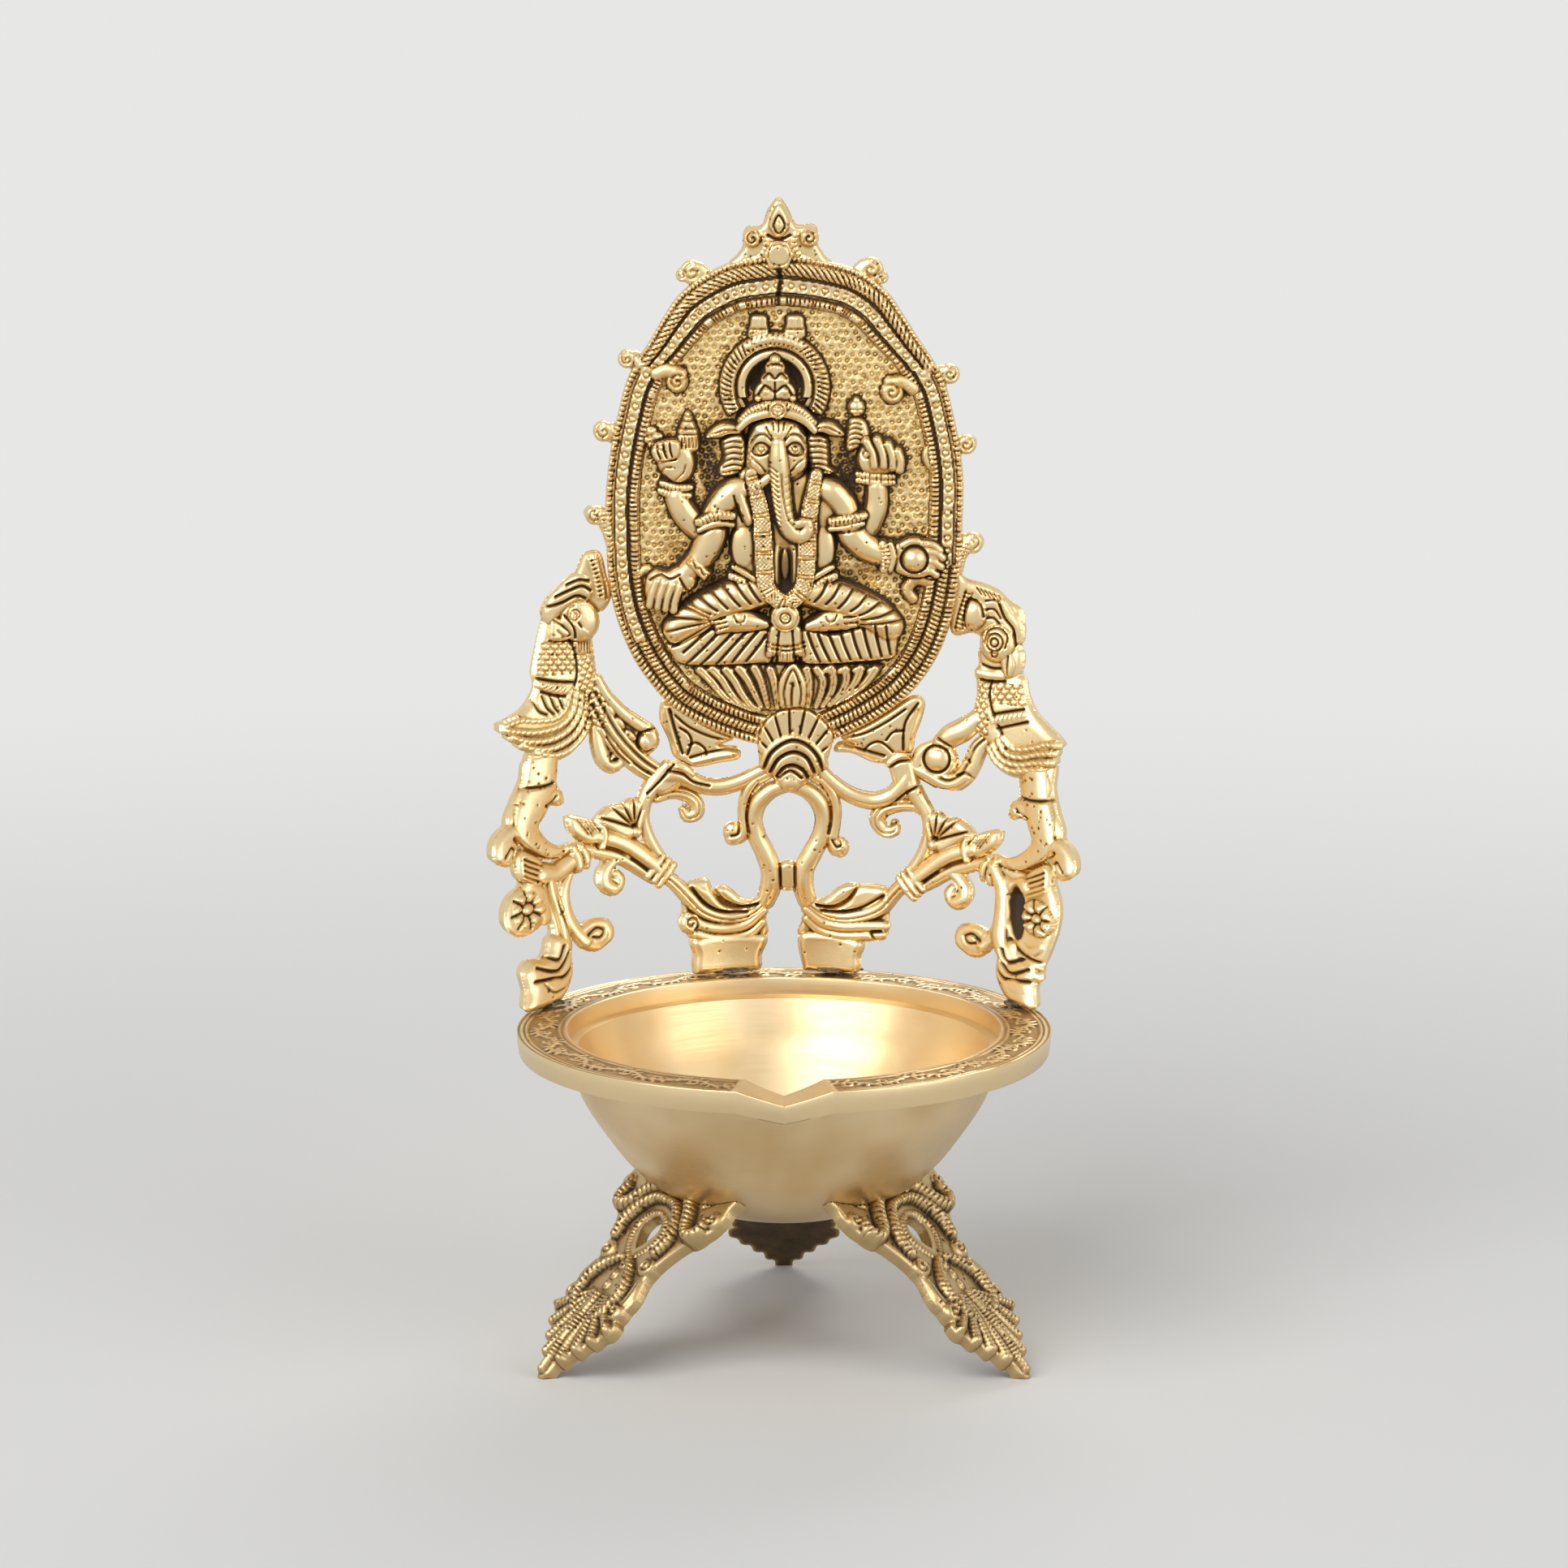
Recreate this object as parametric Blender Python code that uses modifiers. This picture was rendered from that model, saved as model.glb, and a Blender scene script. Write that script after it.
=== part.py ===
"""Brass puja lamp: a wide rimmed bowl on three cast legs, with a pinched wick spout at the front
and a cast openwork back plate that stands on the rim, holding an oval medallion of a seated
Ganesha between two birds and scrolling stems.

The openwork is drawn flat, in a plane with X across, Z up and -Y towards the viewer, and is then
curved forward so that its outer feet follow the round rim.
"""
import math

import bmesh
import bpy
import numpy as np
from mathutils import Matrix, Vector

# Driving dimensions, in metres
GAP = 0.0003                # seam between two castings that are brazed together

RIM_RADIUS = 0.076
RIM_WIDTH = 0.0144          # the flat top of the rim, from its outer edge to the opening
RIM_BAND = 0.0065           # height of the rim's outer edge
RIM_TAPER = 0.0005          # how far the edge draws in towards its foot
RIM_TOP = 0.092             # height of the rim above the floor
BOWL_DEPTH = 0.0535         # from the rim's top to the outside of the bottom
WALL = 0.004
BOWL_NECK = 0.0135          # how far inside the rim's edge the bowl's wall starts
SPOUT_HALF_ANGLE = math.radians(10)
SPOUT_DIP = 0.0025          # how far the spout's floor lies below the rim's top
SPOUT_FALL = 0.022          # how far down the bowl's wall the spout can be felt
SPOUT_NOTCH = 0.0075        # how far the spout draws the opening's edge outwards

FOOT_RADIUS = 0.0815        # circle that the legs' feet stand on, and the spout's tip
LEG_TOP_RADIUS = 0.036
LEG_TOP_HEIGHT = 0.048
LEG_THICKNESS = 0.0045
LEG_HALF_WIDTH = 0.0265     # at the shoulders
LEG_HOLE = 0.0042           # half-width of the hole in each leg

PLATE_HEIGHT = 0.2295       # from the rim's top to the crest
PLATE_THICKNESS = 0.0052
PLATE_SETBACK = 0.005       # from the rim's outer edge in to the plate's middle plane
FOOTING_INSET = 0.004       # from the rim's outer edge in to the outer feet
MEDALLION_HALF_WIDTH = 0.053
RELIEF = 0.0048             # how far the borders and the figure stand in front of the plate
PAD_HEIGHT = 0.0014         # the solder between the plate's feet and the rim

SPOUT_REACH = FOOT_RADIUS - RIM_RADIUS
BOWL_STEPS = 72

# The openwork's drawing: its grid is 1 mm for a rim of 76 mm radius and a plate 229.5 mm tall
GRID_RIM = 76.0
GRID_PLATE = 229.5
GRID_OVAL = 53.0            # half-width of the medallion as drawn
ACROSS = RIM_RADIUS / GRID_RIM
UP = PLATE_HEIGHT / GRID_PLATE
IN_OVAL = MEDALLION_HALF_WIDTH / GRID_OVAL
FRONT = PLATE_THICKNESS / 2
FOOT_BASE = PAD_HEIGHT + 2 * GAP

# The medallion: a superellipse, wider at its shoulders than an oval
OVAL_POWER = 2.25
OVAL_CENTRE = 135.0
OVAL_TOP = 212.5
OVAL_FOOT = 67.5
RING_STEPS = 37

# Outer feet of the openwork, in the grid
OUTER_FOOT = 67.0
INNER_FOOT = 16.0
FLAT_WIDTH = 50.0           # half of the flat middle, where the medallion is
FLAT_FROM = 108.0           # the flat middle has its full width above this height
STRIPS = 3                  # cuts past the flat middle, where the wings bend
STRIP_WIDTH = 0.012
THICK_STEM = 3.5            # stems of a larger radius have eight sides, thinner ones six
LARGE_BOSS = 6.0            # bosses of a larger radius have finer facets

BRASS = (0.62, 0.42, 0.16, 1.0)
POLISHED = (0.83, 0.66, 0.36, 1.0)
BRONZE = (0.33, 0.2, 0.08, 1.0)
SOLDER = (0.45, 0.43, 0.38, 1.0)

# Bowl wall as shares of its outer radius and of its depth below the rim, from the top down
BOWL_WALL = [(1.0, 0.0), (0.962, 0.13), (0.912, 0.29), (0.82, 0.48), (0.712, 0.667),
             (0.56, 0.84), (0.384, 0.95), (0.2, 0.99), (0.0, 1.0)]


def clear_scene():
    for old in list(bpy.data.objects):
        bpy.data.objects.remove(old, do_unlink=True)


def new_collection(name):
    group = bpy.data.collections.new(name)
    bpy.context.scene.collection.children.link(group)
    return group


clear_scene()
LAMP = new_collection("puja_lamp")
CUTTERS = new_collection("cutters")


def add_material(thing, color, roughness):
    material = bpy.data.materials.new(thing.name)
    material.use_nodes = True
    shader = material.node_tree.nodes["Principled BSDF"]
    shader.inputs["Base Color"].default_value = color
    shader.inputs["Metallic"].default_value = 1.0
    shader.inputs["Roughness"].default_value = roughness
    thing.data.materials.clear()
    thing.data.materials.append(material)


def add_mesh_object(mesh, name, group=CUTTERS):
    thing = bpy.data.objects.new(name, mesh)
    group.objects.link(thing)
    return thing


def remove(thing):
    bpy.data.objects.remove(thing, do_unlink=True)


def settle(thing):
    """Replace an object's data by what its modifiers make of it, with its place in the mesh."""
    evaluated = thing.evaluated_get(bpy.context.evaluated_depsgraph_get())
    mesh = bpy.data.meshes.new_from_object(evaluated)
    shape = bmesh.new()
    shape.from_mesh(mesh)
    bmesh.ops.remove_doubles(shape, verts=shape.verts, dist=0.00001)
    bmesh.ops.transform(shape, matrix=thing.matrix_world, verts=shape.verts)
    bmesh.ops.recalc_face_normals(shape, faces=shape.faces)
    shape.to_mesh(mesh)
    shape.free()
    settled = add_mesh_object(mesh, thing.name)
    remove(thing)
    return settled


def new_curve(name, dimensions):
    curve = bpy.data.curves.new(name, "CURVE")
    curve.dimensions = dimensions
    thing = bpy.data.objects.new(name, curve)
    CUTTERS.objects.link(thing)
    return thing


def on_grid(x, up):
    return Vector((x * ACROSS, 0, RIM_TOP + up * UP))


def on_oval(x, up):
    """The same for what lies on the medallion, whose width is its own."""
    return Vector((x * IN_OVAL, 0, RIM_TOP + up * UP))


def on_leg(x, up):
    return Vector((x * LEG_HALF_WIDTH / LEG_GRID_WIDTH, 0, up * LEG_LENGTH / LEG_GRID_LENGTH))


def stout(place):
    """The size of one unit of radius, which keeps stems joined where one side grows."""
    return max(IN_OVAL if place is on_oval else ACROSS, UP)


def tube(line, depth=0.0, flat=1.0, grow=0.0, place=on_grid):
    """A stem that follows (across, up, radius) points; depth moves it towards the viewer."""
    thing = new_curve("stem", "3D")
    thing.data.bevel_depth = 1
    thing.data.bevel_resolution = 2 if max(point[2] for point in line) > THICK_STEM else 1
    thing.data.use_fill_caps = True
    spline = thing.data.splines.new("POLY")
    spline.points.add(len(line) - 1)
    spots = [place(x, up) for x, up, radius in line]
    spots[0] += (spots[0] - spots[1]).normalized() * grow
    spots[-1] += (spots[-1] - spots[-2]).normalized() * grow
    for point, spot, (x, up, radius) in zip(spline.points, spots, line):
        point.co = (*spot, 1)
        point.radius = radius * stout(place) + grow / flat
    thing.scale.y = flat
    thing.location.y = -depth * stout(place)
    bpy.context.view_layer.update()
    return settle(thing)


def slab(outline, back, front, grow=0.0, place=on_grid, hole=None):
    """A flat piece with the outline of (across, up) points, from depth back to depth front."""
    thing = new_curve("slab", "2D")
    thing.data.fill_mode = "BOTH"
    thing.data.extrude = (front - back) / 2 + grow
    thing.data.offset = grow
    for line in [outline] + ([hole] if hole else []):
        spline = thing.data.splines.new("POLY")
        spline.use_cyclic_u = True
        spline.points.add(len(line) - 1)
        for point, (x, up) in zip(spline.points, line):
            spot = place(x, up)
            point.co = (spot.x, spot.z, 0, 1)
    thing.rotation_euler.x = math.radians(90)
    thing.location.y = -(front + back) / 2
    bpy.context.view_layer.update()
    return settle(thing)


def ball(x, up, radii, depth=0.0, grow=0.0, place=on_grid):
    """An egg-shaped boss with radii across, towards the viewer and up."""
    shape = bmesh.new()
    rows = 6 if max(radii) > LARGE_BOSS else 5
    bmesh.ops.create_uvsphere(shape, u_segments=2 * rows, v_segments=rows, radius=1)
    size = [radius * stout(place) + grow for radius in radii]
    bmesh.ops.transform(shape, matrix=Matrix.Diagonal((*size, 1)), verts=shape.verts)
    middle = place(x, up) - Vector((0, depth * stout(place), 0))
    bmesh.ops.translate(shape, vec=middle, verts=shape.verts)
    mesh = bpy.data.meshes.new("boss")
    shape.to_mesh(mesh)
    shape.free()
    return add_mesh_object(mesh, "boss")


def block(low, high, name="block"):
    shape = bmesh.new()
    bmesh.ops.create_cube(shape, size=1)
    low = Vector(low)
    high = Vector(high)
    bmesh.ops.transform(shape, matrix=Matrix.Diagonal((*(high - low), 1)), verts=shape.verts)
    bmesh.ops.translate(shape, vec=(low + high) / 2, verts=shape.verts)
    mesh = bpy.data.meshes.new(name)
    shape.to_mesh(mesh)
    shape.free()
    return add_mesh_object(mesh, name)


def combine(base, others, operation):
    """Boolean of a mesh with several others, which it uses up."""
    if not others:
        return base
    group = new_collection("operands")
    for other in others:
        CUTTERS.objects.unlink(other)
        group.objects.link(other)
    modifier = base.modifiers.new(operation.title(), "BOOLEAN")
    modifier.operation = operation
    modifier.operand_type = "COLLECTION"
    modifier.collection = group
    modifier.solver = "EXACT"
    bpy.context.view_layer.update()
    result = settle(base)
    for other in others:
        remove(other)
    bpy.data.collections.remove(group)
    return result


def make_shapes(shapes, grow=0.0, place=on_grid):
    """Make a list of drawn shapes, each a kind and its values."""
    made = []
    for kind, *values in shapes:
        if kind == "stem":
            made.append(tube(*values, grow=grow, place=place))
        elif kind == "boss":
            made.append(ball(*values, grow=grow, place=place))
        else:
            made.append(slab(*values, grow=grow, place=place))
    return made


def fuse(shapes, grow=0.0, place=on_grid):
    made = make_shapes(shapes, grow, place)
    return combine(made[0], made[1:], "UNION")


def mirrored(shapes):
    """The same shapes on the other side of the middle."""
    other = []
    for kind, points, *values in shapes:
        if kind == "boss":
            other.append((kind, -points, *values))
        else:
            flipped = [(-point[0], *point[1:]) for point in points]
            other.append((kind, flipped, *values))
    return other


def superellipse(width, top, foot, steps, first=0.0, last=360.0):
    """Points of an oval ring in the grid, anticlockwise from the right."""
    points = []
    for turn in np.linspace(math.radians(first), math.radians(last), steps):
        across = math.copysign(abs(math.cos(turn)) ** (2 / OVAL_POWER), math.cos(turn))
        rise = math.copysign(abs(math.sin(turn)) ** (2 / OVAL_POWER), math.sin(turn))
        reach = top - OVAL_CENTRE if rise > 0 else OVAL_CENTRE - foot
        points.append((width * across, OVAL_CENTRE + reach * rise))
    return points


def oval_outline():
    return superellipse(GRID_OVAL, OVAL_TOP, OVAL_FOOT, RING_STEPS)[:-1]


def medallion_wall(grow):
    """The medallion's outline, deep enough to trim what meets its edge."""
    deep = 4 * PLATE_THICKNESS
    return slab(oval_outline(), -deep, deep, grow=grow, place=on_oval)


def behind_the_relief():
    """All that lies behind the front face of the plate, and the seam in front of it."""
    wide = 2 * RIM_RADIUS
    return block((-wide, -FRONT - GAP, 0), (wide, wide, RIM_TOP + 2 * PLATE_HEIGHT))


# The bending of the openwork round the rim
def flat_half_width(height):
    share = (height - RIM_TOP) / UP / FLAT_FROM
    return FLAT_WIDTH * ACROSS * min(max(share, 0), 1)


PLATE_PLANE = RIM_RADIUS - PLATE_SETBACK
FOOTING_RADIUS = RIM_RADIUS - FOOTING_INSET
OUTER_FOOT_ACROSS = OUTER_FOOT * ACROSS
OUTER_FOOT_BACK = math.sqrt(FOOTING_RADIUS ** 2 - OUTER_FOOT_ACROSS ** 2)
BEND = (PLATE_PLANE - OUTER_FOOT_BACK) / OUTER_FOOT_ACROSS ** 2


def curve_forward(spot):
    """Carry a point of the flat drawing to its place on the curved plate."""
    beyond = max(abs(spot.x) - flat_half_width(spot.z), 0)
    slope = 2 * BEND * beyond
    depth = -spot.y
    stretch = math.sqrt(1 + slope * slope)
    inward = -math.copysign(1, spot.x)
    return Vector((spot.x + inward * depth * slope / stretch,
                   PLATE_PLANE - BEND * beyond * beyond - depth / stretch,
                   spot.z))


def bend_mesh(mesh):
    """Cut the faces that reach past the flat middle into upright strips, and curve them."""
    shape = bmesh.new()
    shape.from_mesh(mesh)
    for number in range(STRIPS):
        place = FLAT_WIDTH * ACROSS + (number + 0.5) * STRIP_WIDTH
        for side in (-place, place):
            parts = shape.verts[:] + shape.edges[:] + shape.faces[:]
            bmesh.ops.bisect_plane(shape, geom=parts, dist=0.0000001,
                                   plane_co=(side, 0, 0), plane_no=(1, 0, 0))
    bmesh.ops.triangulate(shape, faces=shape.faces)
    for vert in shape.verts:
        vert.co = curve_forward(vert.co)
    shape.to_mesh(mesh)
    shape.free()


def finish_node(thing, name, color, roughness, group=LAMP):
    CUTTERS.objects.unlink(thing)
    group.objects.link(thing)
    thing.name = name
    thing.data.name = name
    add_material(thing, color, roughness)
    thing.data.shade_smooth()
    thing.data.set_sharp_from_angle(angle=math.radians(35))
    return thing


# The drawing of the openwork: (across, up, radius) of each stem, left half, in the grid
BIRD = [
    ("stem", [(-49, 118, 4.7), (-56, 118.5, 5.2), (-61.5, 115.5, 4.7), (-65, 110, 4.2),
              (-66, 103, 4.6)], 0, 0.7),
    ("boss", -58.8, 106, (4.6, 3.2, 4.6), 0.6),
    ("stem", [(-65, 107, 4.5), (-62.5, 103, 6), (-63, 97, 7.8), (-63, 90, 8.8), (-64, 84, 7.8),
              (-66, 79, 7)], 0, 0.45),
    ("slab", [(-72, 84), (-76, 80.5), (-80.5, 79), (-84.5, 77), (-82, 73.5), (-77, 70),
              (-73.5, 67), (-65.5, 65), (-60.5, 68), (-56, 72.5), (-55, 78), (-58.5, 83)],
     -0.0022, 0.0022),
    ("stem", [(-58, 85, 4), (-52, 77, 4), (-45.5, 70, 4), (-39.5, 63.5, 3.5), (-35, 59, 3)],
     0, 0.7),
    ("stem", [(-54.5, 86, 2), (-48, 79.5, 2.2), (-42, 74, 2.2), (-39.5, 69.5, 2.8)], 0.6),
    ("stem", [(-57, 76, 2.4), (-54.5, 70.5, 2.4), (-52.5, 66.5, 3)], 0),
]
FAN_LEAF = [
    ("slab", [(-35.5, 79.5), (-37, 76), (-35, 69.5), (-33, 63), (-27.5, 59.5), (-16, 58.5),
              (-8, 62), (-9.5, 69.5), (-16, 75), (-28, 79)], -0.002, 0.002),
]
BRANCH = [
    ("stem", [(-40, 46, 2.2), (-40, 50.5, 2.5), (-37, 55, 2.7), (-32, 58.5, 3), (-26.5, 56.5, 3.1),
              (-20.5, 54.5, 3), (-14.5, 55.5, 3), (-9.5, 58, 2.6)]),
    ("stem", [(-40, 46.2, 2.2), (-38, 40, 2.2), (-35, 33, 2.4), (-33.5, 29.5, 2.4)]),
    ("stem", [(-36.5, 54.5, 2), (-31.5, 52, 2), (-27.5, 51, 2.2), (-25.5, 48, 2), (-27.5, 45, 2)],
     0.4),
    ("stem", [(-63, 47, 2.6), (-55, 43, 3.1), (-48, 41.5, 3.1), (-41, 37, 3.1), (-35, 31.5, 3.3),
              (-29.5, 24.5, 3.1), (-24, 18, 3.1), (-18, 10, 3.4)]),
    ("stem", [(-52.5, 39.5, 2), (-45, 35, 2), (-38, 29.5, 2), (-32, 26, 2)], -0.3),
    ("stem", [(-44, 34.8, 2), (-47.5, 31.5, 2), (-47.5, 28, 2.8)]),
    ("slab", [(-54.5, 43.5), (-52.5, 49.5), (-48, 51.8), (-42.5, 52), (-39.5, 48.5), (-39.5, 41.5),
              (-44.5, 40)], -0.0018, 0.0022),
    ("stem", [(-7, 23, 2.8), (-10.5, 19.5, 2.8), (-15.5, 20.5, 2.6), (-18.5, 24.5, 2)], 0.3),
    ("stem", [(-7.5, 18, 2.8), (-14, 16, 2.8), (-20.5, 19.5, 3.1), (-24.5, 25.5, 2.4)], -0.3),
    ("stem", [(-7.5, 14, 3.1), (-14.5, 12.5, 3.1), (-22, 14.5, 3.1), (-26.5, 19, 2.8)], 0.2),
    ("slab", [(-25, 12.5), (-25.5, 6), (-25.5, FOOT_BASE / UP), (-6.5, FOOT_BASE / UP),
              (-6, 6), (-6.5, 12.5)], -0.0026, 0.0026),
]
OUTER_SCROLL = [
    ("stem", [(-68, 63, 3.4), (-69.5, 59.5, 3.5), (-73.5, 55.5, 4.2), (-75.5, 51, 4.2),
              (-74, 46, 3.5), (-70, 41.5, 2.6), (-65, 40, 2.2), (-63, 43.2, 2.2)]),
    ("boss", -68.5, 56.2, (3.6, 2.4, 2.6), 0),
    ("boss", -81, 43.5, (5, 3, 5), 0),
    ("stem", [(-77, 44.5, 3.2), (-75.5, 41, 2.8), (-72.5, 38, 3.1), (-67, 34.5, 3.3),
              (-61, 35.5, 2.8), (-57.5, 37.2, 2.4)]),
    ("boss", -74, 26, (5.9, 3.2, 5.9), 0.4),
    ("stem", [(-70.5, 35.5, 3.4), (-73, 30, 3.6)]),
    ("stem", [(-60.5, 34.5, 1.9), (-62, 27.5, 2), (-62, 22.5, 2), (-59.5, 17.5, 2)]),
    ("stem", [(-67, 33, 2.8), (-65.5, 26, 3.1), (-64, 19, 3.1), (-64.5, 13, 3.4), (-66.5, 7, 4.8)]),
    ("boss", -55.5, 15.8, (5.8, 2.8, 4.2), 0),
    ("slab", [(-72.5, 8), (-72, FOOT_BASE / UP), (-62, FOOT_BASE / UP), (-61.5, 8), (-63.5, 12),
              (-70, 12)], -0.0026, 0.0026),
]
NECK_HALF = [
    ("stem", [(0, 56, 2.2), (-5.5, 54, 2.4), (-8.5, 51, 2.4), (-9.5, 46, 2.4), (-8.5, 40, 2.4),
              (-5, 34, 2.6), (-3.2, 29, 3.1), (-3.2, 22.5, 3.1)]),
    ("boss", -15, 41, (2.6, 2.2, 2.6), 0),
    ("stem", [(-8, 52.4, 1.8), (-11.5, 50, 1.8), (-13, 46, 1.8), (-14, 42.5, 1.9)], 0.2),
]
COLLARS = [
    ("stem", [(-5.6, 31.5, 2.2), (5.6, 31.5, 2.2)], 1.0),
    ("stem", [(-5.2, 24.5, 2.2), (5.2, 24.5, 2.2)], 1.0),
]
SHELL = [
    ("slab", [(-9.5, 73), (-10.5, 69), (-8, 63.5), (-3, 59.5), (3, 59.5), (8, 63.5), (10.5, 69),
              (9.5, 73)], -0.002, 0.0026),
    ("boss", 0, 62, (6.5, 3.4, 5), 1.2),
]
CREST = [
    ("slab", [(-1.5, 229.5), (-5, 226), (-7, 221.5), (-10.5, 220), (-11.8, 218), (-12, 208),
              (12, 208), (11.8, 218), (10.5, 220), (7, 221.5), (5, 226), (1.5, 229.5)],
     -0.0026, 0.0026),
    ("boss", 0, 220.5, (4, 2.4, 5.5), 2.0),
]
EDGE_CURLS = [
    ("boss", -25.5, 206.5, (4.4, 3, 3.4), 0),
    ("boss", -45.5, 181.5, (3, 2.4, 3), 0),
    ("boss", -52, 160.5, (3.2, 2.4, 3), 0),
    ("boss", -54, 134, (3.8, 2.4, 3.4), 0),
]
SEAT_TOP = 93.3
LOTUS_SEAT = [
    ("slab", [(-25, SEAT_TOP), (-22, 88.5), (-16, 83.8), (-8, 80.8), (0.5, 79.6), (9, 80.8),
              (18, 84), (24.5, 88.5), (29, SEAT_TOP)], FRONT, FRONT + 0.6 * RELIEF),
    ("boss", -15.5, 88.8, (5.5, 2.5, 3.8), 5),
    ("boss", -6, 86.5, (6.5, 2.5, 5), 5.4),
    ("boss", 7, 86.5, (6.5, 2.5, 5), 5.4),
    ("boss", 17, 88.8, (5.5, 2.5, 3.8), 5),
]
SEAT_SPACE = [
    ("slab", [(-45, 75), (-45, SEAT_TOP), (45, SEAT_TOP), (45, 75)], 0, 4 * RELIEF),
]
HALO_WIDTH = 15.2
HALO_HEIGHT = 15.0


def halo_shapes():
    """A horseshoe round the crown, tied to the border by two blocks."""
    arch = []
    for turn in np.linspace(math.radians(-25), math.radians(205), 14):
        arch.append((-2.7 + HALO_WIDTH * math.cos(turn), 175 + HALO_HEIGHT * math.sin(turn), 2.3))
    block_top = 193.9
    return [
        ("stem", arch, FRONT / stout(on_oval) + 1),
        ("slab", [(-8.4, 188), (-8.4, block_top), (-3.8, block_top), (-3.8, 188)],
         FRONT, FRONT + 0.6 * RELIEF),
        ("slab", [(0.4, 188), (0.4, block_top), (6.2, block_top), (6.2, 188)],
         FRONT, FRONT + 0.6 * RELIEF),
    ]


# The figure: depths are in the grid, in front of the plate's middle plane
FIGURE = [
    ("boss", -1.5, 124, (12.4, 8, 13), 3),
    ("boss", -1, 138, (13, 6, 10), 3),
    ("boss", -1.5, 157.5, (8.6, 7.2, 9.2), 3.5),
    ("boss", -2, 173, (5.6, 5, 7), 3.4),
    ("boss", -3, 182.5, (2.8, 3, 3.6), 3.4),
    ("stem", [(-12, 163.5, 1.8), (-9, 166, 1.9), (-4, 167.5, 2), (1.5, 167.2, 2), (5.5, 165.5, 1.9),
              (8.5, 163, 1.8)], 6.5),
    ("stem", [(-1.5, 160, 3.6), (-0.5, 154.5, 3.3), (0, 148.5, 3), (0, 142.5, 3), (0.5, 136, 2.9),
              (2, 131.5, 2.6), (5.5, 131, 2.1), (6, 134.5, 1.6)], 10),
    ("boss", -8, 151, (3.4, 4, 3.4), 5.6),
    ("boss", 5, 151.5, (3.4, 4, 3.4), 5.6),
    ("stem", [(-21.5, 160.5, 2.2), (-17.5, 162, 2.6), (-13, 162.5, 2.4)], 4.6),
    ("boss", -14, 155, (4.6, 2.6, 7.2), 4),
    ("stem", [(16.5, 161, 2.2), (12.5, 162, 2.6), (8, 162.5, 2.4)], 4.6),
    ("boss", 9.8, 155, (4.6, 2.6, 7.2), 4),
    ("stem", [(-11, 145.5, 4.2), (-16, 142, 4.6), (-18.5, 135.5, 4.2), (-19.5, 130, 3.8),
              (-22.5, 124, 3.4), (-28, 120.3, 3.1), (-34.5, 116.5, 3.2)], 5.6),
    ("stem", [(10, 145, 4.2), (15, 142, 4.6), (18.5, 136.5, 4.2), (21, 130, 3.8),
              (26, 126, 3.2), (33, 124, 3), (40, 123.6, 2.2)], 5.6),
    ("boss", 36.5, 125.6, (3.4, 2.6, 2.8), 6.6),
    ("stem", [(-20, 127.5, 2.8), (-25.5, 131.5, 3.1), (-28.5, 137, 3.3), (-30, 143, 3.2),
              (-31, 149.5, 4)], 4),
    ("stem", [(-27, 148, 2), (-27.5, 156, 2.3), (-28, 166.5, 1.9)], 4.6),
    ("boss", -35.8, 159.3, (2.3, 1.8, 2.3), 3.4),
    ("stem", [(-31, 150, 1.9), (-33.5, 154.5, 1.9), (-35.5, 159, 1.9)], 4),
    ("stem", [(22, 129, 2.8), (26, 134, 3.3), (27.5, 140, 3.3), (27.5, 146, 3.3), (28.5, 151, 4)],
     4),
    ("stem", [(23.5, 150.5, 2), (21, 158, 2.3), (21, 167.5, 2.5)], 4.6),
    ("stem", [(-5, 114, 5), (-14.5, 112.5, 5.9), (-23, 108.5, 5.9), (-28, 103.5, 5.4)], 4.4, 0.9),
    ("stem", [(5, 114, 5), (14, 112.5, 5.9), (22.5, 109.5, 5.9), (28.5, 105.5, 5.4)], 4.4, 0.9),
    ("stem", [(-28, 100.5, 4.2), (-18, 102.5, 4.2), (-8, 105.5, 3.4)], 6.4),
    ("stem", [(29, 102, 4.2), (18, 103.5, 4.2), (8, 106, 3.4)], 6.4),
    ("stem", [(-27, 98, 3.6), (-14, 97.4, 4.3), (0.5, 98.4, 4.7), (14, 97.4, 4.3), (28, 98, 3.6)],
     5),
    ("boss", 0.5, 107, (3.8, 4, 5), 6.6),
]

# The drawing of a leg, in millimetres of its own slope: right half of its outline from the foot
LEG_LENGTH = math.hypot(FOOT_RADIUS - LEG_TOP_RADIUS, LEG_TOP_HEIGHT)
LEG_GRID_LENGTH = 66.0
LEG_GRID_WIDTH = 26.5
LEG_OUTLINE = [(2.2, -4), (3, 0), (8, 5), (13, 10.5), (15.5, 16), (14, 23), (15.5, 30), (13.8, 37),
               (16, 45), (20, 52), (25, 58), (26.5, 64), (22, 76)]


def leg_hole():
    """A teardrop, pointed at its lower end."""
    half = LEG_HOLE / LEG_HALF_WIDTH * LEG_GRID_WIDTH
    round_part = []
    for turn in np.linspace(math.radians(-20), math.radians(200), 8):
        round_part.append((half * math.cos(turn), 51.5 + half * math.sin(turn)))
    return round_part + [(0, 44.5)]


def leg_shapes():
    half = LEG_THICKNESS / 2
    outline = LEG_OUTLINE + [(-x, up) for x, up in reversed(LEG_OUTLINE)]
    side = [
        ("stem", [(12.5, 14, 1.3), (9, 21, 1.4), (10.5, 30, 1.5), (8.5, 38, 1.5), (12.5, 47, 1.5),
                  (19.5, 55, 1.5)], 2.0),
        ("boss", 19.5, 59.5, (3.2, 1.2, 3.6), 2.2),
    ]
    ridges = side + mirrored(side) + [("stem", [(0, 8, 1.3), (0, 25, 1.6), (0, 40, 1.6)], 2.0)]
    return outline, half, ridges


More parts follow.
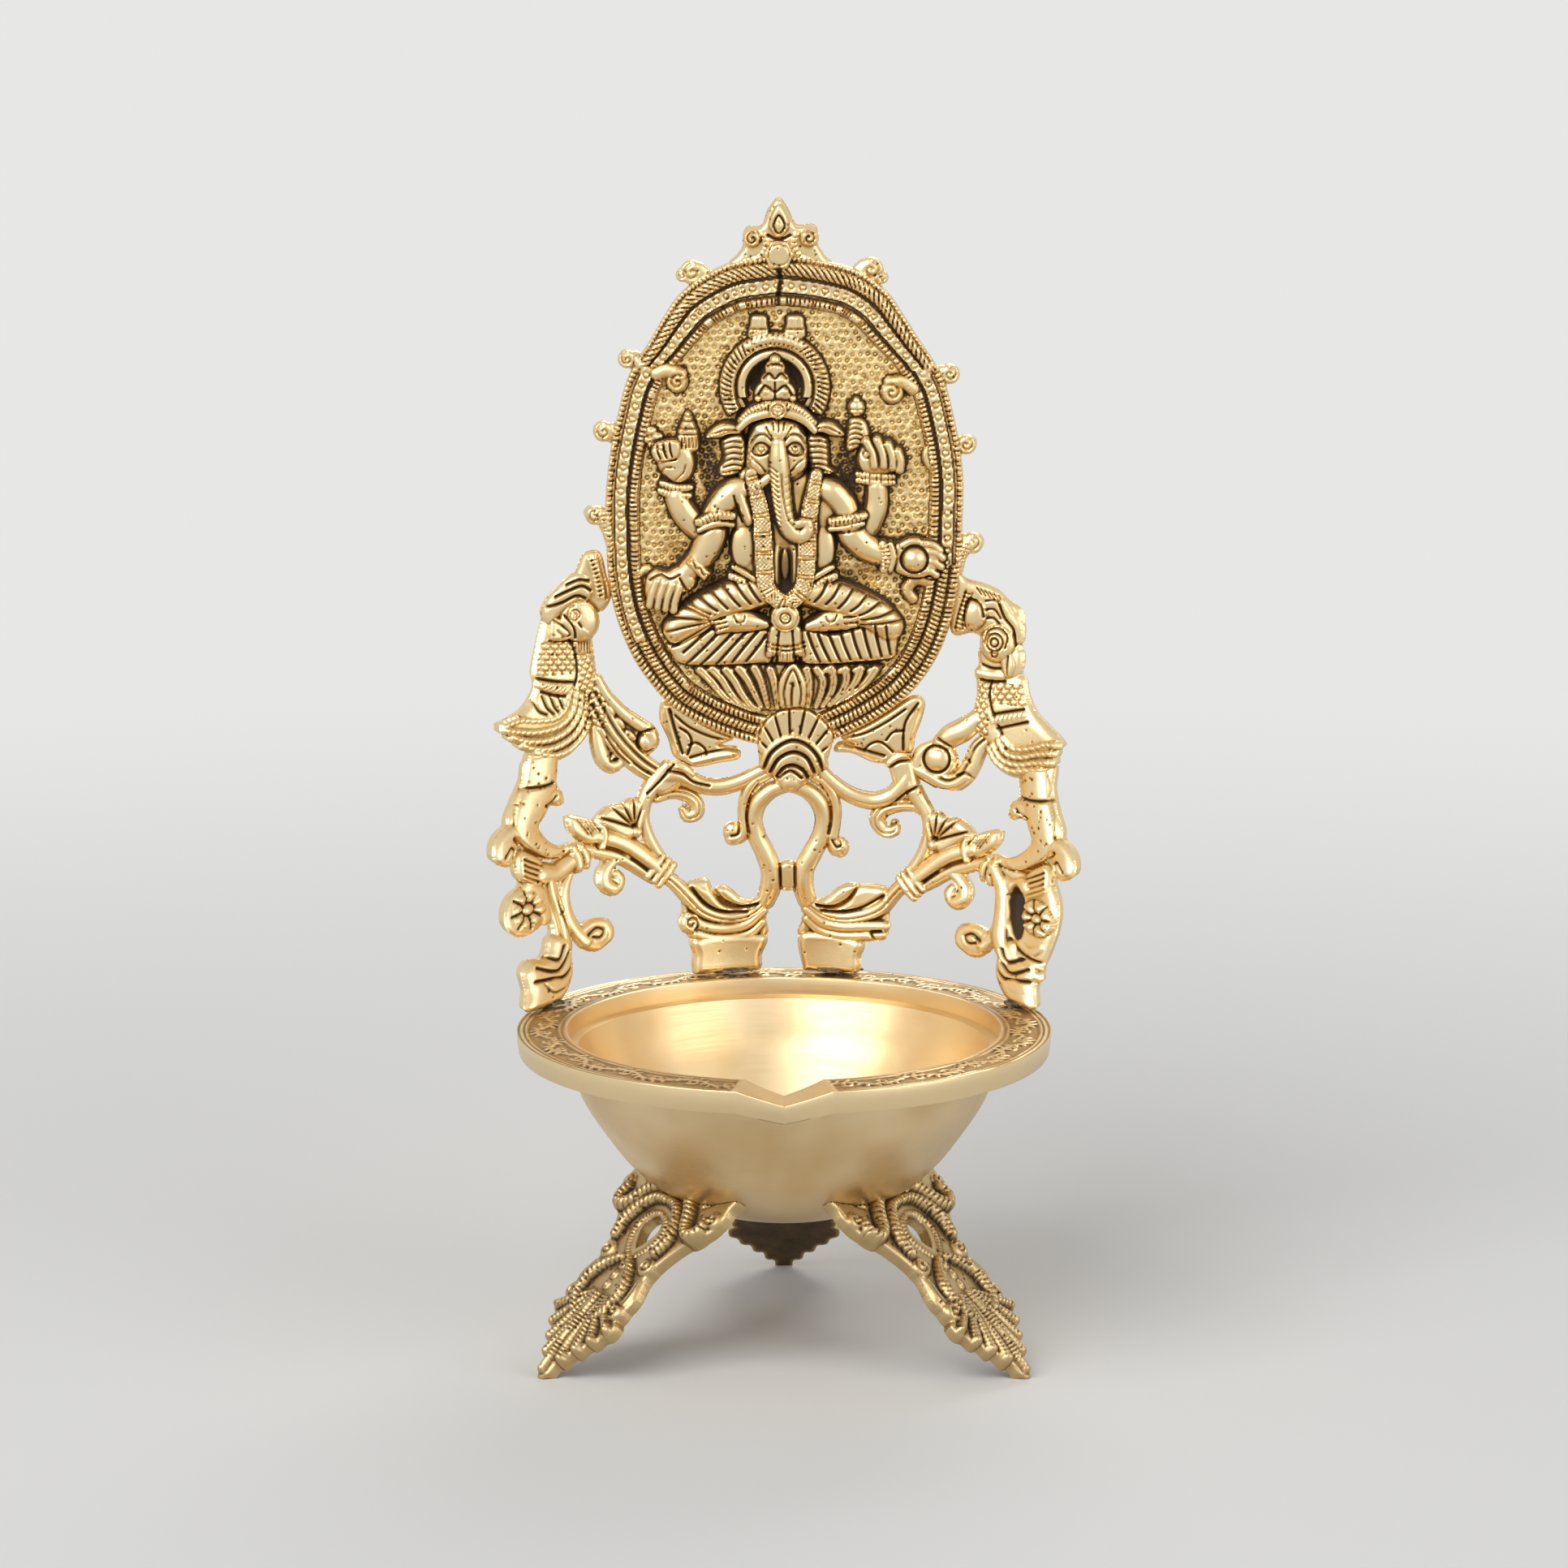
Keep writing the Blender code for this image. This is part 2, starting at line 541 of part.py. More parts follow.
def make_leg(name, azimuth):
    outline, half, ridges = leg_shapes()
    plate = slab(outline, -half, half, place=on_leg, hole=leg_hole())
    leg = combine(plate, make_shapes(ridges, place=on_leg), "UNION")
    lean = math.atan2(FOOT_RADIUS - LEG_TOP_RADIUS, LEG_TOP_HEIGHT)
    down = Matrix.Translation((0, -FOOT_RADIUS + half / math.cos(lean), 0))
    turn = Matrix.Rotation(azimuth + math.radians(90), 4, "Z")
    leg.matrix_world = turn @ down @ Matrix.Rotation(-lean, 4, "X")
    bpy.context.view_layer.update()
    floor = block((-1, -1, -1), (1, 1, 0), "floor")
    leg = combine(leg, [floor, bowl_cutter()], "DIFFERENCE")
    return finish_node(leg, name, BRONZE, 0.42)


# The bowl
def wall_line():
    """The bowl's outer wall, from under the rim down to the middle of the bottom."""
    top = RIM_TOP - RIM_BAND - RIM_TAPER
    radius = RIM_RADIUS - BOWL_NECK
    depth = top - (RIM_TOP - BOWL_DEPTH)
    return [Vector((radius * share, top - depth * fall)) for share, fall in BOWL_WALL]


def offset_line(line, distance):
    """A line alongside another, on the side of the bowl's inside, or outside if negative."""
    moved = []
    for number, spot in enumerate(line):
        before = line[max(number - 1, 0)]
        after = line[min(number + 1, len(line) - 1)]
        along = (after - before).normalized()
        shifted = spot + Vector((along.y, -along.x)) * distance
        if number == len(line) - 1:
            shifted = Vector((0, spot.y + distance))
        moved.append(shifted)
    return moved


def turn_profile(line, name):
    shape = bpy.data.meshes.new(name)
    edges = [(number, number + 1) for number in range(len(line) - 1)]
    shape.from_pydata([(spot.x, 0, spot.y) for spot in line], edges, [])
    thing = add_mesh_object(shape, name)
    screw = thing.modifiers.new("Screw", "SCREW")
    screw.steps = BOWL_STEPS
    screw.render_steps = BOWL_STEPS
    screw.use_merge_vertices = True
    screw.merge_threshold = 0.00005
    bpy.context.view_layer.update()
    return settle(thing)


def bowl_cutter():
    """The space that the bowl takes, with the seam round it."""
    wall = offset_line(wall_line(), -GAP)
    top = [Vector((0, RIM_TOP)), Vector((wall[0].x, RIM_TOP))]
    return turn_profile(top + wall, "bowl_space")


def press_spout(mesh):
    """Pinch the front of the rim into a pouring lip with a V-shaped floor."""
    for vert in mesh.vertices:
        turn = math.atan2(vert.co.x, -vert.co.y)
        share = 1 - abs(turn) / SPOUT_HALF_ANGLE
        lift = 1 - (RIM_TOP - vert.co.z) / SPOUT_FALL
        radius = math.hypot(vert.co.x, vert.co.y)
        if share <= 0 or lift <= 0:
            continue
        edge = (RIM_RADIUS - radius) / RIM_WIDTH
        reach = SPOUT_REACH + (SPOUT_NOTCH - SPOUT_REACH) * min(max(edge, 0), 1)
        if lift < 1 - 0.6 * RIM_BAND / SPOUT_FALL:
            reach = SPOUT_REACH * lift
        out = share * reach
        vert.co.x += out * math.sin(turn)
        vert.co.y -= out * math.cos(turn)
        vert.co.z -= share * SPOUT_DIP * lift


def make_bowl():
    wall = wall_line()
    opening = RIM_RADIUS - RIM_WIDTH
    edge = RIM_TAPER
    inside = [spot for spot in offset_line(wall, WALL) if spot.x < opening][::-1]
    rim = [Vector((opening, RIM_TOP - edge)), Vector((opening + edge, RIM_TOP)),
           Vector((RIM_RADIUS - edge, RIM_TOP)), Vector((RIM_RADIUS, RIM_TOP - edge)),
           Vector((RIM_RADIUS - edge, RIM_TOP - RIM_BAND)),
           Vector((RIM_RADIUS - 2 * edge, RIM_TOP - RIM_BAND - edge))]
    bowl = turn_profile(inside + rim + wall, "bowl")
    press_spout(bowl.data)
    return finish_node(bowl, "bowl", POLISHED, 0.22)


# The openwork's pieces
def make_openwork(name, shapes, trim=(), medallion=False, relief=False):
    """Fuse the drawn shapes, trim them where other pieces lie, and curve them forward."""
    place = on_oval if relief else on_grid
    piece = fuse(shapes, place=place)
    cutters = make_shapes(trim, grow=GAP, place=place)
    if medallion:
        cutters.append(medallion_wall(GAP))
    if relief:
        cutters.append(behind_the_relief())
    piece = combine(piece, cutters, "DIFFERENCE")
    bend_mesh(piece.data)
    return finish_node(piece, name, BRASS, 0.36)


def make_medallion():
    plate = slab(oval_outline(), -FRONT, FRONT, place=on_oval)
    curls = make_shapes(EDGE_CURLS + mirrored(EDGE_CURLS), place=on_oval)
    plate = combine(plate, curls, "UNION")
    in_front = block((-1, -1, 0), (1, -FRONT, 1))
    plate = combine(plate, [in_front], "DIFFERENCE")
    bend_mesh(plate.data)
    return finish_node(plate, "medallion_plate", BRASS, 0.4)


# The border's section, from its outer edge to its inner edge: how far across, and how far in
# front of the plate, both as shares
BORDER_SECTION = [(0.0, 0.0), (0.0, 0.55), (0.07, 0.75), (0.18, 0.75), (0.26, 0.4), (0.36, 1.0),
                  (0.6, 1.0), (0.7, 0.45), (0.8, 0.85), (0.93, 0.85), (1.0, 0.5), (1.0, 0.0)]
BORDER_EDGE = 1.2
BORDER_WIDTH = (10.4, 16.0, 10.0)   # at its sides, its top and its foot


def make_border():
    """A loft of one section round the oval, wider over the arch."""
    shape = bmesh.new()
    loops = []
    for across, front in BORDER_SECTION:
        side, top, foot = (BORDER_EDGE + across * width for width in BORDER_WIDTH)
        ring = superellipse(GRID_OVAL - side, OVAL_TOP - top, OVAL_FOOT + foot, RING_STEPS)[:-1]
        depth = FRONT + GAP + front * (RELIEF - GAP)
        spots = [on_oval(x, up) - Vector((0, depth, 0)) for x, up in ring]
        loops.append([shape.verts.new(spot) for spot in spots])
    for loop, following in zip(loops, loops[1:] + loops[:1]):
        for number, vert in enumerate(loop):
            before = number - 1
            shape.faces.new((loop[before], vert, following[number], following[before]))
    bmesh.ops.recalc_face_normals(shape, faces=shape.faces)
    mesh = bpy.data.meshes.new("medallion_border")
    shape.to_mesh(mesh)
    shape.free()
    bend_mesh(mesh)
    return finish_node(add_mesh_object(mesh, "border"), "medallion_border", BRASS, 0.34)


def make_pair(name, shapes, trim=(), medallion=False):
    make_openwork(name + "_left", shapes, trim=trim, medallion=medallion)
    make_openwork(name + "_right", mirrored(shapes), trim=mirrored(trim), medallion=medallion)


def make_pad(name, across):
    """A puddle of solder under one of the plate's feet."""
    back = curve_forward(Vector((across * ACROSS, 0, RIM_TOP)))
    shape = bmesh.new()
    wide = 5.5 if abs(across) > FLAT_WIDTH / 2 else 9.5
    low = RIM_TOP + GAP
    bmesh.ops.create_cone(shape, cap_ends=True, segments=24, radius1=1, radius2=0.82,
                          depth=PAD_HEIGHT)
    stretch = Matrix.Diagonal((wide * ACROSS, 4.4 * ACROSS, 1, 1))
    slope = 2 * BEND * abs(back.x)
    turn = Matrix.Rotation(-math.copysign(math.atan(slope), across), 4, "Z")
    place = Matrix.Translation((back.x, back.y, low + PAD_HEIGHT / 2))
    bmesh.ops.transform(shape, matrix=place @ turn @ stretch, verts=shape.verts)
    mesh = bpy.data.meshes.new(name)
    shape.to_mesh(mesh)
    shape.free()
    return finish_node(add_mesh_object(mesh, name), name, SOLDER, 0.6)


def build():
    make_bowl()
    for name, azimuth in (("leg_front_left", 210), ("leg_front_right", 330), ("leg_rear", 90)):
        make_leg(name, math.radians(azimuth))

    make_medallion()
    make_border()
    make_openwork("halo", halo_shapes(), relief=True)
    make_openwork("ganesha_figure", FIGURE, trim=SEAT_SPACE, relief=True)
    make_openwork("lotus_seat", LOTUS_SEAT, relief=True)
    make_openwork("crest", CREST, medallion=True)
    make_openwork("shell", SHELL, medallion=True)
    make_openwork("neck", NECK_HALF + mirrored(NECK_HALF) + COLLARS, trim=SHELL)

    make_pair("bird", BIRD, medallion=True)
    make_pair("fan_leaf", FAN_LEAF, trim=BIRD + BRANCH + SHELL, medallion=True)
    make_pair("branch", BRANCH, trim=BIRD + NECK_HALF + SHELL)
    make_pair("outer_scroll", OUTER_SCROLL, trim=BIRD + BRANCH)

    for name, across in (("outer", OUTER_FOOT), ("inner", INNER_FOOT)):
        make_pad("solder_" + name + "_left", -across)
        make_pad("solder_" + name + "_right", across)


build()
for group in (CUTTERS,):
    for thing in list(group.objects):
        remove(thing)
    bpy.data.collections.remove(group)
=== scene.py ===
# Brass puja lamp: polished bowl, cast legs, and an openwork plate of relief castings.
# Each casting is drawn as a relief on a fine sheet of points, like chasing a wax: stems, bosses and
# leaves raise it, grooves, beads and scales are cut into it, and it is then curved round the rim.
import math

import bpy
import numpy as np
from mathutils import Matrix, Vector
from mathutils.geometry import delaunay_2d_cdt


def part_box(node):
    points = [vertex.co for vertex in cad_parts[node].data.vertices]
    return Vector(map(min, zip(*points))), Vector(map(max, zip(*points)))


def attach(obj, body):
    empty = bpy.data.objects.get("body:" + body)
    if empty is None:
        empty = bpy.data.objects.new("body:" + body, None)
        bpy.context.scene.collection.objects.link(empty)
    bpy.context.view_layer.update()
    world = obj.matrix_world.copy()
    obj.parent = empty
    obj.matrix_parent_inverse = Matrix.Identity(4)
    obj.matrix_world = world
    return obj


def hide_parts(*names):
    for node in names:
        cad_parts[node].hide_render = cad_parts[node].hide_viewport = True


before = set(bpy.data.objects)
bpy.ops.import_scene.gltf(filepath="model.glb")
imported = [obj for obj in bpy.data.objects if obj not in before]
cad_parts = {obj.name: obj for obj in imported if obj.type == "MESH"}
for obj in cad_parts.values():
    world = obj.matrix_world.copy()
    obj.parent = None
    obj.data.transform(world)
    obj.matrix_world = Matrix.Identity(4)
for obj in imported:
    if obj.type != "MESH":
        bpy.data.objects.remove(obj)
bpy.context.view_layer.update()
print("frame loaded")

# Camera, at the photograph's angle
view = {"place": (0, -1.5981, 0.478), "pitch": 78.83, "lens": 132.5}


def addCamera():
    bpy.ops.object.camera_add(location=view["place"], rotation=(math.radians(view["pitch"]), 0, 0))
    camera = bpy.context.object
    camera.data.lens = view["lens"]
    camera.data.sensor_width = 36
    bpy.context.scene.camera = camera


addCamera()

# Sizes taken from the frame, metres
bowlLow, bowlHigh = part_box("bowl")
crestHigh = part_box("crest")[1]
lamp = {
    "rimRadius": bowlHigh[0],
    "rimTop": bowlHigh[2],
    "rimWidth": 0.0144,
    "rimBand": 0.0065,
    "spoutTip": -bowlLow[1],
    "plateTop": crestHigh[2],
    "footRadius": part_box("leg_rear")[1][1],
}
# The relief is drawn in millimetres, for a rim and a plate of these sizes
drawing = {"rimRadius": 76.0, "plateHeight": 229.5}
across = lamp["rimRadius"] / drawing["rimRadius"]
up = (lamp["plateTop"] - lamp["rimTop"]) / drawing["plateHeight"]


# Materials
def newGroup(name, inputs, outputs):
    group = bpy.data.node_groups.new(name, "ShaderNodeTree")
    for label, kind, value in inputs:
        socket = group.interface.new_socket(label, in_out="INPUT", socket_type=kind)
        socket.default_value = value
    for label, kind in outputs:
        group.interface.new_socket(label, in_out="OUTPUT", socket_type=kind)
    return group


def addNode(tree, kind, **values):
    node = tree.nodes.new(kind)
    for key, value in values.items():
        if key in node.inputs:
            node.inputs[key].default_value = value
        else:
            setattr(node, key, value)
    return node


def scaled(tree, value, factor):
    node = addNode(tree, "ShaderNodeMath", operation="MULTIPLY")
    tree.links.new(value, node.inputs[0])
    node.inputs[1].default_value = factor
    return node.outputs[0]


def ramp(tree, value, low, high, start=0.0, end=1.0):
    node = addNode(tree, "ShaderNodeMapRange", interpolation_type="SMOOTHSTEP")
    tree.links.new(value, node.inputs["Value"])
    node.inputs["From Min"].default_value = low
    node.inputs["From Max"].default_value = high
    node.inputs["To Min"].default_value = start
    node.inputs["To Max"].default_value = end
    return node.outputs["Result"]


def mixColor(tree, factor, first, second):
    node = addNode(tree, "ShaderNodeMix", data_type="RGBA")
    tree.links.new(factor, node.inputs["Factor"])
    for socket, value in ((node.inputs[6], first), (node.inputs[7], second)):
        if isinstance(value, tuple):
            socket.default_value = value
        else:
            tree.links.new(value, socket)
    return node.outputs[2]


def makePatinaGroup():
    # the attribute read here marks dark dirt in the recesses and painted shade on slopes, backs and beside
    # higher parts; both fade over the high places
    group = newGroup("agedBrass",
                     [("DirtAndShade", "NodeSocketFloat", 0.0), ("Bright", "NodeSocketColor", (1, 1, 1, 1)),
                      ("Warm", "NodeSocketColor", (1, 1, 1, 1)),
                      ("Dark", "NodeSocketColor", (1, 1, 1, 1)),
                      ("Polish", "NodeSocketFloat", 0.28), ("Mottle", "NodeSocketFloat", 0.2)],
                     [("Color", "NodeSocketColor"), ("Roughness", "NodeSocketFloat"),
                      ("Metallic", "NodeSocketFloat"), ("Height", "NodeSocketFloat")])
    entry = addNode(group, "NodeGroupInput")
    leave = addNode(group, "NodeGroupOutput")
    spot = addNode(group, "ShaderNodeTexCoord").outputs["Object"]
    cloud = addNode(group, "ShaderNodeTexNoise", Scale=190.0, Detail=4.0, Roughness=0.6)
    grain = addNode(group, "ShaderNodeTexNoise", Scale=1500.0, Detail=3.0, Roughness=0.7)
    pits = addNode(group, "ShaderNodeTexVoronoi", Scale=650.0)
    for node in (cloud, grain, pits):
        group.links.new(spot, node.inputs["Vector"])
    wobble = addNode(group, "ShaderNodeMath", operation="SUBTRACT")
    group.links.new(cloud.outputs["Fac"], wobble.inputs[0])
    wobble.inputs[1].default_value = 0.5
    spread = addNode(group, "ShaderNodeMath", operation="MULTIPLY")
    group.links.new(wobble.outputs[0], spread.inputs[0])
    group.links.new(entry.outputs["Mottle"], spread.inputs[1])
    dirtAndShade = addNode(group, "ShaderNodeMath", operation="ADD")
    group.links.new(entry.outputs["DirtAndShade"], dirtAndShade.inputs[0])
    group.links.new(spread.outputs[0], dirtAndShade.inputs[1])
    warmth = ramp(group, dirtAndShade.outputs[0], 0.03, 0.34)
    darkness = ramp(group, dirtAndShade.outputs[0], 0.34, 0.74)
    color = mixColor(group, warmth, entry.outputs["Bright"], entry.outputs["Warm"])
    color = mixColor(group, darkness, color, entry.outputs["Dark"])
    rough = addNode(group, "ShaderNodeMath", operation="ADD")
    group.links.new(entry.outputs["Polish"], rough.inputs[0])
    group.links.new(ramp(group, dirtAndShade.outputs[0], 0.1, 0.8, 0.0, 0.42), rough.inputs[1])
    group.links.new(color, leave.inputs["Color"])
    group.links.new(rough.outputs[0], leave.inputs["Roughness"])
    group.links.new(ramp(group, darkness, 0.0, 1.0, 1.0, 0.35), leave.inputs["Metallic"])
    hollow = ramp(group, pits.outputs["Distance"], 0.0, 0.28)
    bumps = addNode(group, "ShaderNodeMath", operation="MULTIPLY_ADD")
    group.links.new(grain.outputs["Fac"], bumps.inputs[0])
    bumps.inputs[1].default_value = 0.6
    group.links.new(scaled(group, hollow, 0.5), bumps.inputs[2])
    group.links.new(bumps.outputs[0], leave.inputs["Height"])
    return group


patinaGroup = makePatinaGroup()


def newMaterial(name, slotColor):
    material = bpy.data.materials.new(name)
    material.use_nodes = True
    material.diffuse_color = slotColor
    return material, material.node_tree, material.node_tree.nodes["Principled BSDF"]


def makeAgedBrass(name, finish):
    material, tree, shader = newMaterial(name, finish["bright"])
    # this attribute holds dirt and painted shade together
    dirtAndShade = addNode(tree, "ShaderNodeAttribute", attribute_name="dirtAndShade")
    aged = addNode(tree, "ShaderNodeGroup")
    aged.node_tree = patinaGroup
    tree.links.new(dirtAndShade.outputs["Fac"], aged.inputs["DirtAndShade"])
    for label in ("Bright", "Warm", "Dark", "Polish", "Mottle"):
        aged.inputs[label].default_value = finish[label.lower()]
    for output, label in (("Color", "Base Color"), ("Roughness", "Roughness"), ("Metallic", "Metallic")):
        tree.links.new(aged.outputs[output], shader.inputs[label])
    bump = addNode(tree, "ShaderNodeBump", Strength=finish["pitting"], Distance=0.0003)
    tree.links.new(aged.outputs["Height"], bump.inputs["Height"])
    tree.links.new(bump.outputs["Normal"], shader.inputs["Normal"])
    return material


castFinish = {"bright": (0.84, 0.65, 0.36, 1), "warm": (0.60, 0.38, 0.13, 1),
              "dark": (0.06, 0.036, 0.016, 1), "polish": 0.3, "mottle": 0.3, "pitting": 0.12}
legFinish = {"bright": (0.55, 0.40, 0.20, 1), "warm": (0.27, 0.17, 0.07, 1),
             "dark": (0.035, 0.02, 0.01, 1), "polish": 0.33, "mottle": 0.35, "pitting": 0.4}
rimFinish = {"bright": (0.82, 0.64, 0.37, 1), "warm": (0.40, 0.26, 0.11, 1),
             "dark": (0.06, 0.035, 0.016, 1), "polish": 0.3, "mottle": 0.2, "pitting": 0.15}
groundFinish = {"bright": (0.84, 0.64, 0.33, 1), "warm": (0.62, 0.39, 0.12, 1),
                "dark": (0.06, 0.036, 0.016, 1), "polish": 0.34, "mottle": 0.4, "pitting": 0.8}
bowlFinish = {"color": (0.80, 0.63, 0.38, 1), "deep": (0.68, 0.48, 0.24, 1), "roughness": 0.36}
solderFinish = {"color": (0.10, 0.08, 0.06, 1), "bright": (0.24, 0.20, 0.15, 1)}


def makePolishedBrass(name):
    # fine turning lines run round the bowl, and its colour varies in soft clouds
    material, tree, shader = newMaterial(name, bowlFinish["color"])
    spot = addNode(tree, "ShaderNodeTexCoord").outputs["Object"]
    cloud = addNode(tree, "ShaderNodeTexNoise", Scale=26.0, Detail=3.0)
    tree.links.new(spot, cloud.inputs["Vector"])
    color = mixColor(tree, ramp(tree, cloud.outputs["Fac"], 0.35, 0.7), bowlFinish["color"],
                     bowlFinish["deep"])
    tree.links.new(color, shader.inputs["Base Color"])
    shader.inputs["Metallic"].default_value = 1.0
    brushed = addNode(tree, "ShaderNodeTexNoise", Scale=1.0, Detail=2.0)
    stretch = addNode(tree, "ShaderNodeMapping", Scale=(55, 55, 2600))
    tree.links.new(spot, stretch.inputs["Vector"])
    tree.links.new(stretch.outputs["Vector"], brushed.inputs["Vector"])
    rough = ramp(tree, brushed.outputs["Fac"], 0.3, 0.7, bowlFinish["roughness"] - 0.03,
                 bowlFinish["roughness"] + 0.06)
    tree.links.new(rough, shader.inputs["Roughness"])
    bump = addNode(tree, "ShaderNodeBump", Strength=0.02, Distance=0.0002)
    tree.links.new(brushed.outputs["Fac"], bump.inputs["Height"])
    tree.links.new(bump.outputs["Normal"], shader.inputs["Normal"])
    return material


def makeSolder(name):
    material, tree, shader = newMaterial(name, solderFinish["color"])
    spot = addNode(tree, "ShaderNodeTexCoord").outputs["Object"]
    lumps = addNode(tree, "ShaderNodeTexNoise", Scale=600.0, Detail=3.0)
    tree.links.new(spot, lumps.inputs["Vector"])
    color = mixColor(tree, ramp(tree, lumps.outputs["Fac"], 0.4, 0.65), solderFinish["color"],
                     solderFinish["bright"])
    tree.links.new(color, shader.inputs["Base Color"])
    shader.inputs["Metallic"].default_value = 0.8
    shader.inputs["Roughness"].default_value = 0.5
    bump = addNode(tree, "ShaderNodeBump", Strength=0.6, Distance=0.0004)
    tree.links.new(lumps.outputs["Fac"], bump.inputs["Height"])
    tree.links.new(bump.outputs["Normal"], shader.inputs["Normal"])
    return material


castBrass = makeAgedBrass("castBrass", castFinish)
groundBrass = makeAgedBrass("groundBrass", groundFinish)
legBrass = makeAgedBrass("legBrass", legFinish)
rimBrass = makeAgedBrass("rimBrass", rimFinish)
bowlBrass = makePolishedBrass("bowlBrass")
solderMetal = makeSolder("solderMetal")


# The sheet that a relief is drawn on
def newSheet(low, high, cell=0.35):
    x, z = np.meshgrid(np.arange(low[0], high[0] + cell, cell),
                       np.arange(low[1], high[1] + cell, cell), indexing="ij")
    return {"x": x, "z": z, "cell": cell, "edge": np.full(x.shape, 9.0),
            "top": np.full(x.shape, -9.0), "lip": np.full(x.shape, 0.5),
            "stainAndShade": np.zeros(x.shape)}


def smoothLine(points, closed=False, step=0.7):
    # a smooth curve through a few points, each with its radius
    points = [np.array(point, dtype=float) for point in points]
    count = len(points)
    line = []
    for number in range(count if closed else count - 1):
        if closed:
            around = [points[(number + k) % count] for k in (-1, 0, 1, 2)]
        else:
            around = [points[min(max(number + k, 0), count - 1)] for k in (-1, 0, 1, 2)]
        before, start, end, after = around
        pieces = max(int(np.hypot(*(end - start)[:2]) / step), 1)
        for t in np.arange(pieces) / pieces:
            line.append(0.5 * (2 * start + (end - before) * t
                               + (2 * before - 5 * start + 4 * end - after) * t * t
                               + (3 * start - before - 3 * end + after) * t ** 3))
    line.append(points[0] if closed else points[-1])
    return np.array(line)


def measure(sheet, line, reach):
    # how far each point of the sheet lies from a line, along it and to its side
    x, z, cell = sheet["x"], sheet["z"], sheet["cell"]
    near = np.full(x.shape, 99.0)
    along = np.zeros(x.shape)
    side = np.zeros(x.shape)
    radius = np.full(x.shape, 0.001)
    start = 0.0
    for a, b in zip(line[:-1], line[1:]):
        span = (b - a)[:2]
        length = max(math.hypot(*span), 1e-6)
        low = np.minimum(a, b)[:2] - reach
        high = np.maximum(a, b)[:2] + reach
        i = np.clip(((np.array([low[0], high[0]]) - x[0, 0]) / cell).astype(int) + [0, 2], 0, x.shape[0])
        j = np.clip(((np.array([low[1], high[1]]) - z[0, 0]) / cell).astype(int) + [0, 2], 0, x.shape[1])
        window = (slice(i[0], i[1]), slice(j[0], j[1]))
        dx, dz = x[window] - a[0], z[window] - a[1]
        t = np.clip((dx * span[0] + dz * span[1]) / length ** 2, 0, 1)
        away = np.hypot(dx - t * span[0], dz - t * span[1])
        closer = away < near[window]
        sign = np.where(dx * span[1] - dz * span[0] > 0, 1.0, -1.0)
        near[window] = np.where(closer, away, near[window])
        along[window] = np.where(closer, start + t * length, along[window])
        side[window] = np.where(closer, away * sign, side[window])
        if len(a) > 2:
            radius[window] = np.where(closer, a[2] + t * (b[2] - a[2]), radius[window])
        start += length
    return {"near": near, "along": along, "side": side, "radius": radius}


def insideOf(sheet, line):
    # whether each point of the sheet lies in a closed line, by how often a row crosses it
    inside = np.zeros(sheet["x"].shape, dtype=bool)
    rows, columns = sheet["z"][0], sheet["x"][:, 0]
    for a, b in zip(line[:-1], line[1:]):
        crossed = np.nonzero((a[1] > rows) != (b[1] > rows))[0]
        if len(crossed):
            place = a[0] + (rows[crossed] - a[1]) * (b[0] - a[0]) / (b[1] - a[1])
            inside[:, crossed] ^= columns[:, None] < place[None, :]
    return inside


def raiseSheet(sheet, height, distance, lip):
    # keep the higher of the sheet and a new form, whose outline is where distance is zero
    outside = distance < sheet["edge"]
    sheet["lip"] = np.where(outside & (sheet["edge"] > 0), lip, sheet["lip"])
    sheet["edge"] = np.minimum(sheet["edge"], distance)
    sheet["top"] = np.where((distance < 0) & (height > sheet["top"]), height, sheet["top"])


def stem(sheet, points, tall=1.0, lift=0.6, crown=2.0, grooves=(), rope=None):
    # a rounded stem; crown above 2 flattens its top; grooves run along it at a share of its width
    found = measure(sheet, smoothLine(points), max(point[2] for point in points) + 1.5)
    radius = found["radius"]
    share = np.clip(found["near"] / radius, 0, 1)
    height = lift + tall * radius * np.sqrt(1 - share ** crown)
    for offset, width, depth in grooves:
        height = height - depth * np.exp(-((found["side"] / radius - offset) / width) ** 2)
    if rope:
        pitch, depth, slant = rope
        phase = (found["along"] + slant * found["side"]) / pitch
        height = height - depth * np.clip(np.cos(2 * math.pi * phase), 0, 1) ** 3
    raiseSheet(sheet, height, found["near"] - radius, lift)


def boss(sheet, x, z, radii, tall, lift=0.6, turn=0.0, crown=2.0):
    turn = math.radians(turn)
    dx, dz = sheet["x"] - x, sheet["z"] - z
    u = (dx * math.cos(turn) + dz * math.sin(turn)) / radii[0]
    v = (-dx * math.sin(turn) + dz * math.cos(turn)) / radii[1]
    share = np.sqrt(u * u + v * v)
    height = lift + tall * np.sqrt(np.clip(1 - share ** crown, 0, 1))
    raiseSheet(sheet, height, (share - 1) * min(radii), lift)


def plate(sheet, outline, tall, lift=0.5, soft=1.2, smooth=True):
    # a flat form with a closed outline, whose edge is rounded over the width soft
    line = smoothLine(outline, closed=True) if smooth else np.array(outline + outline[:1], dtype=float)
    found = measure(sheet, line, soft + 2.5)
    distance = np.where(insideOf(sheet, line), -found["near"], found["near"])
    share = np.clip(-distance / soft, 0, 1)
    height = lift + tall * np.sqrt(1 - (1 - share) ** 2)
    raiseSheet(sheet, height, distance, lift)


def groove(sheet, points, width=0.45, depth=0.6, closed=False):
    near = measure(sheet, smoothLine(points, closed, step=0.5), width * 3)["near"]
    sheet["top"] -= depth * np.exp(-(near / width) ** 2)


def cutLines(sheet, width, depth, *lines):
    for points in lines:
        groove(sheet, points, width, depth)


def ridge(sheet, points, width=0.5, tall=0.4):
    groove(sheet, points, width, -tall)


